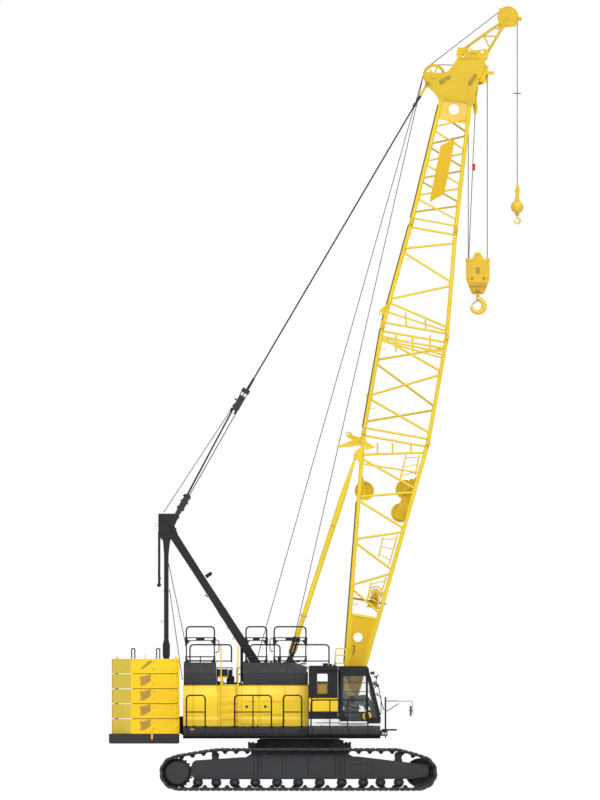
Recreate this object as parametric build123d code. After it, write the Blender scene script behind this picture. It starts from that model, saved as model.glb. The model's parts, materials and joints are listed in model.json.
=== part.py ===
from build123d import *
import math
import os

# Crawler crane with a lattice boom, in millimetres, +Z up, +X towards the boom, right side at -Y.
# Everything is placed from the slewing axis at ground level, then shifted so that the origin
# lies under the middle of the whole crane.
slew_x = -490
seat = 0.3
joint_gap = 10

# Crawlers
gauge = 5650
shoe_width = 1070
shoe_count = 54
shoe_gap = 22
shoe_groove = 38
track_thickness = 98
wheel_clearance = 2.5
wheel_base_front = 3416
wheel_base_rear = -3479
end_radius = 517
carrier_x = (-2388, 2803)
carrier_radius = 110
track_top = 1221
carrier_clearance = 6
carrier_z = track_top - track_thickness - carrier_radius - carrier_clearance
roller_x = (-2885, -2363, -1843, -1255, -636, -37, 577, 1201, 1809, 2298, 2820)
roller_radius = 145
roller_z = roller_radius + track_thickness + seat
frame_width = 620
frame_bottom = 327
axle_width = 1900

# Carbody and slewing ring
carbody_front, carbody_rear = 1252, -1207
carbody_half = 1300
carbody_bottom, carbody_top = 620, 1448
ring_radius = 1120
deck_bottom = 1491
slab_top = deck_bottom + 110

# Upper works
deck_rear, deck_front = -3309, 2298
deck_half = 1560
girder_inner, girder_outer, girder_top = 650, 770, 2120
skirt_top = 1837
side_deck_half = 2400
house_inner, house_outer = 820, 1600
house_front = 256
house_top = 3025
hood_top = 3652
hood_spans = ((-3289, -2363), (-1613, 241))
rail_diameter = 45

# Cab and the cabin behind it
cab_inner, cab_outer = 1150, 2250
cab_rear, cab_nose = 1093, 2306
cab_floor, cab_roof = skirt_top + seat, 3516
cab_wall = 60
pane = 8
rear_cabin_back = 261

# Counterweight
ballast_rear, ballast_front = -5331, -3408
ballast_bottom = 1627
block_height = 425
block_count = 5
ballast_inner, ballast_outer = 850, 2350

# Gantry
post_x = -3783
post_width = 132
strut_width = 240
strut_foot = (-454, 2414)
strut_pin = 60
head_bottom, head_top = 7134, 7878
head_back, head_front = -4010, -3576
luffing_pivot = (-3635, 7583)

# Boom
foot_x, foot_z = 1491, 2556
boom_angle = 79.9
chord_offset = 84
chord_half = 925
chord_diameter = 115
lace_diameter = 60
base_length, insert_length, taper_length, top_length = 7575, 3050, 3050, 3555
base_end = base_length
insert_end = base_end + insert_length
taper_end = insert_end + taper_length
top_end = taper_end + top_length
taper_half, top_half = 637, 410
foot_half = 169
foot_bore = 70
main_sheave = (399, top_end + 901)
main_sheave_radius = 270
guide_sheave = (-826, top_end + 682)
guide_sheave_radius = 290
aux_sheave = (953, top_end + 2678)
aux_sheave_radius = 262
nose_radius = 305
pendant_pin = (-967, top_end + 406)
backstop_foot = (-270, 3760)
backstop_pin = (-1110, base_end - 672)
rope_diameter = 28

# Hooks
block_half = 344
block_sheave_z = 14995
block_drop = 900
main_hook_size = {"radius": 190, "thickness": 105, "neck": 130}
ball_top, ball_middle, ball_bottom = 17240, 16588, 16330
ball_radius = 185
auxiliary_hook_size = {"radius": 80, "thickness": 50, "neck": 50}

boom_place = Pos(foot_x, 0, foot_z) * Rot(0, 90 - boom_angle, 0)


def boom_point(x, along):
    """The place in the crane of a point given in the boom's own frame, x forwards and along upwards."""
    tilt = math.radians(boom_angle)
    return (
        foot_x + x * math.sin(tilt) + along * math.cos(tilt),
        foot_z - x * math.cos(tilt) + along * math.sin(tilt),
    )


def block(x0, x1, y0, y1, z0, z1):
    return Pos((x0 + x1) / 2, (y0 + y1) / 2, (z0 + z1) / 2) * Box(abs(x1 - x0), abs(y1 - y0), abs(z1 - z0))


def plate(outline, y0, y1, inset=0):
    """A flat plate from its side outline, a list of x, z points, drawn in all round by the inset."""
    face = Face(Wire.make_polygon([Vector(x, y0, z) for x, z in outline]))
    if inset:
        face = offset(face, -inset, kind=Kind.INTERSECTION).face()
    return Solid.extrude(face, Vector(0, y1 - y0, 0))


def rod(start, end, diameter):
    start, end = Vector(*start), Vector(*end)
    return Solid.make_cylinder(diameter / 2, (end - start).length, Plane(origin=start, z_dir=end - start))


def roll(x, z, radius, y0, y1):
    return rod((x, y0, z), (x, y1, z), 2 * radius)


def roll_up(radius, z0, z1, x=0, y=0):
    return rod((x, y, z0), (x, y, z1), 2 * radius)


def joined(shapes):
    shapes = list(shapes)
    return shapes[0].fuse(*shapes[1:]) if len(shapes) > 1 else shapes[0]


def tube(points, diameter):
    """A welded tube through corner points, each corner rounded by a ball."""
    bars = [rod(a, b, diameter) for a, b in zip(points, points[1:])]
    balls = [Pos(*p) * Sphere(diameter / 2) for p in points[1:-1]]
    return joined(bars + balls)


def save(name, shapes):
    solids = [solid for shape in shapes for solid in shape.solids()]
    export_step(Pos(slew_x, 0, 0) * Compound(children=solids), f"parts/{name}.step")
    print(name, len(solids))


# Crawlers

def belt(circles):
    """Straight runs and arcs of a belt round circles (x, z, r), anticlockwise; x, z, heading at a length."""
    runs = []
    for (x0, z0, r0), (x1, z1, r1) in zip(circles, circles[1:] + circles[:1]):
        span = math.hypot(x1 - x0, z1 - z0)
        heading = math.atan2(z1 - z0, x1 - x0) + math.asin((r0 - r1) / span)
        normal = heading - math.pi / 2
        runs.append((x0 + r0 * math.cos(normal), z0 + r0 * math.sin(normal), heading,
                     math.sqrt(span ** 2 - (r1 - r0) ** 2)))
    path = []
    for number, (x, z, heading, length) in enumerate(runs):
        path.append(("run", x, z, heading, length, 0))
        cx, cz, radius = circles[(number + 1) % len(circles)]
        turn = (runs[(number + 1) % len(runs)][2] - heading) % (2 * math.pi)
        path.append(("arc", cx, cz, heading, radius * turn, radius))
    return path


def on_belt(path, length, depth):
    for kind, x, z, heading, extent, radius in path:
        if length <= extent:
            break
        length -= extent
    if kind == "run":
        x, z, normal = x + length * math.cos(heading), z + length * math.sin(heading), heading - math.pi / 2
    else:
        normal = heading - math.pi / 2 + length / radius
        x, z = x + radius * math.cos(normal), z + radius * math.sin(normal)
    return x - depth * math.cos(normal), z - depth * math.sin(normal)


def track_path():
    reach = carrier_radius + track_thickness
    circles = [
        (wheel_base_rear, end_radius, end_radius),
        (wheel_base_front, end_radius, end_radius),
        (carrier_x[1], track_top - reach, reach),
        (carrier_x[0], track_top - reach, reach),
    ]
    return belt(circles)


def track(side):
    path = track_path()
    total = sum(part[4] for part in path)
    pitch = total / shoe_count
    outer, inner = [], []
    for number in range(shoe_count):
        start, end = number * pitch + shoe_gap / 2, (number + 1) * pitch - shoe_gap / 2
        outer += [on_belt(path, start, shoe_groove), on_belt(path, start, 0)]
        outer += [on_belt(path, (start + end) / 2, 0)]
        outer += [on_belt(path, end, 0), on_belt(path, end, shoe_groove)]
        inner += [on_belt(path, start + step * pitch / 3, track_thickness) for step in range(3)]
    middle = side * gauge / 2
    y0, y1 = middle - shoe_width / 2, middle + shoe_width / 2
    return plate(outer, y0, y1) - plate(inner, y0 - 10, y1 + 10)


def crawler_frame(side):
    middle, half = side * gauge / 2, frame_width / 2
    idler_room = wheel_base_front - end_radius + track_thickness - 40
    body = [(-2900, 400), (idler_room, 400), (idler_room, 800), (1633, 983), (-1690, 957), (-2900, 880)]
    cheek = [(-2960, frame_bottom), (3560, frame_bottom + 60), (3667, 480), (3667, 741), (1633, 983),
             (-1690, 957), (-2960, 870)]
    shapes = [plate(body, middle - half, middle + half)]
    for edge in (-1, 1):
        inner, outer = middle + edge * (half - 50), middle + edge * half
        shapes.append(plate(cheek, inner, outer))
        shapes += [block(x - 70, x + 70, inner - edge * 40, outer - edge * 5, 130, frame_bottom + 70)
                   for x in roller_x]
    saddle = [(-1519, 900), (1519, 900), (1330, 1085), (-1330, 1085)]
    shapes.append(plate(saddle, middle - half, middle + half))
    for x in carrier_x:
        shapes += [block(x - 60, x + 60, middle + edge * 240 - 20, middle + edge * 240 + 20, 700,
                         carrier_z + 40)
                   for edge in (-1, 1)]
    frame = joined(shapes)
    for x in roller_x:
        frame -= roll(x, roller_z, 60 + seat, middle - half - 50, middle + half + 50)
        frame -= block(x - 165, x + 165, middle - 205, middle + 205, 90, 415)
    for x in carrier_x:
        frame -= roll(x, carrier_z, 40 + seat, middle - 300, middle + 300)
        frame -= block(x - 125, x + 125, middle - 205, middle + 205, carrier_z - 125, carrier_z + 125)
    frame -= roll(wheel_base_front, end_radius, 90 + seat, middle - half - 50, middle + half + 50)
    frame -= block(wheel_base_front - 440, wheel_base_front + 300, middle - 170, middle + 170, 300, 760)
    return frame


def track_rollers():
    shapes = []
    for side in (-1, 1):
        middle = side * gauge / 2
        for x in roller_x:
            z = roller_z
            shapes.append(joined([roll(x, z, roller_radius, middle - 195, middle + 195),
                                  roll(x, z, 60, middle - 318, middle + 318),
                                  roll(x, z, 118, middle - 340, middle - 318),
                                  roll(x, z, 118, middle + 318, middle + 340)]))
        for x in carrier_x:
            z = carrier_z
            shapes.append(joined([roll(x, z, carrier_radius, middle - 200, middle + 200),
                                  roll(x, z, 40, middle - 280, middle + 280)]))
    return shapes


def drive_sprockets():
    """Each sprocket with its final drive, bolted to the rear end of its crawler frame."""
    shapes = []
    radius = end_radius - track_thickness - wheel_clearance
    for side in (-1, 1):
        middle = side * gauge / 2
        shapes.append(joined([
            roll(wheel_base_rear, end_radius, radius, middle - 150, middle + 150),
            roll(wheel_base_rear, end_radius, 307, middle - side * 330, middle + side * 430),
            roll(wheel_base_rear, end_radius, 210, middle + side * 430, middle + side * 470),
            block(wheel_base_rear, -2960 - seat, middle - side * 310, middle - side * 180, 430, 700)]))
    return shapes


def idler_wheels():
    radius = end_radius - track_thickness - wheel_clearance
    return [joined([roll(wheel_base_front, end_radius, radius, middle - 150, middle + 150),
                    roll(wheel_base_front, end_radius, 90, middle - 330, middle + 330),
                    roll(wheel_base_front, end_radius, 150, middle - 345, middle - 315),
                    roll(wheel_base_front, end_radius, 150, middle + 315, middle + 345)])
            for middle in (-gauge / 2, gauge / 2)]


def carbody():
    frame_inner = gauge / 2 - frame_width / 2
    shapes = [block(carbody_rear, carbody_front, -carbody_half, carbody_half, carbody_bottom, carbody_top)]
    for x in (-axle_width / 2, axle_width / 2):
        beam = [(-frame_inner + seat, 440), (frame_inner - seat, 440), (frame_inner - seat, 1000),
                (carbody_half, 1200), (-carbody_half, 1200), (-frame_inner + seat, 1000)]
        face = Face(Wire.make_polygon([Vector(x - 250, y, z) for y, z in beam]))
        shapes.append(Solid.extrude(face, Vector(500, 0, 0)))
    for x in (-1378, 1378):
        for y in (-1050, 1050):
            shapes.append(block(x - 171, x + 171, y - 140, y + 140, track_top, 1363))
            shapes.append(block(min(x, x * 0.85), max(x, x * 0.85), y - 90, y + 90, 900, 1300))
    return [joined(shapes)]


def slewing_ring():
    ring = roll_up(ring_radius, carbody_top + seat, deck_bottom - seat)
    ring -= roll_up(ring_radius - 170, carbody_top - 50, deck_bottom)
    return [ring]


# Upper works

def main_frame():
    """Deck slab, two long girders that carry gantry and ballast, and the boom foot lugs."""
    shapes = [block(deck_rear, deck_front, -deck_half, deck_half, deck_bottom, slab_top)]
    for side in (-1, 1):
        inner, outer = side * girder_inner, side * girder_outer
        girder = [(ballast_rear + 400, ballast_bottom + seat), (ballast_front + 20, ballast_bottom + seat),
                  (deck_rear + 60, deck_bottom + 60), (1700, deck_bottom + 60), (1700, 1950),
                  (1200, girder_top), (-3500, girder_top), (ballast_rear + 400, 2000)]
        shapes.append(plate(girder, inner, outer))
        x, z = strut_foot
        ear = [(x - 330, girder_top - 60), (x + 330, girder_top - 60), (x + 130, z + 130), (x - 130, z + 130)]
        shapes += [plate(ear, side * y, side * (y + 40)) for y in (girder_inner - 45, girder_outer + 5)]
        shapes.append(block(x - 330, x + 330, side * (girder_inner - 45), side * (girder_outer + 45),
                            girder_top - 60, girder_top + 40))
        shapes.append(roll(x, z, strut_pin - seat, side * (girder_inner - 20), side * (girder_outer + 20)))
        lug = [(foot_x - 420, slab_top - 20), (foot_x + 420, slab_top - 20), (foot_x + 150, foot_z + 60),
               (foot_x + 60, foot_z + 150), (foot_x - 60, foot_z + 150), (foot_x - 150, foot_z + 60)]
        for y in (chord_half - 110, chord_half + 70):
            shapes.append(plate(lug, side * y, side * (y + 40)))
        shapes.append(roll(foot_x, foot_z, foot_bore - 0.05, side * (chord_half - 120),
                           side * (chord_half + 120)))
    shapes += [block(x - 60, x + 60, -girder_inner, girder_inner, slab_top - 20, 2050) for x in (-3200, 1100)]
    return [joined(shapes)]


def side_decks():
    """Boxed walkways along both sides with the dark skirts, and the step plate beside the cab."""
    shapes = []
    for side in (-1, 1):
        inner, outer = side * (deck_half + 45), side * side_deck_half
        box = block(deck_rear, deck_front, inner, outer, deck_bottom, skirt_top)
        tie = block(deck_rear + 200, deck_front - 200, side * (deck_half + seat), side * (deck_half + 60),
                    deck_bottom + 10, deck_bottom + 100)
        parts = [box, tie]
        if side < 0:
            step = block(rear_cabin_back, deck_front, outer, outer - 360, skirt_top - 80, skirt_top)
            parts.append(step)
        shapes.append(joined(parts))
    return shapes


def house_section(side, x0, x1):
    section = [(house_inner, slab_top + seat), (deck_half, slab_top + seat),
               (deck_half, skirt_top + seat), (house_outer, skirt_top + seat), (house_outer, house_top - 130),
               (house_outer - 90, house_top), (house_inner, house_top)]
    face = Face(Wire.make_polygon([Vector(x0, side * y, z) for y, z in section]))
    return Solid.extrude(face, Vector(x1 - x0, 0, 0))


door_bottom, door_top, door_thickness = 1900, 2860, 30
hinge_radius, hinge_pin, hinge_offset = 14, 8, 20
house_doors = {"house_door_rear": (-1639, -1180), "house_door_front": (-1110, -440)}


engine_room = (-2950, -1250, 880, 1480, 2900)


def house(side):
    front = house_front if side < 0 else cab_rear - 60
    body = house_section(side, deck_rear, front)
    if side > 0:
        x0, x1, y0, y1, z1 = engine_room
        body -= block(x0, x1, y0, y1, deck_bottom, z1)
    if side < 0:
        for x0, x1 in house_doors.values():
            body = body.fuse(*house_hinges(x1))
    return body


def hinge_axis(x1):
    return x1 + 16, -house_outer - hinge_offset


def house_hinges(x1):
    """Two hinge brackets on the house wall, each with its upright pin."""
    x, y = hinge_axis(x1)
    shapes = []
    for z in (door_bottom + 60, door_top - 180):
        shapes.append(block(x - 10, x + 10, y, -house_outer + 5, z, z + 40))
        shapes.append(roll_up(hinge_pin - 0.05, z, z + 118, x=x, y=y))
    return shapes


def house_door(x0, x1):
    """A service door hung outside the wall on two upright pins at its front edge."""
    outer = -house_outer - joint_gap / 2 - door_thickness
    panel = block(x0, x1, outer, outer + door_thickness, door_bottom, door_top)
    latch = block(x0 + 90, x0 + 190, outer - 12, outer, 2360, 2440)
    x, y = hinge_axis(x1)
    heights = (door_bottom + 60, door_top - 180)
    knuckles = [roll_up(hinge_radius, z + 40 + seat, z + 120, x=x, y=y) for z in heights]
    leaves = [block(x1 - 5, x, y - 8, y + 8, z + 40 + seat, z + 120) for z in heights]
    return joined([panel, latch] + knuckles + leaves) - roll_up(hinge_pin, door_bottom, door_top, x=x, y=y)


def engine_hoods():
    shapes = []
    for side in (-1, 1):
        for number, (x0, x1) in enumerate(hood_spans):
            section = [(house_inner, house_top + seat), (house_outer - 95, house_top + seat),
                       (house_outer - 95, hood_top - 160), (house_outer - 200, hood_top),
                       (house_inner, hood_top)]
            face = Face(Wire.make_polygon([Vector(x0, side * y, z) for y, z in section]))
            hood = Solid.extrude(face, Vector(x1 - x0, 0, 0))
            if number:
                x, z = backstop_foot
                for y in (chord_half - 105, chord_half + 75):
                    ear = [(x - 140, hood_top - 20), (x + 140, hood_top - 20), (x + 50, z + 60),
                           (x - 50, z + 60)]
                    hood = hood.fuse(plate(ear, side * y, side * (y + 30)))
                hood = hood.fuse(roll(x, z, 29.95, side * (chord_half - 110), side * (chord_half + 110)))
            shapes.append(hood)
    return shapes


def engine_block():
    x0, x1, y0, y1, z1 = engine_room
    return [block(x0 + 90, x1 - 90, y0 + 60, y1 - 60, slab_top + seat, z1 - 350)]


def silencer():
    pipe = joined([roll_up(110, house_top + seat, 3260, x=-1960, y=-1200),
                   roll_up(60, 3260, 3460, x=-1960, y=-1200)])
    return [pipe]


def winch(x, z, radius, length, flange):
    """A rope drum between its two bearing stands, which rest on the deck slab."""
    half = length / 2
    core = joined([roll(x, z, radius, -half, half)] +
                  [roll(x, z, flange, side * half, side * (half + 30)) for side in (-1, 1)])
    stands = []
    for side in (-1, 1):
        foot = [(x - 260, slab_top + seat), (x + 260, slab_top + seat), (x + 90, z + 90),
                (x - 90, z + 90)]
        stands.append(plate(foot, side * (half + 30), side * (half + 60)))
    return joined([core] + stands)


winches = {
    "main_winch": (-1770, 2760, 270, 1060, 330),
    "auxiliary_winch": (-730, 3020, 270, 1060, 340),
    "luffing_winch": (-2790, 2960, 250, 1060, 330),
}


def side_frame(x0, x1, y, z0, z1, middle):
    """One welded guard rail: two posts, top bar and middle bar, with a centre post where asked."""
    bars = [tube([(x0, y, z0), (x0, y, z1), (x1, y, z1), (x1, y, z0)], rail_diameter)]
    bars.append(rod((x0, y, (z0 + z1) / 2), (x1, y, (z0 + z1) / 2), rail_diameter * 0.8))
    if middle:
        x = (x0 + x1) / 2
        bars.append(rod((x, y, z0), (x, y, z1), rail_diameter * 0.8))
    return joined(bars)


side_rail_spans = ((-3212, -2678, False), (-1843, -798, True), (-460, 62, False))
roof_rail_spans = ((-3215, -2417), (-1519, -934), (-718, 182))


def side_rails():
    shapes = []
    for side in (-1, 1):
        y = side * (side_deck_half - 35)
        for x0, x1, middle in side_rail_spans:
            shapes.append(side_frame(x0, x1, y, skirt_top + seat, 2738, middle))
    shapes.append(side_frame(327, 1940, -side_deck_half - 325, skirt_top + seat, 2607, True))
    return shapes


def roof_rails():
    shapes = []
    for side in (-1, 1):
        for x0, x1 in roof_rail_spans:
            shapes.append(side_frame(x0, x1, side * (house_outer - 230), hood_top + seat, hood_top + 1034,
                                     False))
    shapes.append(side_frame(330, 1000, -cab_outer + 160, 3560 + seat, 4175, False))
    return shapes


def rear_cabin():
    """The open-sided cabin behind the cab, hollow, with a window through both sides."""
    x0, x1 = rear_cabin_back, cab_rear - 5
    shell = block(x0, x1, -cab_outer, -cab_inner - 40, skirt_top + seat, 3560)
    room = block(x0 + 50, x1 - 50, -cab_outer + 50, -cab_inner - 90, skirt_top + 60, 3510)
    window = block(503, 798, -cab_outer - 10, -cab_inner, 2755, 3328)
    return [shell - room - window]


def cab_outline(inset):
    z0, z1 = cab_floor + inset, cab_roof - inset
    return [(cab_rear + inset, z0), (2290 - inset, z0), (cab_nose - inset, 2040),
            (1950 - inset, 3470 - inset),
            (1890 - inset, z1), (cab_rear + inset, z1)]


door_x0, door_x1 = 1200, 1880
door_standoff = 6
cab_door_bottom, cab_door_top = 1960, 3400
quarter_window = [(1945, 2080), (2215, 2080), (1935, 3330)]
left_window = [(1250, 2300), (2150, 2300), (1890, 3330), (1250, 3330)]
roof_window = [(1320, 1720), (-cab_outer + 200, -cab_inner - 200)]
screen_bottom, screen_top, screen_margin = 2150, 3380, 110


def screen_x(z):
    """The front face of the cab at a height on the windscreen."""
    return cab_nose + (1950 - cab_nose) * (z - 2040) / (3470 - 2040)


def screen_plate(depth, inset):
    """A slab behind the windscreen's face, as tall and wide as its opening less the inset."""
    heights = (screen_bottom + inset, screen_top - inset)
    outline = [(screen_x(z) - depth[0], z) for z in heights]
    outline += [(screen_x(z) - depth[1], z) for z in reversed(heights)]
    return plate(outline, -cab_outer + screen_margin + inset, -cab_inner - screen_margin - inset)


def roof_plate(inset, z0, z1):
    (x0, x1), (y0, y1) = roof_window
    return block(x0 + inset, x1 - inset, y0 + inset, y1 - inset, z0, z1)


def cab_openings():
    """The cut-outs of the cab: door, front quarter, left side, roof and windscreen."""
    y_right, y_left = -cab_outer, -cab_inner
    return [
        block(door_x0, door_x1, y_right - 20, y_right + cab_wall + 20, cab_door_bottom, cab_door_top),
        plate(quarter_window, y_right - 20, y_right + cab_wall + 20),
        plate(left_window, y_left - cab_wall - 20, y_left + 20),
        roof_plate(0, cab_roof - cab_wall - 20, cab_roof + 20),
        screen_plate((-100, 200), 0),
    ]


def cab_shell():
    shell = plate(cab_outline(0), -cab_outer, -cab_inner)
    shell -= plate(cab_outline(cab_wall), -cab_outer + cab_wall, -cab_inner - cab_wall)
    for opening in cab_openings():
        shell -= opening
    outer = -cab_outer
    for z in (cab_door_bottom - 30, cab_door_top + 5):
        shell = shell.fuse(block(door_x0 - 750, door_x1 + 30, outer - door_standoff + seat, outer, z, z + 20))
    return shell


def cab_glazing():
    """Thin panes that fill the cut-outs, set back inside the walls."""
    y_right, y_left = -cab_outer + 20, -cab_inner - 20
    return [
        plate(quarter_window, y_right, y_right + pane, seat),
        plate(left_window, y_left - pane, y_left, seat),
        roof_plate(seat, cab_roof - 30, cab_roof - 30 + pane),
        screen_plate((22, 22 + pane), seat),
    ]


def cab_door():
    """The sliding door, outside the wall, with its own window cut through it."""
    y0 = -cab_outer - door_standoff - 50
    panel = block(door_x0 - 40, door_x1 + 35, y0, y0 + 50, cab_door_bottom - 40, cab_door_top + 30)
    panel -= block(door_x0 + 40, door_x1 - 20, y0 - 10, y0 + 60, 2060, cab_door_top - 60)
    rail = block(door_x0 - 20, door_x0 + 20, y0 - 40, y0, 2250, 2480)
    return joined([panel, rail])


def operator_seat():
    middle = -(cab_inner + cab_outer) / 2
    floor = cab_floor + cab_wall + seat
    return [
        joined([block(1330, 1830, middle - 250, middle + 250, floor + 330, floor + 450),
                block(1480, 1680, middle - 120, middle + 120, floor, floor + 335),
                block(1270, 1380, middle - 250, middle + 250, floor + 400, floor + 1050)]),
        joined([block(1900, 1990, middle - 300, middle + 300, floor + 560, floor + 900),
                block(1940, 2040, middle - 60, middle + 60, floor, floor + 600)]),
    ]


def front_platform():
    tread = block(2330, 2760, -cab_outer, -cab_inner, 1761 - 50, 1761)
    bracket = block(deck_front + seat, 2500, -cab_outer + 150, -cab_inner - 150, 1560, 1720)
    post = rod((2442, -cab_outer + 60, 1650), (2442, -cab_outer + 60, 2670), 50)
    return [joined([tread, bracket, post])]


# Counterweight

def ballast_tray():
    slab = block(ballast_rear - 82, ballast_front - 6, -ballast_outer, ballast_outer, 1346, ballast_bottom)
    return [slab]


def ballast_blocks():
    """Five blocks a side, each with a lifting recess in its outer face, and loops on the top ones."""
    shapes = []
    for side in (-1, 1):
        for level in range(block_count):
            z0 = ballast_bottom + seat + level * (block_height + seat)
            slab = block(ballast_rear, ballast_front, side * ballast_inner, side * ballast_outer, z0,
                         z0 + block_height)
            slab -= block(-5000, -4650, side * (ballast_outer - 90), side * (ballast_outer + 10), z0 + 110,
                          z0 + 310)
            if level == block_count - 1:
                top = z0 + block_height
                for x in (-4746, -4013):
                    y = side * (ballast_inner + ballast_outer) / 2
                    slab = slab.fuse(tube([(x - 110, y, top - 10), (x - 110, y, top + 280),
                                           (x + 110, y, top + 280),
                                           (x + 110, y, top - 10)], 50))
            shapes.append(slab)
    return shapes


# Gantry

def gantry():
    """Rear posts, front struts and head plates, both sides tied by cross tubes."""
    shapes = []
    for side in (-1, 1):
        inner, outer = side * girder_inner, side * girder_outer
        right = [(post_width / 2, girder_top + seat), (post_width / 2, 3700), (post_width / 2 + 38, 3850),
                 (post_width / 2 + 38, 4150), (post_width / 2, 4300), (post_width / 2, head_bottom + 50)]
        post = [(post_x + x, z) for x, z in right] + [(post_x - x, z) for x, z in reversed(right)]
        shapes.append(plate(post, inner, outer))
        head = [(head_back, head_bottom + 200), (head_back + 90, head_bottom), (head_front - 60, head_bottom),
                (head_front + 170, head_bottom + 40), (head_front, head_top - 280), (head_front, head_top),
                (head_back, head_top)]
        shapes.append(plate(head, inner, outer))
        start, end = Vector(-3600, 0, 7290), Vector(strut_foot[0], 0, strut_foot[1])
        along = (end - start).normalized()
        across = Vector(-along.Z, 0, along.X)
        top, foot = across * (strut_width * 0.41), across * (strut_width * 0.58)
        strut = [start + top, end + foot + along * 110, end - foot + along * 110, start - top]
        strut = plate([(p.X, p.Z) for p in strut], inner, outer)
        shapes.append(strut - roll(*strut_foot, strut_pin, side * (girder_inner - 30),
                                   side * (girder_outer + 30)))
        shapes.append(block(head_back - 10, head_back + 60, inner, outer, 5807, head_bottom + 230))
    cross = girder_inner + 10
    for x, z, d in ((post_x, 4000, 150), (post_x, 6800, 150), (head_back + 90, head_top - 110, 120),
                    (-2600, 5730, 140)):
        shapes.append(rod((x, -cross, z), (x, cross, z), d))
    x, z = luffing_pivot
    shapes.append(roll(x, z, 49.95, -cross, cross))
    return joined(shapes)


# Boom, in its own frame: x forwards, along the boom upwards

def chord_x(along):
    """Half the depth of the boom at a station, from the feet to the head."""
    if along <= base_end:
        return foot_half + (chord_half - foot_half) * along / base_end
    if along <= insert_end:
        return chord_half
    if along <= taper_end:
        return chord_half + (taper_half - chord_half) * (along - insert_end) / (taper_end - insert_end)
    return taper_half + (top_half - taper_half) * (along - taper_end) / (top_end - taper_end)


def stations(low, high, shares):
    """Where braces meet the chords of a section, each as a share of the way along it."""
    return tuple(low + share * (high - low) for share in shares)


def chord_y(along):
    return chord_half if along <= insert_end else chord_x(along)


def chord(side, face, along):
    """Chord centre: side -1 right, 1 left; face -1 rear, 1 front."""
    return Vector(-chord_offset + face * chord_x(along), side * chord_y(along), along)


def faceted_bar(start, end, diameter, sides):
    """A straight bar with flat facets, as wide across its corners as the tube that it stands for."""
    across = Plane(origin=start, x_dir=Vector(0.31, 0.87, 0.11).cross(end - start), z_dir=end - start)
    corners = [across.from_local_coords(Vector(math.cos(turn), math.sin(turn), 0) * (diameter / 2))
               for turn in (2 * math.pi * number / sides for number in range(sides))]
    return Solid.extrude(Face(Wire.make_polygon(corners)), end - start)


def lace(start, end, diameter):
    """A brace between two chord centres that ends inside each chord's wall."""
    bite = (end - start).normalized() * (chord_diameter * 0.31)
    return faceted_bar(start + bite, end - bite, diameter, 8)


def brace_faces(side_nodes, cross_nodes, start_face, diameter):
    """Zigzag braces: side faces run front to rear, front and rear faces run right to left."""
    spread = 52
    bars = []
    for side in (-1, 1):
        face = start_face[side]
        for low, high in zip(side_nodes, side_nodes[1:]):
            bars.append(lace(chord(side, face, low + spread), chord(side, -face, high - spread), diameter))
            face = -face
    for face in (-1, 1):
        side = face
        for low, high in zip(cross_nodes, cross_nodes[1:]):
            bars.append(lace(chord(side, face, low + spread), chord(-side, face, high - spread), diameter))
            side = -side
    return bars


def end_frame(along, diameter):
    corners = [chord(-1, -1, along), chord(-1, 1, along), chord(1, 1, along), chord(1, -1, along)]
    return [lace(a, b, diameter) for a, b in zip(corners, corners[1:] + corners[:1])]


def chords(low, high):
    return [faceted_bar(chord(side, face, low), chord(side, face, high), chord_diameter, 12)
            for side in (-1, 1) for face in (-1, 1)]


def trimmed(shape, low, high):
    """Squares the chord ends off, so that neighbouring sections meet face to face."""
    wide = 4 * chord_half
    shape -= block(-wide, wide, -wide, wide, low - 500, low)
    return shape - block(-wide, wide, -wide, wide, high, high + 500)


def section(low, high, side_nodes, cross_nodes, start_face, diameter, ends):
    bars = brace_faces(side_nodes, cross_nodes, start_face, diameter)
    for along in ends:
        bars += end_frame(along, diameter)
    return trimmed(joined(chords(low - 20, high + 20) + bars), low + seat / 2, high - seat / 2)


plated_end = 2435


def boom_base():
    side_nodes = stations(plated_end, base_end,
                          (0.021, 0.148, 0.268, 0.401, 0.505, 0.634, 0.732, 0.866, 0.959))
    cross_nodes = stations(plated_end, base_end, (0.032, 0.285, 0.518, 0.752, 0.966))
    bars = brace_faces(side_nodes, cross_nodes, {-1: 1, 1: 1}, lace_diameter)
    bars += end_frame(plated_end - 20, lace_diameter) + end_frame(base_end - 90, lace_diameter)
    base = trimmed(joined(chords(120, base_end + 20) + bars + sheave_hangers()), 0, base_end - seat / 2)
    for side in (-1, 1):
        web = [(-chord_offset + face * chord_x(along), along) for face, along in
               ((-1, 0), (1, 0), (1, plated_end), (-1, plated_end))]
        y = side * chord_half
        leg = plate(web, y - 12, y + 12) - rod((-66 - 84, y - 20, 1809), (-66 - 84, y + 20, 1809), 262)
        boss = rod((0, y - 60, 0), (0, y + 60, 0), 340)
        web_plate = joined([leg, boss,
                            plate([(-250, 100), (110, 100), (110, 260), (-250, 260)], y - 50, y + 50)])
        base = base.fuse(web_plate)
    for side in (-1, 1):
        y = side * chord_half
        base -= rod((0, y - 80, 0), (0, y + 80, 0), 2 * foot_bore)
        pin_x, pin_along = backstop_pin
        for offset in (-65, 35):
            ear = [(-930, base_end - 925), (-930, base_end - 325), (pin_x - 60, pin_along + 70),
                   (pin_x - 60, pin_along - 60)]
            base = base.fuse(plate(ear, y + offset, y + offset + 30))
    return base


def boom_insert():
    nodes = stations(base_end, insert_end, (0.083, 0.333, 0.667, 0.917))
    cross = stations(base_end, insert_end, (0.141, 0.397, 0.603, 0.859))
    ends = (base_end + 130, insert_end - 130)
    return section(base_end, insert_end, nodes, cross, {-1: 1, 1: -1}, lace_diameter, ends)


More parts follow.
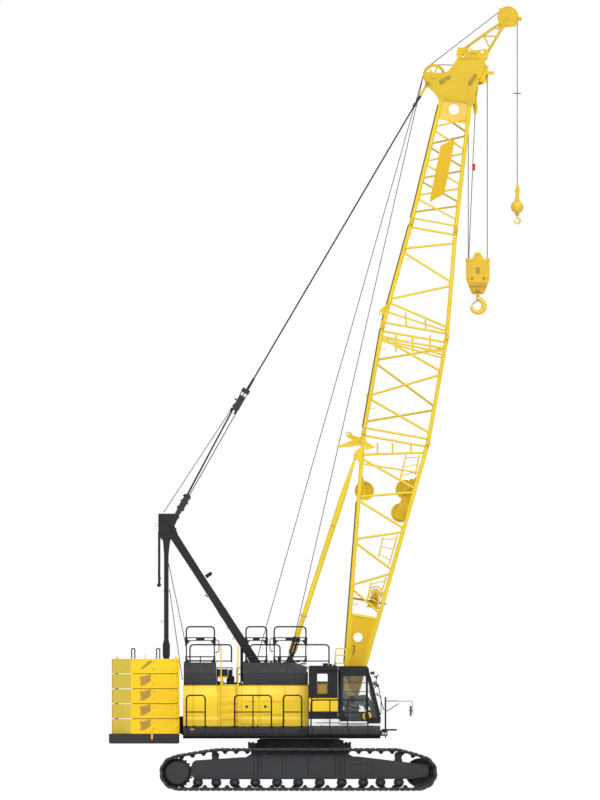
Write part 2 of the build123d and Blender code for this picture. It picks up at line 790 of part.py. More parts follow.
def boom_tapered_insert():
    nodes = stations(insert_end, taper_end, (0.081, 0.247, 0.502, 0.733, 0.897))
    cross = stations(insert_end, taper_end, (0.141, 0.374, 0.616, 0.839))
    ends = (insert_end + 120, taper_end - 130)
    return section(insert_end, taper_end, nodes, cross, {-1: 1, 1: 1}, lace_diameter, ends)


def boom_top():
    count = 6
    step = (top_end - taper_end - 560) / count
    nodes = tuple(taper_end + 250 + number * step for number in range(count + 1))
    cross = tuple(station + step / 2 for station in nodes[:-2])
    body = section(taper_end, top_end, nodes, cross, {-1: 1, 1: -1}, 48, (taper_end + 130,))
    end_plate = [(-chord_offset + face * chord_x(along), along) for face, along in
                 ((-1, top_end - 520), (1, top_end - 520), (1, top_end - 30), (-1, top_end - 30))]
    for side in (-1, 1):
        y = side * chord_y(top_end - 260)
        web = plate(end_plate, y - 8, y + 8)
        web -= rod((-105, y - 20, top_end - 190), (-105, y + 20, top_end - 190), 300)
        body = body.fuse(web)
    return body


head_outline = ((-556, 5), (337, 21), (488, 80), (433, 304), (459, 660), (566, 1210), (521, 1378),
                (-244, 1302), (-346, 1048), (-458, 852), (-564, 786), (-1100, 724), (-1120, 570),
                (-1008, 370), (-835, 250), (-694, 150))
head_half = 360


def boom_head():
    """Two head plates on the top section, tied by cross tubes and by the sheave axles."""
    shapes = []
    for side in (-1, 1):
        outer = side * head_half
        shapes.append(plate([(x, top_end + rise + seat) for x, rise in head_outline], outer - side * 40,
                            outer))
    for x, rise, d in ((-84, 190, 240), (-250, 920, 140), (430, 250, 100), (450, 1270, 100)):
        along = top_end + rise
        shapes.append(rod((x, -head_half + 10, along), (x, head_half - 10, along), d))
    for side in (-1, 1):
        for face in (-1, 1):
            corner = chord(side, face, top_end)
            shapes.append(block(corner.X - 75, corner.X + 75, side * (head_half - 40),
                                side * (abs(corner.Y) + 60),
                                top_end + seat, top_end + 120))
    for (x, along), radius in ((main_sheave, 60), (guide_sheave, 50)):
        reach = head_half + 20
        shapes.append(rod((x, -reach, along), (x, reach, along), 2 * radius))
    x, along = pendant_pin
    shapes += [rod((x, side * (head_half - 30), along), (x, side * 520, along), 90) for side in (-1, 1)]
    return joined(shapes)


def sheave(x, along, radius, y, bore, width=70):
    """A rope sheave whose groove bottom is at the rope's inner edge."""
    disc = rod((x, y - width / 2, along), (x, y + width / 2, along), 2 * radius - rope_diameter - 2 * seat)
    return disc - rod((x, y - width, along), (x, y + width, along), 2 * bore + 2 * seat)


def head_sheaves():
    shapes = [sheave(*main_sheave, main_sheave_radius, y, 60) for y in (-210, -70, 70, 210)]
    return shapes + [sheave(*guide_sheave, guide_sheave_radius, y, 50) for y in (-120, 120)]


# Rope guides inside the base section: x, station, radius, y, and the face whose chords carry them
inner_sheaves = ((-700, base_end - 1638, 250, -120, -1), (430, base_end - 1396, 250, 120, 1),
                 (420, base_end - 2070, 250, -120, 1))


def guide_sheaves():
    return [rod((x, y - 40, along), (x, y + 40, along), 2 * radius)
            - rod((x, y - 50, along), (x, y + 50, along), 80)
            for x, along, radius, y, face in inner_sheaves]


def sheave_hangers():
    """A cross tube between the two chords of a face, with two plates down to the sheave pin."""
    shapes = []
    for x, along, radius, y, face in inner_sheaves:
        station = along + radius + 110
        anchor = chord(1, face, station)
        shapes.append(rod((anchor.X, -chord_half, station), (anchor.X, chord_half, station), 90))
        hanger = [(anchor.X - 60, station + 40), (anchor.X + 60, station + 40), (x + 70, along - 60),
                  (x - 70, along - 60)]
        shapes += [plate(hanger, y + side * 45, y + side * 70) for side in (-1, 1)]
        shapes.append(rod((x, y - 60, along), (x, y + 60, along), 80 - 2 * seat))
    return shapes


def auxiliary_jib():
    """The two-legged nose for the auxiliary rope: feet over the head plates, sheave between plates."""
    shapes = []
    x, along = aux_sheave
    for side in (-1, 1):
        y = side * 190
        near = side * 110
        for start, end, spread, narrow, d in (((-96, 1470), (770, 2480), y, near, 80),
                                              ((541, 1470), (860, 2440), y, near, 80),
                                              ((250, 1870), (640, 1830), y * 0.9, y * 0.85, 45)):
            shapes.append(rod((start[0], spread, top_end + start[1]), (end[0], narrow, top_end + end[1]), d))
        shapes.append(rod((x, side * 90, along), (x, side * 125, along), 2 * nose_radius))
        foot = [(-200, 1160), (520, 1160), (640, 1460), (600, 1630), (-150, 1570)]
        foot = [(place, top_end + rise) for place, rise in foot]
        shapes.append(plate(foot, side * (head_half + seat), side * (head_half + 25)))
    for place, rise in ((-96, 1470), (541, 1490)):
        reach = head_half + 10
        shapes.append(rod((place, -reach, top_end + rise), (place, reach, top_end + rise), 90))
    groove = 2 * (aux_sheave_radius - seat) - rope_diameter
    for place, rise, half, d in ((0, 0, 126, 90), (0, 0, 60, groove), (200, -60, 92, 60)):
        shapes.append(rod((x + place, -half, along + rise), (x + place, half, along + rise), d))
    return joined(shapes)


# Luffing gear

def luffing_line():
    """Unit vector from the gantry pivot to the pendant pin at rest, its length, and its slope in degrees."""
    px, pz = boom_point(*pendant_pin)
    gx, gz = luffing_pivot
    length = math.hypot(px - gx, pz - gz)
    return (px - gx) / length, (pz - gz) / length, length


def along_line(distance, across=0):
    ux, uz, _ = luffing_line()
    return luffing_pivot[0] + distance * ux - across * uz, luffing_pivot[1] + distance * uz + across * ux


def strip(start, end, half0, half1, y0, y1):
    """A flat tapered bar on the luffing line."""
    outline = [along_line(start, half0), along_line(end, half1), along_line(end, -half1),
               along_line(start, -half0)]
    return plate(outline, y0, y1)


lower_block_length, upper_block_at, upper_block_length = 1000, 4050, 900
luffing_sheave_radius = 90
reeving_y = (-380, -260, 260, 380)


def lower_luffing_block():
    shapes = [strip(-90, lower_block_length, 110, 130, side * 470, side * 500) for side in (-1, 1)]
    shapes += [strip(-90, lower_block_length, 110, 130, side * 150, side * 170) for side in (-1, 1)]
    x, z = along_line(lower_block_length - 190)
    shapes.append(roll(x, z, 50, -500, 500))
    x0, z0 = luffing_pivot
    shapes.append(roll(x0, z0, 120, -500, 500))
    shapes += [roll(x, z, luffing_sheave_radius, y - 30, y + 30) for y in reeving_y]
    return joined(shapes) - roll(x0, z0, 50, -520, 520)


def luffing_reeving():
    """Taut rope falls between the two luffing blocks."""
    start, end = lower_block_length - 190, upper_block_at
    shapes = []
    offset = luffing_sheave_radius + rope_diameter / 2 + seat
    for y in reeving_y:
        for across in (-offset, offset):
            (x0, z0), (x1, z1) = along_line(start, across), along_line(end, across)
            shapes.append(rod((x0, y, z0), (x1, y, z1), rope_diameter))
    return shapes


def upper_bridle_block():
    start, end = upper_block_at, upper_block_at + upper_block_length
    shapes = [strip(start - 260, end, 130, 90, side * 470, side * 500) for side in (-1, 1)]
    shapes += [strip(start - 260, end - 200, 130, 110, side * 150, side * 170) for side in (-1, 1)]
    x, z = along_line(start)
    shapes.append(roll(x, z, 50, -500, 500))
    shapes += [roll(x, z, luffing_sheave_radius, y - 30, y + 30) for y in reeving_y]
    x, z = along_line(end - 120)
    shapes.append(roll(x, z, 55, -510, 510))
    return joined(shapes)


def boom_pendants():
    """Two pendant ropes with sockets, from the bridle block to the pin on the boom head."""
    _, _, length = luffing_line()
    start, end = upper_block_at + upper_block_length + seat, length - 60
    shapes = []
    for side in (-1, 1):
        y = side * 485
        (x0, z0), (x1, z1) = along_line(start + 300), along_line(end - 500)
        parts = [rod((x0, y, z0), (x1, y, z1), 44), strip(start, start + 500, 55, 30, y - 15, y + 15),
                 strip(end - 560, end, 30, 55, y - 15, y + 15)]
        shapes.append(joined(parts))
    return shapes


# Backstops

def backstop_line():
    bx, bz = boom_point(*backstop_pin)
    x, z = backstop_foot
    length = math.hypot(bx - x, bz - z)
    return (bx - x) / length, (bz - z) / length, length


def on_backstop(distance, side):
    ux, uz, _ = backstop_line()
    return backstop_foot[0] + distance * ux, side * chord_half, backstop_foot[1] + distance * uz


backstop_tube_length, backstop_bore = 3900, 52


def backstop_tubes():
    shapes = []
    for side in (-1, 1):
        barrel = rod(on_backstop(60, side), on_backstop(backstop_tube_length, side), 145)
        barrel -= rod(on_backstop(1500, side), on_backstop(backstop_tube_length + 10, side),
                      2 * backstop_bore + 2)
        y = side * chord_half
        boss = roll(*backstop_foot, 75, y - 65, y + 65)
        shapes.append(joined([barrel, boss]) - roll(*backstop_foot, 30, y - 80, y + 80))
    return shapes


def backstop_rods():
    _, _, length = backstop_line()
    shapes = []
    for side in (-1, 1):
        y = side * chord_half
        (x0, _, z0), (x1, _, z1) = on_backstop(length - 260, side), on_backstop(length, side)
        neck = rod((x0, y, z0), (x1, y, z1), 56)
        eye = roll(x1, z1, 55, y - 29, y + 29)
        shapes.append(joined([rod(on_backstop(1700, side), on_backstop(length - 240, side),
                                  2 * backstop_bore), neck, eye]))
    return shapes


# Hooks

fall_x = boom_point(*main_sheave)[0]
aux_x = boom_point(*aux_sheave)[0] + aux_sheave_radius


def main_falls():
    top = boom_point(*main_sheave)[1]
    return [rod((fall_x + step, y, block_sheave_z), (fall_x + step, y, top), rope_diameter)
            for step in (-main_sheave_radius, main_sheave_radius) for y in (-70, 70)]


def hook_block():
    z = block_sheave_z
    right = [(75, 300), (150, 125), (block_half, 125), (block_half, -500), (225, -720), (190, -block_drop)]
    cheek = [(x, z + rise) for x, rise in right] + [(-x, z + rise) for x, rise in reversed(right)]
    outline = [(fall_x + x, h) for x, h in cheek]
    shapes = [plate(outline, side * 120, side * 150) for side in (-1, 1)]
    groove = main_sheave_radius - rope_diameter / 2 - seat
    shapes += [roll(fall_x, z, groove, y - 32, y + 32) for y in (-70, 70)]
    shapes.append(roll(fall_x, z, 60, -150, 150))
    shapes.append(block(fall_x - 180, fall_x + 180, -125, 125, z - block_drop, z - 560))
    return [joined(shapes)]


def hook(x, top, radius, thickness, neck):
    """A forged hook: shank, round bowl and a rounded tip, open towards the rear."""
    centre = top - neck - radius
    bowl = Pos(x, 0, centre) * Rot(90, 0, 0) * Torus(radius, thickness / 2)
    bowl -= block(x - 2 * radius, x, -thickness, thickness, centre, centre + 2 * radius)
    stem = rod((x, 0, centre + radius), (x, 0, top), thickness * 0.9)
    tip = Pos(x - radius, 0, centre) * Sphere(thickness / 2)
    return joined([bowl, stem, tip])


def main_hook():
    return [hook(fall_x, block_sheave_z - block_drop - seat, **main_hook_size)]


def aux_fall():
    top = boom_point(*aux_sheave)[1]
    return [rod((aux_x, 0, ball_top + seat), (aux_x, 0, top), rope_diameter)]


def ball_weight():
    """A headache ball between its wedge socket above and its swivel below."""
    ball = Pos(aux_x, 0, ball_middle) * Sphere(ball_radius)
    inside = ball_radius / 2
    socket = roll_up(55, ball_middle + inside, ball_top, x=aux_x)
    swivel = roll_up(60, ball_bottom, ball_middle - inside, x=aux_x)
    return [joined([ball, socket, swivel])]


def aux_hook():
    return [hook(aux_x, ball_bottom - seat, **auxiliary_hook_size)]


def main():
    os.makedirs("parts", exist_ok=True)
    # Lower works
    save("carbody", carbody())
    save("slewing_ring", slewing_ring())
    for side, word in ((-1, "right"), (1, "left")):
        save(f"crawler_frame_{word}", [crawler_frame(side)])
        save(f"track_{word}", [track(side)])
        save(f"house_{word}", [house(side)])
    save("track_rollers", track_rollers())
    save("drive_sprockets", drive_sprockets())
    save("idler_wheels", idler_wheels())
    # Upper works
    save("main_frame", main_frame())
    save("side_decks", side_decks())
    for name, span in house_doors.items():
        save(name, [house_door(*span)])
    save("engine_block", engine_block())
    save("engine_hoods", engine_hoods())
    save("silencer", silencer())
    for name, values in winches.items():
        save(name, [winch(*values)])
    save("side_rails", side_rails())
    save("roof_rails", roof_rails())
    save("rear_cabin", rear_cabin())
    save("cab_shell", [cab_shell()])
    save("cab_glazing", cab_glazing())
    save("cab_door", [cab_door()])
    save("operator_seat", operator_seat())
    save("front_platform", front_platform())
    save("ballast_tray", ballast_tray())
    save("ballast_blocks", ballast_blocks())
    save("gantry", [gantry()])
    # Boom
    boom_parts = {
        "boom_base": [boom_base()],
        "boom_insert": [boom_insert()],
        "boom_tapered_insert": [boom_tapered_insert()],
        "boom_top": [boom_top()],
        "boom_head": [boom_head()],
        "head_sheaves": head_sheaves(),
        "guide_sheaves": guide_sheaves(),
        "auxiliary_jib": [auxiliary_jib()],
    }
    for name, shapes in boom_parts.items():
        save(name, [boom_place * shape for shape in shapes])
    # Rigging and hooks
    save("lower_luffing_block", [lower_luffing_block()])
    save("luffing_reeving", luffing_reeving())
    save("upper_bridle_block", [upper_bridle_block()])
    save("boom_pendants", boom_pendants())
    save("backstop_tubes", backstop_tubes())
    save("backstop_rods", backstop_rods())
    save("main_falls", main_falls())
    save("hook_block", hook_block())
    save("main_hook", main_hook())
    save("auxiliary_fall", aux_fall())
    save("ball_weight", ball_weight())
    save("auxiliary_hook", aux_hook())


if __name__ == "__main__":
    main()
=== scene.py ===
import json
from math import asin, atan2, copysign, cos, hypot, pi, radians, sin, sqrt

import bmesh
import bpy
from mathutils import Matrix, Vector

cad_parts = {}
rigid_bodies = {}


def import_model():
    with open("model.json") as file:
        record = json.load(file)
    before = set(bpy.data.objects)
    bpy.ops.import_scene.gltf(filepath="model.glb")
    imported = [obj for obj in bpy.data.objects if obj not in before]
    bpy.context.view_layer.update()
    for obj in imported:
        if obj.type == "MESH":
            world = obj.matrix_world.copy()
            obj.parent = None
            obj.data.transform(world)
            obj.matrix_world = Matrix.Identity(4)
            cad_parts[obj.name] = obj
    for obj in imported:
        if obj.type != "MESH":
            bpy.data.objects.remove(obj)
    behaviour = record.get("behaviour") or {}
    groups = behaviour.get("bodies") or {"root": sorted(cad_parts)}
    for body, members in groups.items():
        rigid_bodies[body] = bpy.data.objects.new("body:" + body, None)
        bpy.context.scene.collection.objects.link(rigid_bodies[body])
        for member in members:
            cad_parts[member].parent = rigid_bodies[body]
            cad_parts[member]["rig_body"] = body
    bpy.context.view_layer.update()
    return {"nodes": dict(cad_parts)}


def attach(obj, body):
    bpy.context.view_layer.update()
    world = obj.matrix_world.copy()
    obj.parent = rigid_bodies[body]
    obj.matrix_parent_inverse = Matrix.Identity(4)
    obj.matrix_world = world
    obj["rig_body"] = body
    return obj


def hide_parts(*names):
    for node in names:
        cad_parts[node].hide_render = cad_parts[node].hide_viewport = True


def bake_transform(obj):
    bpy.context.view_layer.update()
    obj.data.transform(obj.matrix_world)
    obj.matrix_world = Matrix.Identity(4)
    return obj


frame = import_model()

# Sizes are in millimetres from the slewing axis at ground level, x forwards, y to the left, z up.
# put() turns them into the frame's metres.
crane = {"slewX": -490, "seat": 0.3, "footX": 1491, "footZ": 2556, "boomAngle": 79.9, "gauge": 5650}
deckFloor = 1601.3
toMetres = 0.001


def put(x, y, z):
    return Vector(((x + crane["slewX"]) / 1000, y / 1000, z / 1000))


def boomSpot(x, along, y=0):  # a place in the boom's own frame, as millimetres of the crane
    tilt = radians(crane["boomAngle"])
    return (crane["footX"] + x * sin(tilt) + along * cos(tilt), y,
            crane["footZ"] - x * cos(tilt) + along * sin(tilt))


# Mesh tools

def newShape():
    return bmesh.new()


def newShapes(count):
    return [bmesh.new() for _ in range(count)]


def newObject(name, data):
    made = bpy.data.objects.new(name, data)
    bpy.context.scene.collection.objects.link(made)
    return made


def newMesh(name, shape, square=True):  # the shape as a mesh, its faces turned outwards; the shape is used up
    if square:
        bmesh.ops.recalc_face_normals(shape, faces=shape.faces)
    mesh = bpy.data.meshes.new(name)
    shape.to_mesh(mesh)
    shape.free()
    return mesh


def evaluated(piece):
    bpy.context.view_layer.update()
    return bpy.data.meshes.new_from_object(piece.evaluated_get(bpy.context.evaluated_depsgraph_get()))


def around(count, start=0.0):  # angles evenly round a circle
    return [start + 2 * pi * i / count for i in range(count)]


def shifted(x, z, *points):
    return [(x + px, z + pz) for px, pz in points]


def addPrism(shape, low, high):  # two rings of points, joined by sides and closed by caps
    lows = [shape.verts.new(p) for p in low]
    highs = [shape.verts.new(p) for p in high]
    count = len(lows)
    for i in range(count):
        j = (i + 1) % count
        shape.faces.new((lows[i], lows[j], highs[j], highs[i]))
    shape.faces.new(lows[::-1])
    shape.faces.new(highs)


# side is -1 for the same thing mirrored to the right of the machine

def addSlab(shape, plan, z0, z1):  # an outline of x, y points drawn upwards
    addPrism(shape, [(x, y, z0) for x, y in plan], [(x, y, z1) for x, y in plan])


def addBox(shape, x0, x1, y0, y1, z0, z1, side=1):
    y0, y1 = side * y0, side * y1
    addSlab(shape, [(x0, y0), (x1, y0), (x1, y1), (x0, y1)], z0, z1)


def addPlate(shape, outline, y0, y1, side=1):  # an outline of x, z points drawn across the machine
    addPrism(shape, [(x, side * y0, z) for x, z in outline], [(x, side * y1, z) for x, z in outline])


def addPanel(shape, x0, x1, z0, z1, y0, y1, side=1):
    addPlate(shape, [(x0, z0), (x1, z0), (x1, z1), (x0, z1)], y0, y1, side)


def addRun(shape, outline, x0, x1, side=1):  # an outline of y, z points drawn along x
    addPrism(shape, [(x0, side * y, z) for y, z in outline], [(x1, side * y, z) for y, z in outline])


def ringAt(centre, axis, radius, sides):
    axis = Vector(axis).normalized()
    across = axis.orthogonal().normalized()
    other = axis.cross(across)
    return [Vector(centre) + radius * (cos(a) * across + sin(a) * other) for a in around(sides)]


def addRod(shape, start, end, radius, sides=20, endRadius=None):
    start, end = Vector(start), Vector(end)
    low = ringAt(start, end - start, radius, sides)
    high = ringAt(end, end - start, radius if endRadius is None else endRadius, sides)
    addPrism(shape, low, high)


def addRoll(shape, x, z, radius, y0, y1, sides=32, side=1):
    addRod(shape, (x, side * y0, z), (x, side * y1, z), radius, sides)


def addLathe(shape, centre, axis, profile, sides=48):  # a closed outline of radius, offset points, turned
    heading = Vector(axis).normalized()
    rings = [[shape.verts.new(p) for p in ringAt(Vector(centre) + heading * offset, axis, radius, sides)]
             for radius, offset in profile]
    for a, b in zip(rings, rings[1:] + rings[:1]):
        for i in range(sides):
            j = (i + 1) % sides
            shape.faces.new((a[i], a[j], b[j], b[i]))


def addCollar(shape, centre, axis, inner, outer, low, high, sides=48):  # a plain turned ring
    addLathe(shape, centre, axis, [(inner, low), (outer, low), (outer, high), (inner, high)], sides)


def addBall(shape, centre, radius, steps=24):
    made = bmesh.ops.create_uvsphere(shape, u_segments=steps, v_segments=steps // 2, radius=radius)
    bmesh.ops.translate(shape, verts=made["verts"], vec=centre)


def addPad(shape, outline, y0, y1, holes):  # a plate with round holes, each x, z, radius
    side, drill = newShapes(2)
    addPlate(side, outline, y0, y1)
    for x, z, radius in holes:
        addRoll(drill, x, z, radius, min(y0, y1) - 20, max(y0, y1) + 20)
    body = newObject("pad", newMesh("pad", side))
    cutter = newObject("drill", newMesh("drill", drill))
    cut = body.modifiers.new("cut", "BOOLEAN")
    cut.object = cutter
    cut.solver = "EXACT"
    shape.from_mesh(evaluated(body))
    for thing in (body, cutter):
        bpy.data.objects.remove(thing)


def bentCorner(before, corner, after, radius, steps):  # points of an arc of about that radius
    a, b = before - corner, after - corner
    reach = min(radius, a.length * 0.45, b.length * 0.45)
    a, b = corner + a.normalized() * reach, corner + b.normalized() * reach
    return [a * (1 - t) ** 2 + corner * 2 * t * (1 - t) + b * t ** 2 for t in (i / steps for i in range(steps + 1))]


def curved(points, radius):  # a line of points with its corners rounded
    points = [Vector(p) for p in points]
    line = [points[0]]
    for corner in zip(points, points[1:], points[2:]):
        line += bentCorner(*corner, radius, 5)
    return line + [points[-1]]


def rounded(points, radius):  # a closed outline with its corners rounded
    spots = [Vector((*point, 0)) for point in points]
    corners = zip(spots[-1:] + spots[:-1], spots, spots[1:] + spots[:1])
    return [(p.x, p.y) for corner in corners for p in bentCorner(*corner, radius, 4)]


# Node tools

def linear(code):
    values = [int(code[i:i + 2], 16) / 255 for i in (0, 2, 4)]
    return tuple(v / 12.92 if v <= 0.04045 else ((v + 0.055) / 1.055) ** 2.4 for v in values) + (1.0,)


def addNode(tree, kind, settings=None, **links):  # i0, i1 name sockets by number, the rest by their own names
    node = tree.nodes.new(kind)
    for name, value in (settings or {}).items():
        setattr(node, name, value)
    for name, value in links.items():
        numbered = name[0] == "i" and name[1:].isdigit()
        socket = node.inputs[int(name[1:]) if numbered else name.replace("_", " ")]
        if isinstance(value, bpy.types.NodeSocket):
            tree.links.new(value, socket)
        else:
            socket.default_value = value
    return node


def mathNode(tree, operation, **links):
    return addNode(tree, "ShaderNodeMath", {"operation": operation}, **links).outputs["Value"]


def nodeTree(name, sockets):  # a geometry tree with named inputs, its inputs' sockets, and its closing step
    tree = bpy.data.node_groups.new(name, "GeometryNodeTree")
    face = tree.interface
    face.new_socket("Geometry", in_out="INPUT", socket_type="NodeSocketGeometry")
    for label, (kind, value) in {**sockets, "Finish": ("Material", None)}.items():
        socket = face.new_socket(label, in_out="INPUT", socket_type="NodeSocket" + kind)
        if value is not None:
            socket.default_value = value
    face.new_socket("Geometry", in_out="OUTPUT", socket_type="NodeSocketGeometry")
    given, out = tree.nodes.new("NodeGroupInput").outputs, tree.nodes.new("NodeGroupOutput").inputs

    def close(geometry):
        real = addNode(tree, "GeometryNodeRealizeInstances", Geometry=geometry)
        done = addNode(tree, "GeometryNodeSetMaterial", Geometry=real.outputs["Geometry"], Material=given["Finish"])
        tree.links.new(done.outputs["Geometry"], out["Geometry"])
        return tree

    return tree, given, close


# Sets a template on every point, turned as the point's own turn says
def makeRepeatTree():
    tree, given, close = nodeTree("repeatOnPoints", {"Template": ("Object", None), "Size": ("Float", 1.0)})
    thing = addNode(tree, "GeometryNodeObjectInfo", Object=given["Template"])
    turn = addNode(tree, "GeometryNodeInputNamedAttribute", {"data_type": "FLOAT_VECTOR"}, Name="turn")
    size = addNode(tree, "GeometryNodeInputNamedAttribute", {"data_type": "FLOAT"}, Name="size")
    rotation = addNode(tree, "FunctionNodeEulerToRotation", Euler=turn.outputs["Attribute"])
    scale = mathNode(tree, "MULTIPLY", i0=size.outputs["Attribute"], i1=given["Size"])
    stamped = addNode(tree, "GeometryNodeInstanceOnPoints", Points=given["Geometry"],
                     Instance=thing.outputs["Geometry"], Rotation=rotation.outputs["Rotation"], Scale=scale)
    return close(stamped.outputs["Instances"])


def addTube(tree, curve, **profileLinks):  # a round bar swept along a curve
    profile = addNode(tree, "GeometryNodeCurvePrimitiveCircle", **profileLinks)
    bar = addNode(tree, "GeometryNodeCurveToMesh", Curve=curve, Profile_Curve=profile.outputs["Curve"], Fill_Caps=True)
    return bar.outputs["Mesh"]


# Turns loose lines into round tubes with bent corners
def makeTubeTree():
    tree, given, close = nodeTree("tubesAlongLines", {"Radius": ("Float", 0.03), "Sides": ("Int", 12),
                                                      "Bend": ("Float", 0.0)})
    line = addNode(tree, "GeometryNodeMeshToCurve", Mesh=given["Geometry"])
    bent = addNode(tree, "GeometryNodeFilletCurve", {"mode": "POLY"}, Curve=line.outputs["Curve"], Count=6,
                   Radius=given["Bend"], Limit_Radius=True)
    return close(addTube(tree, bent.outputs["Curve"], Resolution=given["Sides"], Radius=given["Radius"]))


# Winds a round bar along +Z from the ground of its own frame
def makeCoilTree():
    tree, given, close = nodeTree("woundCoil", {"Turns": ("Float", 10.0), "Length": ("Float", 1.0),
                                                "Coil Radius": ("Float", 0.1), "Bar Radius": ("Float", 0.01)})
    spiral = addNode(tree, "GeometryNodeCurveSpiral", Resolution=24, Rotations=given["Turns"],
                     Start_Radius=given["Coil Radius"], End_Radius=given["Coil Radius"], Height=given["Length"])
    return close(addTube(tree, spiral.outputs["Curve"], Resolution=7, Radius=given["Bar Radius"]))


repeatTree, tubeTree, coilTree = makeRepeatTree(), makeTubeTree(), makeCoilTree()


def runTree(name, mesh, tree, values):  # evaluates a tree on a mesh and keeps the plain result
    source = newObject(name + "Source", mesh)
    modifier = source.modifiers.new("grow", "NODES")
    modifier.node_group = tree
    for item in tree.interface.items_tree:
        if item.in_out == "INPUT" and item.name in values:
            modifier[item.identifier] = values[item.name]
    done = evaluated(source)
    bpy.data.objects.remove(source)
    done.name = name
    return done


# Pieces. Each has a finish and rides on one body


def finishPiece(name, mesh, finish, body, replaces=(), bevel=0.0, smooth=35):
    piece = newObject(name, mesh)
    if not mesh.materials:
        mesh.materials.append(finish)
    mesh.shade_smooth()
    mesh.set_sharp_from_angle(angle=radians(smooth))
    if bevel:
        edge = piece.modifiers.new("edges", "BEVEL")
        edge.width = bevel * toMetres
        edge.segments = 2
        edge.limit_method = "ANGLE"
        edge.angle_limit = radians(40)
        edge.harden_normals = True
    if body:
        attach(piece, body)
    if replaces:
        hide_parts(*replaces)
    return piece


def addPiece(name, shape, finish, body, replaces=(), bevel=0.0, smooth=35):
    for vert in shape.verts:
        if body == "boom":
            vert.co = boomSpot(vert.co.x, vert.co.z, vert.co.y)
        vert.co = put(*vert.co)
    return finishPiece(name, newMesh(name, shape), finish, body, replaces, bevel, smooth)


def placed(body, x, y, z):  # pieces on the boom are given in the boom's own frame
    return put(*(boomSpot(x, z, y) if body == "boom" else (x, y, z)))


def addTubes(name, lines, radius, finish, body, replaces=(), bend=0.0, sides=14):
    mesh = bpy.data.meshes.new(name)
    spots, edges = [], []
    for line in lines:
        start = len(spots)
        spots += [placed(body, *p) for p in line]
        edges += [(start + i, start + i + 1) for i in range(len(line) - 1)]
    mesh.from_pydata(spots, edges, [])
    values = {"Radius": radius * toMetres, "Sides": sides, "Bend": bend * toMetres, "Finish": finish}
    return finishPiece(name, runTree(name, mesh, tubeTree, values), finish, body, replaces)


def addRepeats(name, template, spots, finish, body, replaces=(), bevel=0.0):
    # template is a shape about its own origin in millimetres; spots are place, turn in radians, and size
    for vert in template.verts:
        vert.co = vert.co / 1000
    sample = bpy.data.objects.new(name + "Sample", newMesh(name + "Pattern", template))
    mesh = bpy.data.meshes.new(name)
    mesh.from_pydata([placed(body, *spot[0]) for spot in spots], [], [])
    lean = radians(90 - crane["boomAngle"]) if body == "boom" else 0.0
    turns = mesh.attributes.new("turn", "FLOAT_VECTOR", "POINT")
    for item, spot in zip(turns.data, spots):
        item.vector = Vector(spot[1]) + Vector((0, lean, 0))
    sizes = mesh.attributes.new("size", "FLOAT", "POINT")
    for item, spot in zip(sizes.data, spots):
        item.value = spot[2] if len(spot) > 2 else 1.0
    done = runTree(name, mesh, repeatTree, {"Template": sample, "Size": 1.0, "Finish": finish})
    bpy.data.objects.remove(sample)
    return finishPiece(name, done, finish, body, replaces, bevel)


def addCoil(name, start, axis, coilRadius, barRadius, turns, length, finish, body):
    mesh = bpy.data.meshes.new(name)
    mesh.from_pydata([(0, 0, 0)], [], [])
    values = {"Turns": float(turns), "Length": length * toMetres, "Coil Radius": coilRadius * toMetres,
              "Bar Radius": barRadius * toMetres, "Finish": finish}
    done = runTree(name, mesh, coilTree, values)
    heading = Vector(axis).to_track_quat("Z", "Y").to_matrix().to_4x4()
    done.transform(Matrix.Translation(put(*start)) @ heading)
    return finishPiece(name, done, finish, body)


def boltHead(radius, height):  # a hexagon head on a washer, standing on the ground of its own frame
    shape = newShape()
    addRod(shape, (0, 0, 0), (0, 0, height * 0.25), radius * 1.35, 14)
    addRod(shape, (0, 0, height * 0.25), (0, 0, height), radius, 6)
    return shape


upright, across, upwards = (0, 0, 0), (0, 1, 0), (0, 0, 1)


def outward(side):  # the turn that lays a bolt head flat on a face that looks to that side
    return (-side * pi / 2, 0, 0)


def boltRing(x, y, z, radius, angles, side, size):  # bolts in a circle on a face that looks to that side
    return [((x + radius * cos(a), y, z + radius * sin(a)), outward(side), size) for a in angles]


def refine(node, finish, bevel):  # a CAD node's shape with its edges eased
    source = frame["nodes"][node]
    shape = newShape()
    shape.from_mesh(source.data)
    bmesh.ops.remove_doubles(shape, verts=shape.verts, dist=0.0001)
    bmesh.ops.dissolve_limit(shape, angle_limit=radians(1), verts=shape.verts, edges=shape.edges)
    bmesh.ops.triangulate(shape, faces=[face for face in shape.faces if len(face.verts) > 4])
    mesh = newMesh(node + "Body", shape, False)
    return finishPiece(node + "Body", mesh, finish, source["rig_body"], (node,), bevel, 30)


# Materials

def surfaceNodes(name):
    material = bpy.data.materials.new(name)
    material.use_nodes = True
    tree = material.node_tree
    tree.nodes.clear()
    return material, tree, addNode(tree, "ShaderNodeTexCoord").outputs["Object"]


def closeSurface(tree, settings, **links):  # single values are set on the shader's own sockets
    shader = addNode(tree, "ShaderNodeBsdfPrincipled", **links)
    for label, value in settings.items():
        shader.inputs[label].default_value = value
    out = addNode(tree, "ShaderNodeOutputMaterial")
    tree.links.new(shader.outputs["BSDF"], out.inputs["Surface"])


def noise(tree, spot, scale, detail, rough=0.5):
    return addNode(tree, "ShaderNodeTexNoise", Vector=spot, Scale=scale, Detail=detail, Roughness=rough).outputs["Fac"]


def mixColours(tree, share, first, second):
    mix = addNode(tree, "ShaderNodeMix", {"data_type": "RGBA"})
    tree.links.new(share, mix.inputs[0])
    for socket, value in ((mix.inputs[6], first), (mix.inputs[7], second)):
        if isinstance(value, str):
            socket.default_value = linear(value)
        else:
            tree.links.new(value, socket)
    return mix.outputs[2]


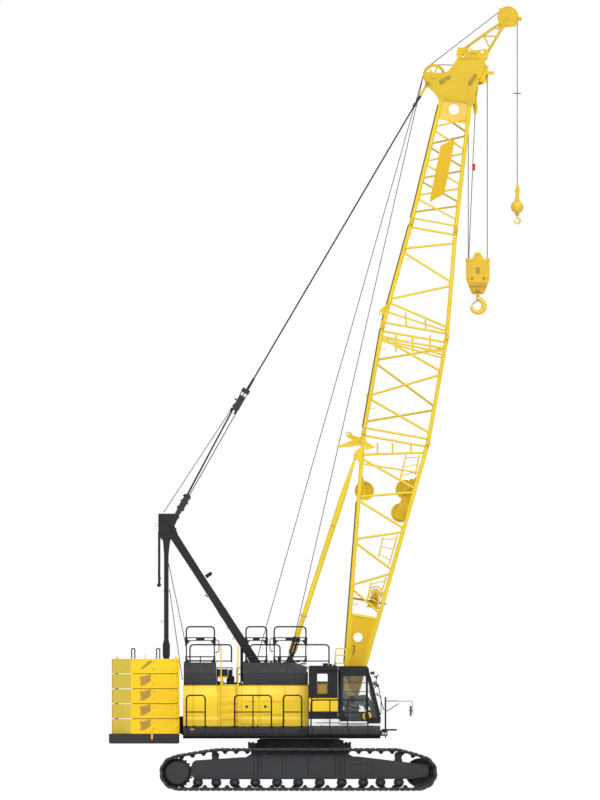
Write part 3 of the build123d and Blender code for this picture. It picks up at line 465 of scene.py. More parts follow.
def ramped(tree, value, low, high, first=0.0, last=1.0):
    return addNode(tree, "ShaderNodeMapRange", Value=value, From_Min=low, From_Max=high, To_Min=first,
                   To_Max=last).outputs["Result"]


def bumpy(tree, height, strength, distance, **links):
    return addNode(tree, "ShaderNodeBump", Height=height, Strength=strength, Distance=distance,
                   **links).outputs["Normal"]


# Sprayed enamel on steel plate: an even gloss coat with faint orange peel about 8 mm across, slow fading over a
# metre or two, thin road dust in soft streaks and a few rubbed spots that show a duller undercoat.
def enamelSteel(name, colour, faded, dustColour, bare, fadeScale, dust, wear, rough, gloss=0.4, coat=0.0):
    material, tree, spot = surfaceNodes(name)
    fade = noise(tree, spot, fadeScale, 3.0)
    streakSpot = addNode(tree, "ShaderNodeMapping", Vector=spot, Scale=(1.0, 1.0, 0.12))
    streaks = noise(tree, streakSpot.outputs["Vector"], 9.0, 5.0)
    rubs = noise(tree, spot, 26.0, 6.0, 0.65)
    peel = noise(tree, spot, 120.0, 2.0)
    base = mixColours(tree, ramped(tree, fade, 0.35, 0.65), colour, faded)
    dusty = mixColours(tree, ramped(tree, streaks, 0.52, 0.8, 0.0, dust), base, dustColour)
    worn = mixColours(tree, ramped(tree, rubs, 0.68, 0.76, 0.0, wear), dusty, bare)
    settings = {"Metallic": 0.0, "IOR": 1.5, "Specular IOR Level": gloss, "Coat Weight": coat, "Coat Roughness": 0.15}
    closeSurface(tree, settings, Base_Color=worn, Roughness=ramped(tree, streaks, 0.3, 0.8, rough, rough + 0.2),
                 Normal=bumpy(tree, peel, 0.05, 0.004))
    return material


# Cast manganese steel of shoes and rollers: dark and coarse, with sand-casting grain about 3 mm across,
# brighter where it is rubbed and brown dust in the hollows.
def castSteel(name, colour, rubbed, dust, rough):
    material, tree, spot = surfaceNodes(name)
    grain = noise(tree, spot, 55.0, 8.0, 0.7)
    patches = noise(tree, spot, 3.5, 4.0)
    pits = addNode(tree, "ShaderNodeTexVoronoi", Vector=spot, Scale=90.0).outputs["Distance"]
    base = mixColours(tree, ramped(tree, grain, 0.45, 0.75), colour, rubbed)
    dusty = mixColours(tree, ramped(tree, patches, 0.48, 0.8, 0.0, 0.45), base, dust)
    coarse = bumpy(tree, grain, 0.25, 0.006)
    closeSurface(tree, {"Metallic": 0.35}, Base_Color=dusty, Normal=bumpy(tree, pits, 0.12, 0.003, Normal=coarse),
                 Roughness=ramped(tree, grain, 0.3, 0.7, rough, rough + 0.2))
    return material


# Greased steel wire rope: six strands laid round at a slant, one turn to 4 diameters of the rope's own UV map
def wireRope(name, colour, groove):
    material, tree, spot = surfaceNodes(name)
    unrolled = addNode(tree, "ShaderNodeUVMap", {"uv_map": "along"})
    parts = addNode(tree, "ShaderNodeSeparateXYZ", Vector=unrolled.outputs["UV"])
    slant = mathNode(tree, "MULTIPLY_ADD", i0=parts.outputs["Y"], i1=9.0, i2=parts.outputs["X"])
    wave = mathNode(tree, "SINE", i0=mathNode(tree, "MULTIPLY", i0=slant, i1=6 * 2 * pi))
    grime = noise(tree, spot, 6.0, 3.0)
    base = mixColours(tree, ramped(tree, wave, -0.6, 0.7), groove, colour)
    greased = mixColours(tree, ramped(tree, grime, 0.5, 0.75, 0.0, 0.4), base, groove)
    closeSurface(tree, {"Metallic": 0.75, "Roughness": 0.42}, Base_Color=greased,
                 Normal=bumpy(tree, wave, 0.6, 0.004))
    return material


# One plain finish with a fine grain, for turned steel, rubber and moulded plastic
def plainFinish(name, colour, second, scale, rough, metal=0.0, bumpDepth=0.001, gloss=0.5):
    material, tree, spot = surfaceNodes(name)
    grain = noise(tree, spot, scale, 5.0, 0.6)
    base = mixColours(tree, ramped(tree, grain, 0.4, 0.7), colour, second)
    closeSurface(tree, {"Metallic": metal, "Specular IOR Level": gloss}, Base_Color=base,
                 Normal=bumpy(tree, grain, 0.3, bumpDepth),
                 Roughness=ramped(tree, grain, 0.3, 0.7, rough - 0.06, rough + 0.08))
    return material


# Woven upholstery cloth, its threads coarse enough to show
def seatCloth(name, hollow, thread):
    material, tree, spot = surfaceNodes(name)
    weft, warp = (addNode(tree, "ShaderNodeTexWave", {"bands_direction": way}, Vector=spot, Scale=40.0,
                          Distortion=0.4).outputs["Fac"] for way in "ZY")
    weave = mathNode(tree, "MULTIPLY", i0=weft, i1=warp)
    closeSurface(tree, {"Roughness": 0.85, "Sheen Weight": 0.3}, Base_Color=mixColours(tree, weave, hollow, thread),
                 Normal=bumpy(tree, weave, 0.4, 0.002))
    return material


# Laminated safety glass with a light grey-green tint and a thin film of dust
def cabGlass(name, tint, film):
    material, tree, spot = surfaceNodes(name)
    dust = noise(tree, spot, 3.0, 4.0)
    closeSurface(tree, {"Roughness": 0.04, "IOR": 1.5}, Alpha=ramped(tree, dust, 0.3, 0.8, 0.03, 0.06),
                 Base_Color=mixColours(tree, ramped(tree, dust, 0.4, 0.8), tint, film))
    return material


# Enamels: colour, faded colour, dust, undercoat, fading per metre, dust, wear, roughness, gloss and coat
yellow = enamelSteel("yellowEnamelOnSteel", "e8c60a", "e0ba12", "d0b468", "b08a2c", 0.7, 0.08, 0.2, 0.32, 0.3, 0.12)
darkGrey = enamelSteel("darkGreyEnamelOnSteel", "29292c", "252528", "4a463f", "3f4042", 0.9, 0.12, 0.25, 0.45, 0.22)
lowerGrey = enamelSteel("dustyGreyEnamelOnSteel", "2d3033", "282a2d", "4f4a42", "404244", 0.8, 0.16, 0.3, 0.5, 0.22)
seamGrey = enamelSteel("shadedGreyEnamelOnSteel", "17181a", "18191b", "4f4a42", "404244", 0.8, 0.08, 0.3, 0.5, 0.1)
# painted light: a lighter grey that offsets the shadow the house casts on the carbody
carbodyLightenedGrey = enamelSteel("lightenedGreyEnamelOnCarbody", "5e6064", "404246", "57524a", "505256", 1.2, 0.15, 0.3, 0.5, 0.22)
black = enamelSteel("blackEnamelOnSteel", "18191b", "141517", "3a3631", "303032", 1.1, 0.1, 0.25, 0.4, 0.2)
gantryBlack = enamelSteel("blackEnamelOnGantry", "1a1a1c", "171719", "35322e", "303032", 1.0, 0.1, 0.2, 0.44, 0.22)
riggingBlack = enamelSteel("blackEnamelOnRigging", "2a2a2c", "222224", "4a463e", "4a4a4c", 2.0, 0.1, 0.3, 0.42, 0.3)
white = enamelSteel("whiteEnamelOnSteel", "f1f1f2", "e8e9ea", "b3aca0", "9a9a9a", 1.2, 0.12, 0.15, 0.38, 0.3)
red = enamelSteel("redEnamelOnSteel", "cc1a22", "b0161c", "8c5a4a", "7a2a2a", 2.0, 0.06, 0.15, 0.4, 0.3)
ochre = enamelSteel("ochreEnamelOnSteel", "8c7030", "9a7c38", "7a6840", "6a5830", 1.0, 0.1, 0.1, 0.5, 0.2)
# painted shade: a duller, darker yellow for the counterweight's turned-in rear faces, which look away from the light
tailShadeYellow = enamelSteel("shadedTailYellowEnamel", "c6ac34", "bca436", "b09a5c", "a07c28", 0.8, 0.1, 0.2, 0.5)
# painted shade: a yellow darker than the house's, since the counterweight stands more in the open than the recessed
# house and would render brighter
ballastShadedYellow = enamelSteel("shadedYellowEnamelOnCounterweight", "dfb808", "d6ac12", "b89a58", "a07c28", 0.5, 0.12, 0.15,
                            0.42, 0.25)
ochreShade = enamelSteel("shadedYellowEnamel", "bd982a", "b08c24", "9a8048", "8a6a28", 2.0, 0.2, 0.2, 0.5, 0.2)
# a darker ochre: painted shade in the hollows of the ballast's lifting pockets and the hook block's recesses, and also
# the colour of the block's band, pin heads and the hook latches
darkOchreAndShade = enamelSteel("darkOchreEnamelAndPaintedShade", "9a7c34", "a08440", "9a8048", "8a6a28", 3.0, 0.3, 0.3, 0.6, 0.2)
castYellow = enamelSteel("yellowEnamelOnCastings", "cfae18", "c4a016", "a8864a", "8a6a28", 2.0, 0.2, 0.2, 0.42, 0.3)
webYellow = enamelSteel("yellowEnamelOnWebs", "c9a300", "c09a02", "a88c40", "8a6a28", 0.6, 0.06, 0.12, 0.36, 0.3)
boomYellow = enamelSteel("yellowEnamelOnBoom", "d2b80c", "caae0e", "d8bc70", "b08a2c", 0.5, 0.06, 0.12, 0.3, 0.35, 0.15)
headYellow = enamelSteel("yellowEnamelOnHead", "c8a91f", "c0a11f", "c8a860", "a8842c", 0.7, 0.08, 0.15, 0.34, 0.3)
bracketYellow = enamelSteel("shadedEnamelOnBrackets", "9b8530", "917c2e", "8a7440", "7a6428", 2.0, 0.2, 0.2, 0.5, 0.2)
paleYellow = enamelSteel("paleYellowEnamel", "dbb850", "d2ae4c", "c8a860", "a8842c", 1.0, 0.12, 0.15, 0.4, 0.25)
blockYellow = enamelSteel("yellowEnamelOnBlock", "d1ae26", "c6a224", "b08a4a", "8a6a28", 1.4, 0.15, 0.2, 0.4, 0.3)
ballYellow = enamelSteel("yellowEnamelOnBall", "cdb63a", "c4aa30", "b89a5a", "8a6a28", 2.0, 0.1, 0.2, 0.35, 0.4, 0.2)
hookYellow = enamelSteel("yellowEnamelOnForging", "d8b838", "ccaa30", "a8864a", "6e5a34", 3.0, 0.1, 0.35, 0.38, 0.4,
                         0.2)
trackSteel = castSteel("castManganeseSteel", "242527", "343537", "403c35", 0.4)
wire = wireRope("greasedWireRope", "8b8d90", "3b3c3e")
pendantWire = wireRope("blackWireRope", "4a4b4d", "1e1f21")
turned = plainFinish("turnedSteel", "8d8f92", "6f7174", 140.0, 0.3, 1.0, 0.0005)
rubber = plainFinish("mouldedRubber", "1b1c1d", "2a2b2c", 90.0, 0.7, 0.0, 0.001, 0.3)
plastic = plainFinish("mouldedPlastic", "26282a", "323436", 220.0, 0.5, 0.0, 0.0006)
palePlastic = plainFinish("paleGreyPlastic", "b9bbbd", "c6c8ca", 60.0, 0.5)
lampLens = plainFinish("ribbedLampLens", "e6e8ea", "cfd4d8", 30.0, 0.1, 0.0, 0.0006, 0.8)
mirrorGlass = plainFinish("silveredMirror", "d4d8dc", "c8ccd0", 5.0, 0.05, 1.0, 0.0001)
cloth = seatCloth("wovenSeatCloth", "3c3e41", "6c6f73")
glass = cabGlass("tintedSafetyGlass", "a6aeae", "ccd1d0")

finishes = {
    "yellow_paint": (yellow, white, red, ochre, tailShadeYellow, ballastShadedYellow, ochreShade, darkOchreAndShade, castYellow, webYellow,
                     boomYellow, headYellow, bracketYellow, paleYellow, blockYellow, ballYellow),
    "dark_grey_paint": (darkGrey, lowerGrey, seamGrey, carbodyLightenedGrey, palePlastic),
    "black_paint": (black, gantryBlack, riggingBlack, rubber, plastic),
    "machined_steel": (turned, mirrorGlass, hookYellow), "track_steel": (trackSteel,),
    "wire_rope": (wire, pendantWire), "seat_fabric": (cloth,), "cab_glass": (glass, lampLens),
}
{finish.name: slot for slot, members in finishes.items() for finish in members}
print("materials ready")


# Crawlers

track = {
    "rear": -3479, "front": 3416, "endRadius": 517, "top": 1221, "thickness": 98, "carrierX": (-2388, 2803),
    "carrierRadius": 110, "shoes": 54, "width": 1070, "gap": 20, "plate": 46, "lugHeight": 172,
    "rollerX": (-2885, -2363, -1843, -1255, -636, -37, 577, 1201, 1809, 2298, 2820), "rollerRadius": 145,
}


def beltRuns(circles):
    runs = []
    for (x0, z0, r0), (x1, z1, r1) in zip(circles, circles[1:] + circles[:1]):
        span = hypot(x1 - x0, z1 - z0)
        heading = atan2(z1 - z0, x1 - x0) + asin((r0 - r1) / span)
        normal = heading - pi / 2
        runs.append((x0 + r0 * cos(normal), z0 + r0 * sin(normal), heading, sqrt(span ** 2 - (r1 - r0) ** 2)))
    path = []
    for number, (x, z, heading, length) in enumerate(runs):
        path.append((x, z, heading, length, 0))
        cx, cz, radius = circles[(number + 1) % len(circles)]
        turn = (runs[(number + 1) % len(runs)][2] - heading) % (2 * pi)
        path.append((cx, cz, heading, radius * turn, radius))
    return path


def onBelt(path, length):
    length %= sum(part[3] for part in path)
    for x, z, heading, extent, radius in path:
        if length <= extent:
            break
        length -= extent
    if not radius:
        return x + length * cos(heading), z + length * sin(heading)
    normal = heading - pi / 2 + length / radius
    return x + radius * cos(normal), z + radius * sin(normal)


def trackBelt():
    reach = track["carrierRadius"] + track["thickness"]
    return beltRuns([(track["rear"], track["endRadius"], track["endRadius"]),
                     (track["front"], track["endRadius"], track["endRadius"]),
                     (track["carrierX"][1], track["top"] - reach, reach),
                     (track["carrierX"][0], track["top"] - reach, reach)])


def shoeShape(pitch):  # x along the track, z inwards from the tread
    half, wide, plate = (pitch - track["gap"]) / 2, track["width"] / 2, track["plate"]
    shape = newShape()
    tread = [(-half, 14), (-half + 16, 0), (-30, 0), (-22, 8), (22, 8), (30, 0), (half - 16, 0), (half, 14),
             (half, plate), (-half, plate)]
    addPlate(shape, tread, -wide, wide)
    for side in (-1, 1):
        for inner, outer in ((0.60, 0.66), (0.80, 0.86), (0.95, 0.99)):
            addPlate(shape, [(-half + 12, plate - 4), (half - 12, plate - 4), (half - 40, plate + 26),
                             (-half + 40, plate + 26)],
                     side * wide * inner, side * wide * outer)
        rail = [(-half - 4, plate - 6), (half + 4, plate - 6), (half - 6, track["thickness"]),
                (-half + 6, track["thickness"])]
        addPlate(shape, rail, 95, 205, side)
        for x, y0, y1 in ((-half + 2, 215, 300), (half - 2, 302, 380), (-half + 2, 382, 450)):
            addRoll(shape, x, plate + 12, 30, y0, y1, 14, side)
    lug = [(-95, plate - 6), (95, plate - 6), (82, 100), (34, track["lugHeight"] - 8), (22, track["lugHeight"]),
           (-22, track["lugHeight"]), (-34, track["lugHeight"] - 8), (-82, 100)]
    addPlate(shape, lug, -62, 62)
    return shape


def makeTracks():
    path = trackBelt()
    pitch = sum(part[3] for part in path) / track["shoes"]
    for side, word in ((-1, "right"), (1, "left")):
        spots = []
        for number in range(track["shoes"]):
            (x0, z0), (x1, z1) = onBelt(path, number * pitch), onBelt(path, (number + 1) * pitch)
            spots.append((((x0 + x1) / 2, side * crane["gauge"] / 2, (z0 + z1) / 2), (0, -atan2(z1 - z0, x1 - x0), 0)))
        addRepeats(f"trackShoes.{word}", shoeShape(pitch), spots, trackSteel, "crawlers", (f"track_{word}",), bevel=5)


def makeRunningGear():
    rollers, wheels, pins = newShapes(3)
    bolts = []
    zRoller = track["rollerRadius"] + track["thickness"] + crane["seat"]
    zCarrier = track["top"] - track["thickness"] - track["carrierRadius"] - 6
    for side in (-1, 1):
        middle = side * crane["gauge"] / 2
        for x in track["rollerX"]:
            profile = [(40, -215), (100, -215), (118, -205), (118, -178), (146, -168), (145, -90), (110, -78),
                       (84, -70), (84, 70), (110, 78), (145, 90), (146, 168), (118, 178), (118, 205), (100, 215),
                       (40, 215)]
            addLathe(rollers, (x, middle, zRoller), across, profile, 36)
            for face in (-1, 1):
                addLathe(rollers, (x, middle, zRoller), (0, face, 0),
                         [(4, 200), (62, 200), (62, 332), (50, 342), (4, 342)], 24)
                for turn in range(6):
                    a = pi * (turn / 3 + 1 / 6)
                    bolts.append(((x + 84 * cos(a), middle + face * 215, zRoller + 84 * sin(a)),
                                  outward(face), 0.6))
        for x in track["carrierX"]:
            profile = [(30, -200), (104, -200), (110, -190), (110, -60), (80, -50), (80, 50), (110, 60), (110, 190),
                       (104, 200), (30, 200)]
            addLathe(rollers, (x, middle, zCarrier), across, profile, 32)
        # Drive sprocket: toothed rings either side, hub, and the planetary final drive's cover
        x, z = track["rear"], track["endRadius"]
        for y in (-150, 150):
            addLathe(wheels, (x, middle + y, z), across,
                     [(200, -40), (395, -40), (408, -28), (408, 28), (395, 40), (200, 40)], 54)
            for tooth in range(20):
                a = 2 * pi * tooth / 20
                dx, dz = cos(a), sin(a)
                root = [(x + 398 * dx - 34 * dz, z + 398 * dz + 34 * dx),
                        (x + 398 * dx + 34 * dz, z + 398 * dz - 34 * dx),
                        (x + 452 * dx + 15 * dz, z + 452 * dz - 15 * dx),
                        (x + 452 * dx - 15 * dz, z + 452 * dz + 15 * dx)]
                addPlate(wheels, root, middle + y - 30, middle + y + 30)
        addRoll(wheels, x, z, 230, middle - 120, middle + 120, 40)
        cover = [(10, 100), (352, 100), (352, 300), (330, 330), (326, 352), (318, 362), (12, 366)]
        addLathe(wheels, (x, middle, z), (0, side, 0), cover, 60)
        addLathe(wheels, (x, middle, z), (0, side, 0), [(10, -330), (280, -330), (300, -300), (300, -90), (10, -90)],
                 48)
        addBox(wheels, x + 20, -2960, middle - side * 310, middle - side * 190, 430, 700)
        for turn in range(18):
            a = 2 * pi * turn / 18
            bolts.append(((x + 338 * cos(a), middle + side * 326, z + 338 * sin(a)), outward(side), 0.7))
        # Idler: rim, dished web and hub
        x = track["front"]
        profile = [(60, -160), (140, -160), (150, -60), (300, -34), (372, -60), (376, -155), (414, -160), (416, -150),
                   (416, -80), (385, -66), (385, 66), (416, 80), (416, 150), (414, 160), (376, 155), (372, 60),
                   (300, 34), (150, 60), (140, 160), (60, 160)]
        addLathe(wheels, (x, middle, z), across, profile, 54)
        for face in (-1, 1):
            addLathe(pins, (x, middle, z), (0, face, 0),
                     [(4, 100), (90, 100), (90, 305), (120, 306), (120, 314), (104, 318), (4, 318)], 36)
            for turn in range(8):
                a = pi * turn / 4
                bolts.append(((x + 112 * cos(a), middle + face * 314, z + 112 * sin(a)), outward(face), 0.8))
    addPiece("rollersOfTracks", rollers, trackSteel, "crawlers", ("track_rollers",), smooth=40)
    addPiece("sprocketsAndIdlers", wheels, lowerGrey, "crawlers", ("drive_sprockets", "idler_wheels"), bevel=3)
    addPiece("idlerAxles", pins, lowerGrey, "crawlers", bevel=3)
    addRepeats("runningGearBolts", boltHead(16, 14), bolts, lowerGrey, "crawlers")


def makeCrawlerFrames():
    # outline of the side beam, with its raised carrier posts and the saddle over the axles
    side = [(-3075, 470), (-3040, 400), (-2960, 327), (3180, 340), (3560, 387), (3667, 480), (3667, 741), (1700, 976),
            (1519, 983), (1330, 1085), (-1330, 1085), (-1519, 960), (-1690, 957), (-2960, 870), (-3040, 800),
            (-3075, 700)]
    core = [(-2900, 400), (2980, 400), (2980, 800), (1700, 940), (1500, 960), (1330, 1066), (-1330, 1066),
            (-1519, 940), (-2900, 860)]
    trims, frames, seams = newShapes(3)
    bolts = []
    for way in (-1, 1):
        middle = way * crane["gauge"] / 2
        addPlate(frames, core, middle - 262, middle + 262)
        for face in (-1, 1):
            inner, outer = middle + face * 262, middle + face * 310
            addPad(frames, side, inner, outer, [(x, 243, 62) for x in track["rollerX"]])
            skin = middle + face * 310
            for x0, x1 in ((-1296, -1210), (-1140, -1080), (1030, 1090), (1190, 1270)):
                addBox(trims, x0, x1, skin, skin + face * 10, 420, 1000)
            addBox(trims, -2950, 3600, skin, skin + face * 14, 395, 425)
            # shaded weld seams, the edges of the panel ahead of the middle, and the lip under the saddle
            for x in (-1303, -1203, -1147, -1073, -486, 234, 1022, 1098, 1182, 1278):
                addBox(seams, x - 8, x + 8, skin, skin + face * 12, 425, 1000)
            for x0, x1, z0, z1 in ((1480, 2100, 458, 466), (1480, 2100, 758, 766), (1476, 1484, 462, 762),
                                   (2096, 2104, 462, 762)):
                addBox(seams, x0, x1, skin, skin + face * 5, z0, z1)
            addBox(seams, -1300, 1300, skin, skin + face * 6, 1030, 1060)
            addPanel(trims, 1300, 3560, 560, 590, skin, skin + face * 4)
            addPlate(trims, [(-2900, 500), (-2330, 640), (-1980, 545), (-1740, 660), (-1320, 500)], skin,
                     skin + face * 3)
            for x in (-380, 330):
                addBox(trims, x - 26, x + 26, skin, skin + face * 16, 850, 1000)
                addBox(trims, x - 12, x + 12, skin, skin + face * 10, 420, 850)
                bolts += [((x, skin + face * 16, z), outward(face), 1.4) for z in (880, 960)]
            for x in track["rollerX"]:  # saddles that hold each roller's shaft
                addPlate(trims, shifted(x, 0, (-92, 360), (-92, 262), (-60, 190), (60, 190), (92, 262), (92, 360)),
                         middle + face * 222, middle + face * 250)
                bolts += [((x + dx, skin, 356), outward(face), 1.0) for dx in (-60, 60)]
            for x in track["carrierX"]:
                addPlate(trims, [(x - 130, 820), (x + 130, 820), (x + 60, 1060), (x - 60, 1060)], middle + face * 222,
                         middle + face * 262)
                addRoll(trims, x, 1007, 48, middle + face * 190, middle + face * 275, 24)
        bolts += [((x, middle + face * 262, 480), outward(face), 1.2) for x in (-2930,) for face in (-1, 1)]
        addPanel(trims, 2980, 3020, 400, 800, middle - 250, middle + 250)
        # travel motor behind the drive, and the track tensioner's rod and spring housing
        addRoll(trims, track["rear"] + 30, 517, 170, middle - way * 90, middle - way * 430, 32)
        addBox(trims, track["rear"] - 60, track["rear"] + 180, middle - way * 430, middle - way * 500, 430, 620)
        addBox(trims, 2700, 2960, middle - 150, middle + 150, 470, 640)
    addPiece("crawlerFrames", frames, lowerGrey, "crawlers", ("crawler_frame_right", "crawler_frame_left"), bevel=6)
    addPiece("crawlerFrameSeams", seams, seamGrey, "crawlers")
    addPiece("crawlerFrameTrim", trims, lowerGrey, "crawlers", bevel=3)
    addRepeats("crawlerFrameBolts", boltHead(18, 16), bolts, lowerGrey, "crawlers")


carbody = {"stepsFrom": 1500, "trim": 85, "stepX": (-1378, 1378), "boltRadius": 1155, "bolts": 60}


def makeCarbody():
    # the carbody's grey is lightened, painted light against the house's shadow
    body = refine("carbody", carbodyLightenedGrey, 8)
    # the steps beside the ring end 85 mm shorter than the plain CAD blocks
    for vertex in body.data.vertices:
        along = vertex.co.x * 1000 - crane["slewX"]
        if abs(along) > carbody["stepsFrom"]:
            vertex.co.x -= copysign(carbody["trim"] * toMetres, along)
    ring, steps = newShapes(2)
    bolts = []
    addLathe(ring, (0, 0, 0), upwards, [(900, 1395), (1180, 1395), (1180, 1448), (1120, 1449), (1120, 1466),
                                        (1135, 1467), (1135, 1490), (900, 1490)], 96)
    reach = carbody["boltRadius"]
    bolts += [((reach * cos(a), reach * sin(a), 1448), upright) for a in around(carbody["bolts"])]
    for side in (-1, 1):
        for x in carbody["stepX"]:
            tip, root = (x - 91, x + 171) if x < 0 else (x - 171, x + 91)
            addBox(steps, tip, root, 905, 1195, 1338, 1366, side)
            bolts += [((x + dx, side * y, 1366), upright, 1.6) for dx in (-50, 50) for y in (1000, 1120)]
        addBox(steps, -620, 640, 1302, 1316, 700, 1180, side)  # stiffening plate on the middle body
        for x in (-460, 0, 470):
            addBox(steps, x - 14, x + 14, 1302, 1350, 660, 1240, side)
        addRoll(steps, -230, 1290, 42, 1316, 1345, 24, side)
    addPiece("slewingRing", ring, carbodyLightenedGrey, "crawlers", ("slewing_ring",), smooth=30)
    addPiece("carbodyPlates", steps, carbodyLightenedGrey, "crawlers", bevel=4)
    addRepeats("carbodyBolts", boltHead(18, 20), bolts, carbodyLightenedGrey, "crawlers")


makeTracks()
makeRunningGear()
makeCrawlerFrames()
makeCarbody()
print("crawlers ready")


# Deck, side decks, engine house and hoods

upper = {
    "deckRear": -3309, "deckFront": 2298, "deckBottom": 1491, "skirtTop": 1837, "skirtOuter": 2400,
    "postFeet": (-3175, -2680, -1820, -1295, -775, -443, 76, 360, 880, 1400, 1945), "stepOuter": 2760,
    "cabinBack": 261, "houseFront": 256, "leftHouseFront": 1033, "houseInner": 820, "houseOuter": 1600,
    "houseTop": 3025, "hoodTop": 3652, "hoods": ((-3289, -2363), (-1613, 241)), "doorBottom": 1900, "doorTop": 2860,
    "doors": (("house_door_rear", "rear_service_door", -1639, -1180),
              ("house_door_front", "front_service_door", -1110, -440)),
    "railRadius": 21,
}


def makeDecks():
    refine("main_frame", darkGrey, 8)
    skirts, lips, marks = newShapes(3)
    bolts = []
    rear, front, bottom, top, outer = (upper[k] for k in ("deckRear", "deckFront", "deckBottom", "skirtTop",
                                                          "skirtOuter"))
    for side in (-1, 1):
        section = [(1605, bottom + 60), (outer - 25, bottom + 60), (outer, bottom + 130), (outer, top - 40),
                   (outer - 40, top), (1605, top)]
        addRun(skirts, section, rear, front, side)
        addRun(lips, [(side * y, z) for y, z in ((1605, bottom), (outer - 60, bottom), (outer - 26, bottom + 58),
                                                 (1605, bottom + 58))],
               rear + 10, front - 20)
        for x0, x1 in ((-3200, -2400), (-2320, -1500), (-1420, -600), (-520, 200), (300, 1100), (1180, 2200)):
            if side < 0 and x0 > 260:
                continue
            addBox(skirts, x0, x1, outer, outer + 5, bottom + 150, top - 60, side)
            addBox(lips, x1 + 34, x1 + 46, outer, outer + 3, bottom + 130, top - 40, side)
            bolts += [((x, side * (outer + 5), z), outward(side), 0.8)
                      for x in (x0 + 50, x1 - 50) for z in (bottom + 185, top - 95)]
        addBox(lips, rear + 30, front - 30, outer - 400, outer - 80, top, top + 4, side)
        for x in (-2980, -1180, 620, 2050):
            addBox(lips, x - 34, x + 34, outer - 110, outer - 20, top, top + 24, side)
        addBox(skirts, rear + 200, front - 200, 1560.3, 1620, bottom + 10, bottom + 100, side)
    # the wider step below the cab and the cabin behind it, with its rolled upper edge
    outer = upper["stepOuter"]
    section = [(2395, bottom + 62), (outer - 60, bottom + 62), (outer - 8, bottom + 120), (outer, top - 70),
               (outer - 30, top), (2395, top)]
    addRun(skirts, [(-y, z) for y, z in section], upper["cabinBack"], front)
    addRun(lips, [(-y, z) for y, z in ((2395, bottom + 4), (outer - 90, bottom + 4), (outer - 62, bottom + 60),
                                       (2395, bottom + 60))],
           upper["cabinBack"] + 10, front - 20)
    for x in (740, 1220, 1700):
        addBox(lips, x - 5, x + 5, -outer, -outer - 3, bottom + 130, top - 74)
    addBox(lips, -60, 200, -2405, -2412, bottom + 165, top - 75)
    addBox(marks, -3100, -2990, -2405, -2409, 1738, 1762)
    addPiece("sideDecks", skirts, darkGrey, "upperworks", ("side_decks",), bevel=6)
    # feet of the hand rails' posts, bolted down the skirt's face
    feet = newShape()
    for x in upper["postFeet"]:
        for side in (-1, 1):
            face = upper["stepOuter"] if side < 0 and x > upper["cabinBack"] else upper["skirtOuter"]
            addBox(feet, x - 15, x + 15, face - 4, face + 14, bottom + 120, top - 40, side)
    addPiece("railPostFeet", feet, black, "upperworks", bevel=2)
    addPiece("deckLips", lips, black, "upperworks", bevel=3)
    addPiece("blankTag", marks, yellow, "upperworks")
    addRepeats("deckBolts", boltHead(15, 12), bolts, darkGrey, "upperworks")


def houseSection(side, depth=0.0):  # y, z points of the pressed side wall, top band leaning in
    outer, top = upper["houseOuter"] - depth, upper["houseTop"]
    wall = [(outer + 20, upper["skirtTop"] + 0.3), (outer + 14, 1990), (outer + 12, 2030), (outer + 4, 2056),
            (outer - 18, 2082), (outer - 24, 2112), (outer - 12, 2400), (outer - 14, 2600), (outer - 30, 2680),
            (outer - 62, 2790), (outer - 128, top - 8), (outer - 140, top)]
    return [(side * y, z) for y, z in wall]


def makeHouse():
    seams = (-3022, -2334, -1809, -1639, -1180, -1110, -440)
    for side, node, front in ((-1, "house_right", upper["houseFront"]), (1, "house_left", upper["leftHouseFront"])):
        shell, seamShape, fittings = newShapes(3)
        bolts = []
        inner = [(side * upper["houseInner"], upper["houseTop"]), (side * upper["houseInner"], deckFloor),
                 (side * 1560, deckFloor), (side * 1560, upper["skirtTop"] + 0.3)]
        edges = [upper["deckRear"]] + [x for x in (seams if side < 0 else (-2800, -1900, -1000, -100, 500))] + [front]
        for x0, x1 in zip(edges, edges[1:]):
            addRun(shell, inner + houseSection(side), x0 + 3, x1 - 3)
        addRun(seamShape, inner + houseSection(side, 10), upper["deckRear"] + 5, front - 5)
        for x in edges[1:-1]:
            bolts += [((x + dx, side * (upper["houseOuter"] - (38 if z > 2700 else 11)), z), outward(side), 0.55)
                      for dx in (-46, 46) for z in (1930, 2250, 2560)]
        if side < 0:  # hinge brackets of the two service doors, each with its upright pin
            for _, _, x0, x1 in upper["doors"]:
                x, y = x1 + 16, -upper["houseOuter"] - 20
                for z in (upper["doorBottom"] + 60, upper["doorTop"] - 180):
                    addBox(fittings, x - 10, x + 10, y, -upper["houseOuter"] + 16, z, z + 40)
                    addRod(fittings, (x, y, z), (x, y, z + 124), 7.5, 16)
            for x, z in ((-3115, 2400), (-3115, 1972), (-300, 2400), (-300, 1972), (60, 2400), (60, 1972), (160, 2300)):
                addRoll(fittings, x, z, 16, 1585, 1602, 16, side)
            addBox(fittings, -260, 120, 1586, 1592, 2580, 2592, side)
        else:  # louvres of the radiator side
            for x0, x1 in ((-2700, -2000), (-1800, -1100)):
                for step in range(13):
                    z = 2050 + step * 44
                    addRun(fittings, [(side * 1584, z), (side * 1606, z - 6), (side * 1606, z + 4),
                                      (side * 1584, z + 30)], x0, x1)
        addPiece(f"{node}Panels", shell, yellow, "upperworks", (node,), bevel=5)
        addPiece(f"{node}Seams", seamShape, black, "upperworks")
        addPiece(f"{node}Fittings", fittings, yellow, "upperworks", bevel=2)
        addRepeats(f"{node}Screws", boltHead(11, 6), bolts, yellow, "upperworks")


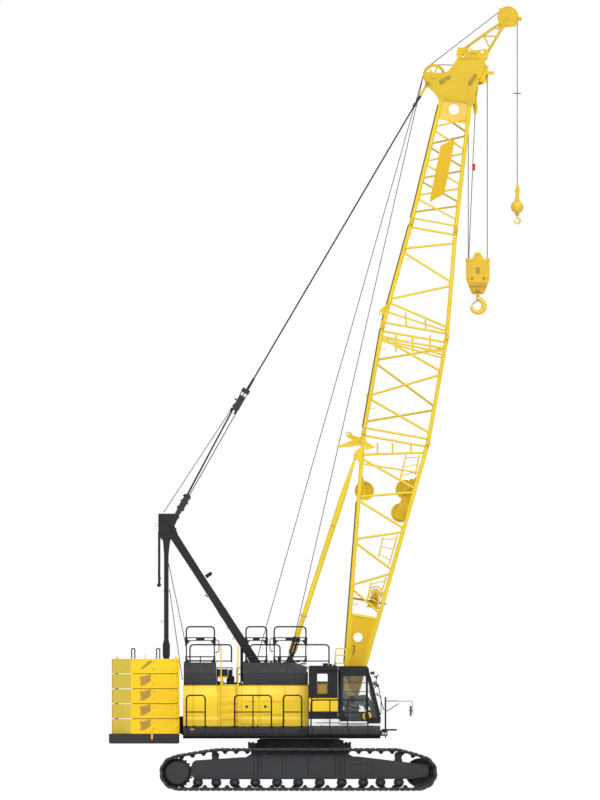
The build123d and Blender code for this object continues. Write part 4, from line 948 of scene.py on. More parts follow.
def makeServiceDoors():
    low, high = upper["doorBottom"], upper["doorTop"]
    for node, body, x0, x1 in upper["doors"]:
        outer = -upper["houseOuter"] - 32.5
        panel, fittings = newShapes(2)
        # a pressed panel that follows the wall: lower band, crease, and the leaning top
        skin = [(outer - 6, low), (outer - 4, 1990), (outer - 2, 2030), (outer + 4, 2056), (outer + 22, 2082),
                (outer + 26, 2112), (outer + 16, 2400), (outer + 18, 2600), (outer + 34, 2680), (outer + 64, high - 70),
                (outer + 90, high)]
        addRun(panel, skin + [(y + 22, z) for y, z in reversed(skin)], x0, x1)
        addBox(panel, x0 + 60, x1 - 60, outer - 1, outer + 6, 2180, 2196)
        addBox(panel, x0 + 60, x1 - 60, outer - 1, outer + 6, 2540, 2556)
        x, y = x1 + 16, -upper["houseOuter"] - 20
        for z in (low + 60, high - 180):
            addCollar(panel, (x, y, z), upwards, 8.2, 14, 41, 119, 20)
            addBox(panel, x1 - 6, x - 9, y - 7, y + 3, z + 42, z + 118)
        for dx in (120, 160):
            addBox(fittings, x0 + dx - 14, x0 + dx + 14, outer - 1, outer - 10, 2372, 2432)
        addRoll(fittings, x0 + 140, 2402, 22, outer, outer - 14, 20)
        addPiece(f"{node}Panel", panel, yellow, body, (node,), bevel=3)
        addPiece(f"{node}Latch", fittings, black, body, bevel=2)


def makeHoods():
    top, low = upper["hoodTop"], upper["houseTop"] + 0.3
    shell, trims = newShapes(2)
    bolts = []
    for side in (-1, 1):
        for number, (x0, x1) in enumerate(upper["hoods"]):
            section = [(820, low), (1505, low), (1505, 3330), (1498, 3352), (1482, 3372), (1400, top - 14),
                       (1386, top), (820, top)]
            if number:
                addRun(shell, section, x0, x1 - 380, side)
                # the front end slopes down towards the cab
                ring = [(side * y, z) for y, z in section]
                tip = [(side * y, min(z, 3520 + (z - top) * 0.2)) for y, z in section]
                addPrism(shell, [(x1 - 380, y, z) for y, z in ring], [(x1, y, z) for y, z in tip])
            else:
                addRun(shell, section, x0, x1, side)
            for x in [x0 + 14, x1 - 16] + ([-700] if number else []):
                edge = ((1505, low + 20), (1505, 3326), (1500, 3326), (1500, low + 20))
                addRun(trims, [(side * (y + 4), z) for y, z in edge], x - 4, x + 4)
            addRun(trims, [(side * 1505, 3345), (side * 1509, 3345), (side * 1509, 3336), (side * 1505, 3336)],
                   x0 + 10, x1 - 10)
            bolts += [((x, side * 1505, z), outward(side), 0.7)
                      for x in (x0 + 60, (x0 + x1) / 2, x1 - 60) for z in (3060, 3300)]
        # ventilation slot, and the closing strip where hood meets house
        addBox(trims, -866, -270, 1503, 1509, 3096, 3118, side)
        addRun(trims, [(side * 1462, 3020), (side * 1518, 3020), (side * 1518, 3034), (side * 1462, 3034)], -3289, 241)
        for x0, x1 in ((-3240, -2420), (-1560, -800)):
            for x in (x0, x1):
                addBox(trims, x - 30, x + 30, 1150, 1330, top, top + 34, side)
        # ears at the feet of the backstops, with their pins
        for y in (820, 1000):
            ear = [(-425, top - 30), (-115, top - 30), (-200, 3790), (-232, 3822), (-308, 3822), (-340, 3790)]
            addPlate(shell, ear, y, y + 30, side)
        addRoll(trims, -270, 3760, 29.5, 808, 1042, 24, side)
        addRoll(trims, -270, 3760, 46, 1030, 1046, 24, side)
        addBox(trims, -470, -70, 810, 1040, top - 2, top + 20, side)
        addBox(trims, -620, -520, 1180, 1300, top, top + 150, side)
        addRod(trims, (-30, side * 1250, top), (-30, side * 1250, top + 70), 40, 20)
        addBox(trims, 20, 190, 900, 1340, top - 60, top - 20, side)
    addPiece("engineHoods", shell, darkGrey, "upperworks", ("engine_hoods",), bevel=6)
    addPiece("hoodTrim", trims, black, "upperworks", bevel=2)
    addRepeats("hoodScrews", boltHead(13, 8), bolts, darkGrey, "upperworks")


def makeEngine():
    refine("engine_block", lowerGrey, 8)
    parts, pipes = newShapes(2)
    for step in range(6):
        x = -2600 + step * 180
        addRod(parts, (x, 1180, 2555), (x, 1180, 2600), 70, 24)
    addRod(parts, (-2760, 1180, 2200), (-2800, 1180, 2200), 220, 36)
    addPiece("engineCovers", parts, lowerGrey, "upperworks", bevel=4)
    # silencer behind the rear hood: drum, outlet and its rain flap
    addLathe(pipes, (-1960, -1200, 0), upwards,
             [(1, 3026), (100, 3026), (110, 3036), (110, 3240), (96, 3262), (60, 3264), (60, 3440),
                                                    (54, 3440), (54, 3290), (1, 3290)], 40)
    addPrism(pipes, ringAt((-1960, -1200, 3442), (0.1, 0, 1), 62, 32),
             ringAt((-1959, -1200, 3450), (0.1, 0, 1), 62, 32))
    for z in (3080, 3200):
        addCollar(pipes, (-1960, -1200, 0), upwards, 109, 114, z - 12, z + 12, 40)
    addPiece("exhaustSilencer", pipes, black, "upperworks", ("silencer",), smooth=40)


rails = {
    "bend": 105, "sideX": ((-3212, -2678), (-1843, -798), (-460, 62)), "postIn": 1, "sideInset": 35, "sideTop": 2738,
    "sideMiddle": 2243, "hoodX": ((-3215, -2417), (-1519, -934), (-718, 182)), "hoodY": 1370, "hoodTop": 4686,
    "hoodFoot": 4262, "lowX": ((-3110, -1931), (-1406, -554)), "lowY": 1180, "lowTop": 4175, "lowMiddle": 3690,
    "stepX": (327, 863, 1366, 1940), "stepY": -2725, "stepTop": 2607, "stepMiddle": 2222, "handholdY": -1340,
}


def hoop(x0, x1, y, low, top):  # a bar bent down at both ends
    return [(x0, y, low), (x0, y, top), (x1, y, top), (x1, y, low)]


def level(x0, x1, y, z):
    return [(x0, y, z), (x1, y, z)]


def post(x, y, z0, z1):
    return [(x, y, z0), (x, y, z1)]


def addHoodRail(bars, thin, brackets, x0, x1, y):  # a tall guard on the hoods: hoop, posts, kick rails and gussets
    foot, roof, middle, fifth = rails["hoodFoot"], upper["hoodTop"], (x0 + x1) / 2, (x1 - x0) / 5
    bars.append(hoop(x0, x1, y, foot, rails["hoodTop"] - upper["railRadius"]))
    thin += [post(x, y, roof, foot + 8) for x in (x0 + 4, x1 - 4)]
    for reach, z0, z1 in ((36, foot + 78, foot + 106), (24, foot, foot + 24)):
        addBox(brackets, x0 - reach, x1 + reach, y - 14, y + 14, z0, z1)
    for step in (0, 2, 3, 5):
        x = x0 + fifth * step
        addBox(brackets, x - 42, x + 42, y - 12, y + 12, foot + 8, foot + 94)
    addBox(brackets, middle - fifth / 2, middle + fifth / 2, y - 10, y + 10, foot + 8, foot + 94)
    for x, way in ((x0 - 36, 1), (x1 + 36, -1)):
        addPlate(brackets, shifted(x, foot, (0, 24), (way * 170, 24), (way * 26, -142), (0, -142)), y - 8, y + 8)
    thin += [level(x0 - 20, x1 + 20, y, z) for z in (roof + 48, roof + 160)]
    for x in (x0 - 10, middle, x1 + 10):
        addBox(brackets, x - 16, x + 16, y - 10, y + 10, roof, roof + 184)
    for x, way in ((x0 - 26, 1), (x1 + 26, -1)):
        addPlate(brackets, shifted(x, roof, (0, 0), (way * 110, 0), (way * 20, 188), (0, 198)), y - 8, y + 8)


def makeRails():
    radius, skirt, roof = upper["railRadius"], upper["skirtTop"], upper["hoodTop"]
    sideTop, lowTop, stepTop = (rails[key] - radius for key in ("sideTop", "lowTop", "stepTop"))
    bars, thin, (brackets, pads) = [], [], newShapes(2)
    for side in (-1, 1):
        y = side * (upper["skirtOuter"] - rails["sideInset"])
        for number, (x0, x1) in enumerate(rails["sideX"]):
            bars.append(hoop(x0, x1, y, skirt, sideTop))
            thin.append(level(x0, x1, y, rails["sideMiddle"]))
            extra = [(x0 + x1) / 2] if number == rails["postIn"] else []
            thin += [post(x, y, skirt, sideTop) for x in extra]
            for x in [x0, x1] + extra:
                addBox(pads, x - 60, x + 60, y - 45, y + 30, skirt, skirt + 12)
                addBox(pads, x - 12, x + 12, y - side * 30, y - side * 18, skirt, skirt + 60)
        # upper rails stand on the hoods, the low ones beside the walkway between them
        for x0, x1 in rails["hoodX"]:
            addHoodRail(bars, thin, brackets, x0, x1, side * rails["hoodY"])
        for x0, x1 in rails["lowX"]:
            bars.append(hoop(x0, x1, side * rails["lowY"], roof, lowTop))
            thin.append(level(x0, x1, side * rails["lowY"], rails["lowMiddle"]))
    bars.append(hoop(-200, 838, -rails["hoodY"], 3562, lowTop)[1:])
    thin.append(level(-200, 838, -rails["hoodY"], rails["lowMiddle"]))
    # rail outside the cab step
    (x0, *inner, x1), y = rails["stepX"], rails["stepY"]
    bars.append(hoop(x0, x1, y, skirt, stepTop))
    thin.append(level(x0, x1, y, rails["stepMiddle"]))
    thin += [post(x, y, skirt, stepTop) for x in inner]
    for x in rails["stepX"]:
        addBox(pads, x - 55, x + 55, y - 30, y + 50, skirt, skirt + 12)
    # tall handholds at the ladder between the hoods
    y = rails["handholdY"]
    loops = [[(x, y, z) for x, z in line] for line in (((-2400, 4290), (-2286, 4290), (-2286, 3935), (-2400, 3935)),
                                                       ((-770, 4340), (-838, 4340), (-838, 3960), (-740, 3960)))]
    addTubes("sideRails", bars, radius, black, "upperworks", ("side_rails", "roof_rails"), bend=rails["bend"])
    addTubes("thinRails", thin, radius * 0.8, black, "upperworks")
    addTubes("ladderHoops", loops, 13, black, "upperworks", bend=80)
    addPiece("railBrackets", brackets, black, "upperworks", bevel=3)
    addPiece("railPads", pads, black, "upperworks", bevel=2)


accessLadder = {
    "x": (-2229, -1747), "y": -1680, "low": 1900, "high": 4130, "rungs": 5, "firstRung": 2090, "rungStep": 230,
    "guardY": -1440, "guards": ((-2343, -1915), (-1775, -1660)), "guardLow": 3040, "guardHigh": 3500,
}


def makeAccessLadder():  # between the hoods, with a guard beside it and a valve box
    (x0, x1), y = accessLadder["x"], accessLadder["y"]
    high, low = accessLadder["high"], accessLadder["low"]
    guardY = accessLadder["guardY"]
    rungs = [level(x0, x1, y, accessLadder["firstRung"] + accessLadder["rungStep"] * step)
             for step in range(accessLadder["rungs"])]
    steps, box, base = newShapes(3)
    for x in accessLadder["x"]:
        for z in (2000, 2900):
            addBox(steps, x - 12, x + 12, y, -1588, z, z + 40)
    frames = []
    for a, b in accessLadder["guards"]:
        frames += [hoop(a, b, guardY, accessLadder["guardLow"], accessLadder["guardHigh"]), level(a, b, guardY, 3318)]
    frames.append(level(-2343, -1660, guardY, 3060))
    addTubes("ladderPosts", [post(x, y, low, high) for x in (x0, x1)], 19, yellow, "upperworks")
    addTubes("ladderRungs", rungs, 14, yellow, "upperworks")
    addPiece("ladderSteps", steps, yellow, "upperworks", bevel=2)
    addTubes("guardFrames", frames, 19, black, "upperworks")
    addBox(box, -2329, -2031, -1470, -1300, 3264, 3462)
    addBox(box, -2300, -2060, -1476, -1470, 3290, 3440)
    addBox(box, -2329, -2150, -1420, -1300, 3026, 3120)
    addPiece("valveBox", box, black, "upperworks", bevel=8)
    addBox(base, -2329, -2040, guardY, -1200, 3200, 3262)
    addRod(base, (-2180, guardY, 3026), (-2180, guardY, 3200), 24, 16)
    addPiece("valveBoxShelf", base, yellow, "upperworks", bevel=3)


winches = {  # x, z, drum radius, flange radius, turns of rope
    "main_winch": (-1770, 2760, 270, 330, 33), "auxiliary_winch": (-730, 3020, 270, 340, 33),
    "luffing_winch": (-2790, 2960, 250, 330, 36),
}


def makeWinches():
    for node, (x, z, radius, flange, turns) in winches.items():
        drum, stands = newShapes(2)
        bolts = []
        addCollar(drum, (x, 0, z), across, 4, radius - 34, -530, 530)
        for side in (-1, 1):
            rim = [(60, 530), (flange - 6, 530), (flange, 536), (flange, 552), (flange - 6, 560), (60, 560)]
            addLathe(drum, (x, 0, z), (0, side, 0), rim, 60)
            addLathe(drum, (x, 0, z), (0, side, 0), [(4, 560), (190, 560), (190, 590), (170, 640), (4, 640)], 36)
            foot = [(x - 260, deckFloor), (x + 260, deckFloor)] + shifted(x, z, (110, 60), (60, 105), (-60, 105),
                                                                          (-110, 60))
            addPlate(stands, foot, 565, 600, side)
            bolts += boltRing(x, side * 590, z, 150, around(10), side, 1.0)
        addPiece(f"{node}Drum", drum, black, "upperworks", (node,), 3)
        addPiece(f"{node}Stands", stands, darkGrey, "upperworks", bevel=5)
        addRepeats(f"{node}Bolts", boltHead(16, 16), bolts, turned, "upperworks")
        addCoil(f"{node}Rope", (x, -516, z), across, radius - 16, 15, turns, 1032, wire, "upperworks")


makeDecks()
makeHouse()
makeServiceDoors()
makeHoods()
makeEngine()
makeRails()
makeAccessLadder()
makeWinches()
print("upper works ready")


# Cab, the cabin behind it, and the platform in front

cab = {
    "right": -2250, "left": -1150, "rear": 1093, "nose": 2306, "floor": 1837.3, "doorRear": 1160, "doorFront": 1915,
    "doorLow": 1920, "doorHigh": 3430, "doorOut": -2306, "cabinRear": 261, "cabinTop": 3560,
}


def screenX(z):  # the windscreen's face at a height
    return cab["nose"] + (1950 - cab["nose"]) * (z - 2040) / (3470 - 2040)


def frameOf(shape, outer, inner, y0, y1):  # a plate with one polygon cut out of it, both with as many corners
    count = len(outer)
    rings = []
    for y in (y0, y1):
        rings.append(([shape.verts.new((x, y, z)) for x, z in outer], [shape.verts.new((x, y, z)) for x, z in inner]))
    for outerRing, innerRing in rings:
        for i in range(count):
            j = (i + 1) % count
            shape.faces.new((outerRing[i], outerRing[j], innerRing[j], innerRing[i]))
    for low, high in zip(rings[0], rings[1]):
        for i in range(count):
            j = (i + 1) % count
            shape.faces.new((low[i], low[j], high[j], high[i]))


def makeCabShell():
    refine("cab_shell", black, 7)
    trims, whites, seals = newShapes(3)
    right, left = cab["right"], cab["left"]
    # lower body band, its step up behind the door, and the nose
    addPlate(whites, [(1100, 1850), (2294, 1850), (2300, 1916), (1170, 1916), (1128, 2038), (1100, 2038)], right - 3,
             right + 20)
    addBox(whites, 2296, 2312, right + 20, left - 20, 1850, 2020)
    addPlate(whites, [(1100, 1850), (2294, 1850), (2300, 2030), (1100, 2030)], left - 20, left + 3)
    # roof hatch frame, gutter, sun visor and the pillars' outer trims
    addPlate(trims, rounded([(1095, 3510), (1875, 3510), (1960, 3440), (1992, 3450), (1900, 3548), (1095, 3548)], 40),
             right - 14, right + 60)
    addPlate(trims, rounded([(1095, 3510), (1875, 3510), (1960, 3440), (1992, 3450), (1900, 3548), (1095, 3548)], 40),
             left - 60, left + 6)
    addRun(trims, [(right + 40, 3516), (left - 40, 3516), (left - 40, 3536), (right + 40, 3536)], 1860, 1940)
    for y0, y1 in ((right - 10, right + 70), (left - 70, left + 6)):
        addPlate(trims, [(screenX(2040) - 26, 2040), (screenX(2040) + 12, 2040), (screenX(3440) + 12, 3440),
                         (screenX(3440) - 26, 3440)], y0, y1)
    addPanel(trims, 1918, 1946, 2030, 3440, right - 8, right + 40)
    for z0, z1 in ((2030, 2075), (3395, 3440)):
        addPlate(trims, [(1918, z0), (screenX(z0) - 20, z0), (screenX(z1) - 20, z1), (1918, z1)], right - 8, right + 40)
    # inner lining of the front pillar, which leaves only a narrow strip of the quarter pane clear
    addPlate(trims, [(1946, 3395), (screenX(3395) - 20, 3395), (screenX(2060) - 20, 2060), (2110, 2060), (2110, 2206),
                     (1990, 2800)], right + 46, right + 54)
    # door runners above and below, on stand-offs
    for runner, z in ((whites, 1930), (trims, 3405)):
        addBox(runner, 450, 1945, right - 5.7, right, z, z + 20)
        addBox(runner, 460, 1935, right - 5.7, right - 2, z - 8, z + 28)
    # windscreen seal and wiper, both with real depth
    for z in (2150, 3372):
        x = screenX(z)
        addRoll(seals, x - 6, z, 12, right + 100, left - 100, 10)
    for y in (right + 104, left - 104):
        addRod(seals, (screenX(2150) - 6, y, 2150), (screenX(3372) - 6, y, 3372), 12, 10)
    addRod(seals, (screenX(2180) + 20, -1700, 2180), (screenX(3000) + 22, -1980, 3000), 8, 10)
    addRod(seals, (screenX(2700) + 16, -1960, 2700), (screenX(3250) + 16, -2060, 3250), 6, 8)
    addRod(seals, (screenX(2180) - 10, -1700, 2180), (screenX(2180) + 30, -1700, 2180), 22, 16)
    # guard bars over the roof light and the left window
    for x in (1380, 1460, 1540, 1620, 1690):
        addRoll(seals, x, 3524, 9, right + 205, left - 205, 8)
    for z in (2822, 3075):
        addRod(seals, (1250, left - 52, z), (1925 + (3330 - z) * 0.2, left - 52, z), 9, 8)
    for x in (1305, 1375):
        addRod(seals, (x, left - 46, 3290), (x + 285, left - 46, 2700), 11, 8)
    addPiece("cabTrim", trims, black, "upperworks", bevel=5)
    addPiece("cabBand", whites, white, "upperworks", bevel=4)
    addPiece("cabSeals", seals, rubber, "upperworks")
    refine("cab_glazing", glass, 0)


def makeCabDoor():
    frameShape, pane, band, handle = newShapes(4)
    out = cab["doorOut"]
    outer = rounded([(cab["doorRear"], cab["doorLow"]), (cab["doorFront"], cab["doorLow"]),
                     (cab["doorFront"], cab["doorHigh"]), (cab["doorRear"], cab["doorHigh"])], 30)
    hole = rounded([(1206, 2002), (1886, 2002), (1886, 3270), (1206, 3270)], 60)
    frameOf(frameShape, outer, hole, out, out + 50)
    addPlate(frameShape, [(1200, 1990), (1370, 1990), (1200, 2230)], out + 8, out + 44)
    addPlate(frameShape, [(1200, 2262), (1382, 2006), (1366, 1996), (1184, 2250)], out - 4, out + 6)
    addPanel(pane, 1196, 1896, 1992, 3280, out + 20, out + 26)
    addPanel(band, 1166, 1909, 1922, 1976, out - 3, out)
    addRod(handle, (1180, out - 30, 2260), (1180, out - 30, 2470), 11, 12)
    for z in (2266, 2464):
        addRoll(handle, 1180, z, 9, out - 30, out + 4, 12)
    addBox(handle, 1166, 1194, out - 10, out, 2120, 2220)
    addPiece("cabDoorFrame", frameShape, black, "sliding_cab_door", ("cab_door",), bevel=4)
    addPiece("cabDoorPane", pane, glass, "sliding_cab_door")
    addPiece("cabDoorBand", band, white, "sliding_cab_door")
    addPiece("cabDoorHandle", handle, plastic, "sliding_cab_door")


def addCushion(shape, x0, x1, y0, y1, z0, z1, crown=0.25):  # a crowned pad with pulled-in edges
    steps = 10
    grid = {}
    for face in (0, 1):
        for i in range(steps + 1):
            for j in range(steps + 1):
                u, v = 2 * i / steps - 1, 2 * j / steps - 1
                swell = (1 - u ** 4) * (1 - v ** 4)
                lift = (z1 - z0) / 2 * (1 - crown + crown * swell) * (0.35 + 0.65 * min(1.0, swell * 6))
                z = (z0 + z1) / 2 + (lift if face else -lift)
                grid[face, i, j] = shape.verts.new((x0 + (x1 - x0) * i / steps, y0 + (y1 - y0) * j / steps, z))
    for face in (0, 1):
        for i in range(steps):
            for j in range(steps):
                quad = [grid[face, i, j], grid[face, i + 1, j], grid[face, i + 1, j + 1], grid[face, i, j + 1]]
                shape.faces.new(quad if face else quad[::-1])
    for i in range(steps):
        for a, b in (((i, 0), (i + 1, 0)), ((i, steps), (i + 1, steps)), ((0, i), (0, i + 1)),
                     ((steps, i), (steps, i + 1))):
            shape.faces.new((grid[0, *a], grid[0, *b], grid[1, *b], grid[1, *a]))


def makeCabInside():
    middle, floor = (cab["right"] + cab["left"]) / 2, cab["floor"] + 60
    pads, frames, grey, redParts, pale, goldParts = newShapes(6)
    addCushion(pads, 1300, 1790, middle - 240, middle + 240, floor + 330, floor + 470)
    back = newShape()
    addCushion(back, 0, 560, middle - 235, middle + 235, -65, 65)
    turn = Matrix.Translation((1330, 0, floor + 420)) @ Matrix.Rotation(radians(-100), 4, "Y")
    bmesh.ops.transform(back, matrix=turn, verts=back.verts)
    backMesh = bpy.data.meshes.new("back")
    back.to_mesh(backMesh)
    back.free()
    pads.from_mesh(backMesh)
    for side in (-1, 1):
        addBox(frames, 1330, 1640, middle + side * 250, middle + side * 320, floor + 540, floor + 590)
        addBox(frames, 1340, 1400, middle + side * 262, middle + side * 300, floor + 300, floor + 545)
    addBox(frames, 1460, 1700, middle - 130, middle + 130, floor, floor + 250)
    addBox(frames, 1400, 1760, middle - 200, middle + 200, floor + 250, floor + 330)
    # right console with its levers
    addPlate(grey, [(1262, floor), (1262, 2230), (1330, 2340), (1450, 2352), (1500, 2290), (1500, floor)],
             middle - 470, middle - 350)
    addPlate(grey, [(1262, floor), (1262, 2230), (1330, 2340), (1450, 2352), (1500, 2290), (1500, floor)],
             middle + 350, middle + 470)
    addPlate(grey, [(1500, floor + 20), (1760, floor + 20), (1740, 2180), (1500, 2260)], middle - 460, middle - 360)
    for x in (1360, 1440):
        addRod(frames, (x, middle - 410, 2340), (x + 10, middle - 410, 2460), 9, 12)
        addBall(frames, (x + 10, middle - 410, 2474), 20, 14)
    addRod(redParts, (1495, middle - 420, 2212), (1772, middle - 420, 2226), 22, 16)
    addBall(redParts, (1780, middle - 420, 2227), 30, 16)
    addPlate(pale, rounded([(1668, 2258), (1930, 2246), (1948, 2300), (1820, 2352), (1700, 2338)], 40), middle - 440,
             middle - 330)
    # round yellow drum by the front pillar, with its dark ring
    addLathe(goldParts, (1915, middle - 430, 2128), across,
             [(70, -45), (118, -45), (128, -34), (128, 34), (118, 45), (70, 45)], 40)
    addBox(goldParts, 1800, 1860, middle - 460, middle - 400, 2085, 2150)
    addCollar(frames, (1915, middle - 430, 2128), across, 4, 62, -30, 30, 32)
    addRod(frames, (1915, middle - 430, floor), (1915, middle - 430, 2060), 30, 16)
    # dashboard, steering column, display and pedals
    addPlate(frames, rounded([(1560, 2500), (1640, 2700), (1760, 2738), (1930, 2712), (2040, 2560), (2120, 2300),
                              (2180, 2100), (2060, 2090), (1990, 2390), (1700, 2420)], 40), middle - 330, middle + 330)
    addRod(frames, (1960, middle, 2110), (1780, middle, 2640), 42, 20)
    addCollar(frames, (1762, middle, 2690), (-0.32, 0, 0.95), 168, 192, -12, 12, 40)
    addBox(frames, 1880, 1905, middle - 460, middle - 250, 2560, 2760)
    for y in (-120, 120):
        addPlate(frames, shifted(0, floor, (2020, 20), (2160, 90), (2150, 110), (2010, 40)), middle + y - 50,
                 middle + y + 50)
    addTubeBow = [curved([(1406, middle - 480, 2660), (1450, middle - 480, 2450), (1580, middle - 480, 2400),
                          (1960, middle - 480, 2500)], 120)]
    addPiece("seatPads", pads, cloth, "upperworks", ("operator_seat",), smooth=60)
    addPiece("cabControls", frames, plastic, "upperworks", bevel=5)
    addPiece("cabConsoles", grey, lowerGrey, "upperworks", bevel=12)
    addPiece("redLever", redParts, red, "upperworks")
    addPiece("cabPapers", pale, white, "upperworks", bevel=4)
    addPiece("cabDrum", goldParts, yellow, "upperworks", bevel=3)
    addTubes("cabCable", addTubeBow, 7, turned, "upperworks")


def makeCabin():
    walls, whites, golds, seals, tan = newShapes(5)
    x0, x1, top, right, left = cab["cabinRear"], 1088, cab["cabinTop"], cab["right"], cab["left"] - 40
    window = rounded([(503, 2755), (798, 2755), (798, 3328), (503, 3328)], 40)
    for y0, y1 in ((right, right + 50), (left - 50, left)):
        frameOf(walls, rounded([(x0, 1837.3), (x1, 1837.3), (x1, top), (x0, top)], 34), window, y0, y1)
        frameOf(seals, [(x - 16 if x < 600 else x + 16, z + (18 if z > 3000 else -18)) for x, z in window], window,
                y0 - (0.6 if y0 == right else -50.6), y0 + 10)
        addBox(seals, 500, 802, y0 + 6, y0 + 26, 3070, 3112)
    addBox(walls, x0 + 10, x0 + 50, right + 40, left - 40, 1837.3, top - 6)
    addBox(walls, x1 - 46, x1 - 6, right + 40, left - 40, 1837.3, top - 6)
    addBox(walls, x0 + 20, x1 - 20, right + 40, left - 40, 1837.3, 1896)
    addBox(walls, x0 + 20, x1 - 20, right + 30, left - 30, top - 52, top)
    addPanel(walls, x0 + 6, x1 - 4, 2170, 2210, right - 0.5, right + 10)
    addPanel(tan, 506, 796, 2758, 3072, right + 60, right + 68)
    # yellow and white bands, with their thin uprights
    for a, b in ((270, 326), (369, 1080)):
        addPanel(golds, a, b, 2262, 2636, right + 1, right - 0.4)
        addPanel(golds, a, b, 2560, 2636, right - 0.6, right - 0.2)
    addPanel(whites, x0 + 6, x1 + 6, 1850, 2044, right - 0.6, right + 2)
    addPanel(whites, x0 - 50, x0 - 8, 3380, 3472, right + 60, right + 90)
    for x, z, w, h in ((660, 3560, 150, 70), (840, 3560, 90, 50), (960, 3560, 60, 34)):
        addBox(walls, x, x + w, -1900, -1500, z, z + h)
    addRod(walls, (1000, -1400, 3560), (1000, -1400, 3690), 10, 10)
    addPiece("rearCabin", walls, black, "upperworks", ("rear_cabin",), bevel=5)
    addPiece("rearCabinSeals", seals, rubber, "upperworks")
    addPiece("rearCabinBlind", tan, ochre, "upperworks")
    addPiece("rearCabinYellow", golds, yellow, "upperworks")
    addPiece("rearCabinWhite", whites, white, "upperworks")


def makeFront():
    refine("front_platform", black, 5)
    right = cab["right"]
    arms = [[(2442, right + 60, 1505), (2442, right + 60, 2668)]]
    thin = [[(2485, right + 60, 2272), (2826, right + 60, 2485)], [(2442, right + 60, 2272), (2485, right + 60, 2272)],
            [(3168, right + 60, 2420), (3168, right + 60, 2118)]]
    thin.append([(2460, right + 60, 2556), (2830, right + 60, 2556)])
    pale = [[(2810, right + 60, 2556), (3209, right + 60, 2556), (3209, right + 60, 2190), (3150, right + 60, 2190)]]
    rail = [[(2100, right - 30, 2755), (2172, right - 30, 2755), (2315, right - 30, 2669), (2315, right - 30, 2187),
             (2270, right - 30, 2150)],
            [(2250, right + 10, 3290), (2215, right - 20, 3300), (2170, right - 30, 3120), (2260, right - 30, 2900),
             (2330, right - 30, 2500), (2400, right + 40, 2300)]]
    addTubes("mirrorPost", arms, 16, black, "upperworks")
    addTubes("mirrorBraces", thin, 12, black, "upperworks")
    addTubes("mirrorArm", pale, 24, palePlastic, "upperworks", bend=30)
    addTubes("cabHandrails", rail, 12, black, "upperworks", bend=60)
    heads, lens, silver = newShapes(3)
    addPlate(heads, rounded([(3128, 2130), (3170, 2130), (3170, 2414), (3128, 2414)], 14), right - 60, right + 60)
    addBox(heads, 3100, 3215, right + 30, right + 60, 2268, 2296)
    addPanel(silver, 3126, 3128, 2145, 2400, right - 48, right + 48)
    for z in (2272, 2556, 2600):
        addRod(heads, (2442, right + 60, z - 16), (2442, right + 60, z + 16), 26, 16)
    # work lamps and side mirrors up the front pillar, and the low lamps under the platform
    for x, y, z, size, way in ((2062, right + 100, 3350, 46, 1), (2190, right - 40, 3238, 40, 1),
                               (2140, right - 60, 3050, 62, 1), (2236, right - 60, 2990, 44, 1),
                               (2110, cab["left"] - 90, 3350, 46, 1)):
        addLathe(heads, (x, y, z), (way, 0, -0.15),
                 [(4, -50), (size * 0.6, -50), (size, -10), (size, 22), (size - 8, 22), (size - 8, 8), (4, 8)], 24)
        addLathe(lens, (x, y, z), (way, 0, -0.15), [(2, 8), (size - 8, 8), (size - 12, 16), (2, 18)], 24)
    for start, end in (((2010, right + 100, 3380), (2060, right + 100, 3352)),
                       ((2085, right + 4, 3260), (2190, right - 40, 3238)),
                       ((2060, right + 4, 3080), (2140, right - 60, 3050)),
                       ((2140, right - 60, 3050), (2236, right - 60, 2990)),
                       ((2090, right + 4, 2900), (2180, right - 60, 2960)),
                       ((2020, cab["left"] - 90, 3380), (2110, cab["left"] - 90, 3350))):
        addRod(heads, start, end, 11, 10)
    addPlate(heads, rounded([(2150, 2960), (2180, 2940), (2210, 3080), (2180, 3110)], 10), right - 100, right - 40)
    addPlate(heads, rounded([(2200, 2700), (2226, 2690), (2238, 2800), (2210, 2810)], 8), right - 90, right - 40)
    lowLamps = newShape()
    for y in (right + 70, -1350):
        for x in (2370, 2450):
            addLathe(lowLamps, (x, y, 1618), (1, 0, -0.1),
                     [(4, -44), (38, -44), (62, -14), (66, 20), (56, 22), (54, 8), (4, 8)], 24)
            addLathe(lens, (x, y, 1618), (1, 0, -0.1), [(2, 8), (54, 8), (50, 16), (2, 18)], 24)
            addBox(lowLamps, x - 14, x + 14, y - 10, y + 10, 1640, 1712)
    addPiece("lowLamps", lowLamps, palePlastic, "upperworks", bevel=3)
    addPiece("lampsAndMirrors", heads, plastic, "upperworks", bevel=3)
    addPiece("lampLenses", lens, lampLens, "upperworks")
    addPiece("mirrorFaces", silver, mirrorGlass, "upperworks")
    # yellow ladder up from the cab roof beside the boom foot
    y = -1320
    lines = [hoop(1022, 1312, y, 3516, 4047), level(1022, 1312, y, 3862), level(1022, 1312, y, 3635)]
    addTubes("roofLadder", lines, 17, yellow, "upperworks", bend=60)


makeCabShell()
makeCabDoor()
makeCabInside()
makeCabin()
makeFront()
print("cab ready")


# Counterweight and gantry

ballast = {
    "rear": -5331, "front": -3408, "inner": 850, "outer": 2350, "bottom": 1627.3, "height": 425.3, "blocks": 5,
    "gap": 9, "turnIn": -4790, "pocket": ((-4550, 90), (-4500, 60), (-4440, 70), (-4250, 10), (-4205, 25), (-4225, 110),
                                (-4200, 190), (-4260, 240), (-4400, 330), (-4540, 350), (-4510, 240)),
}


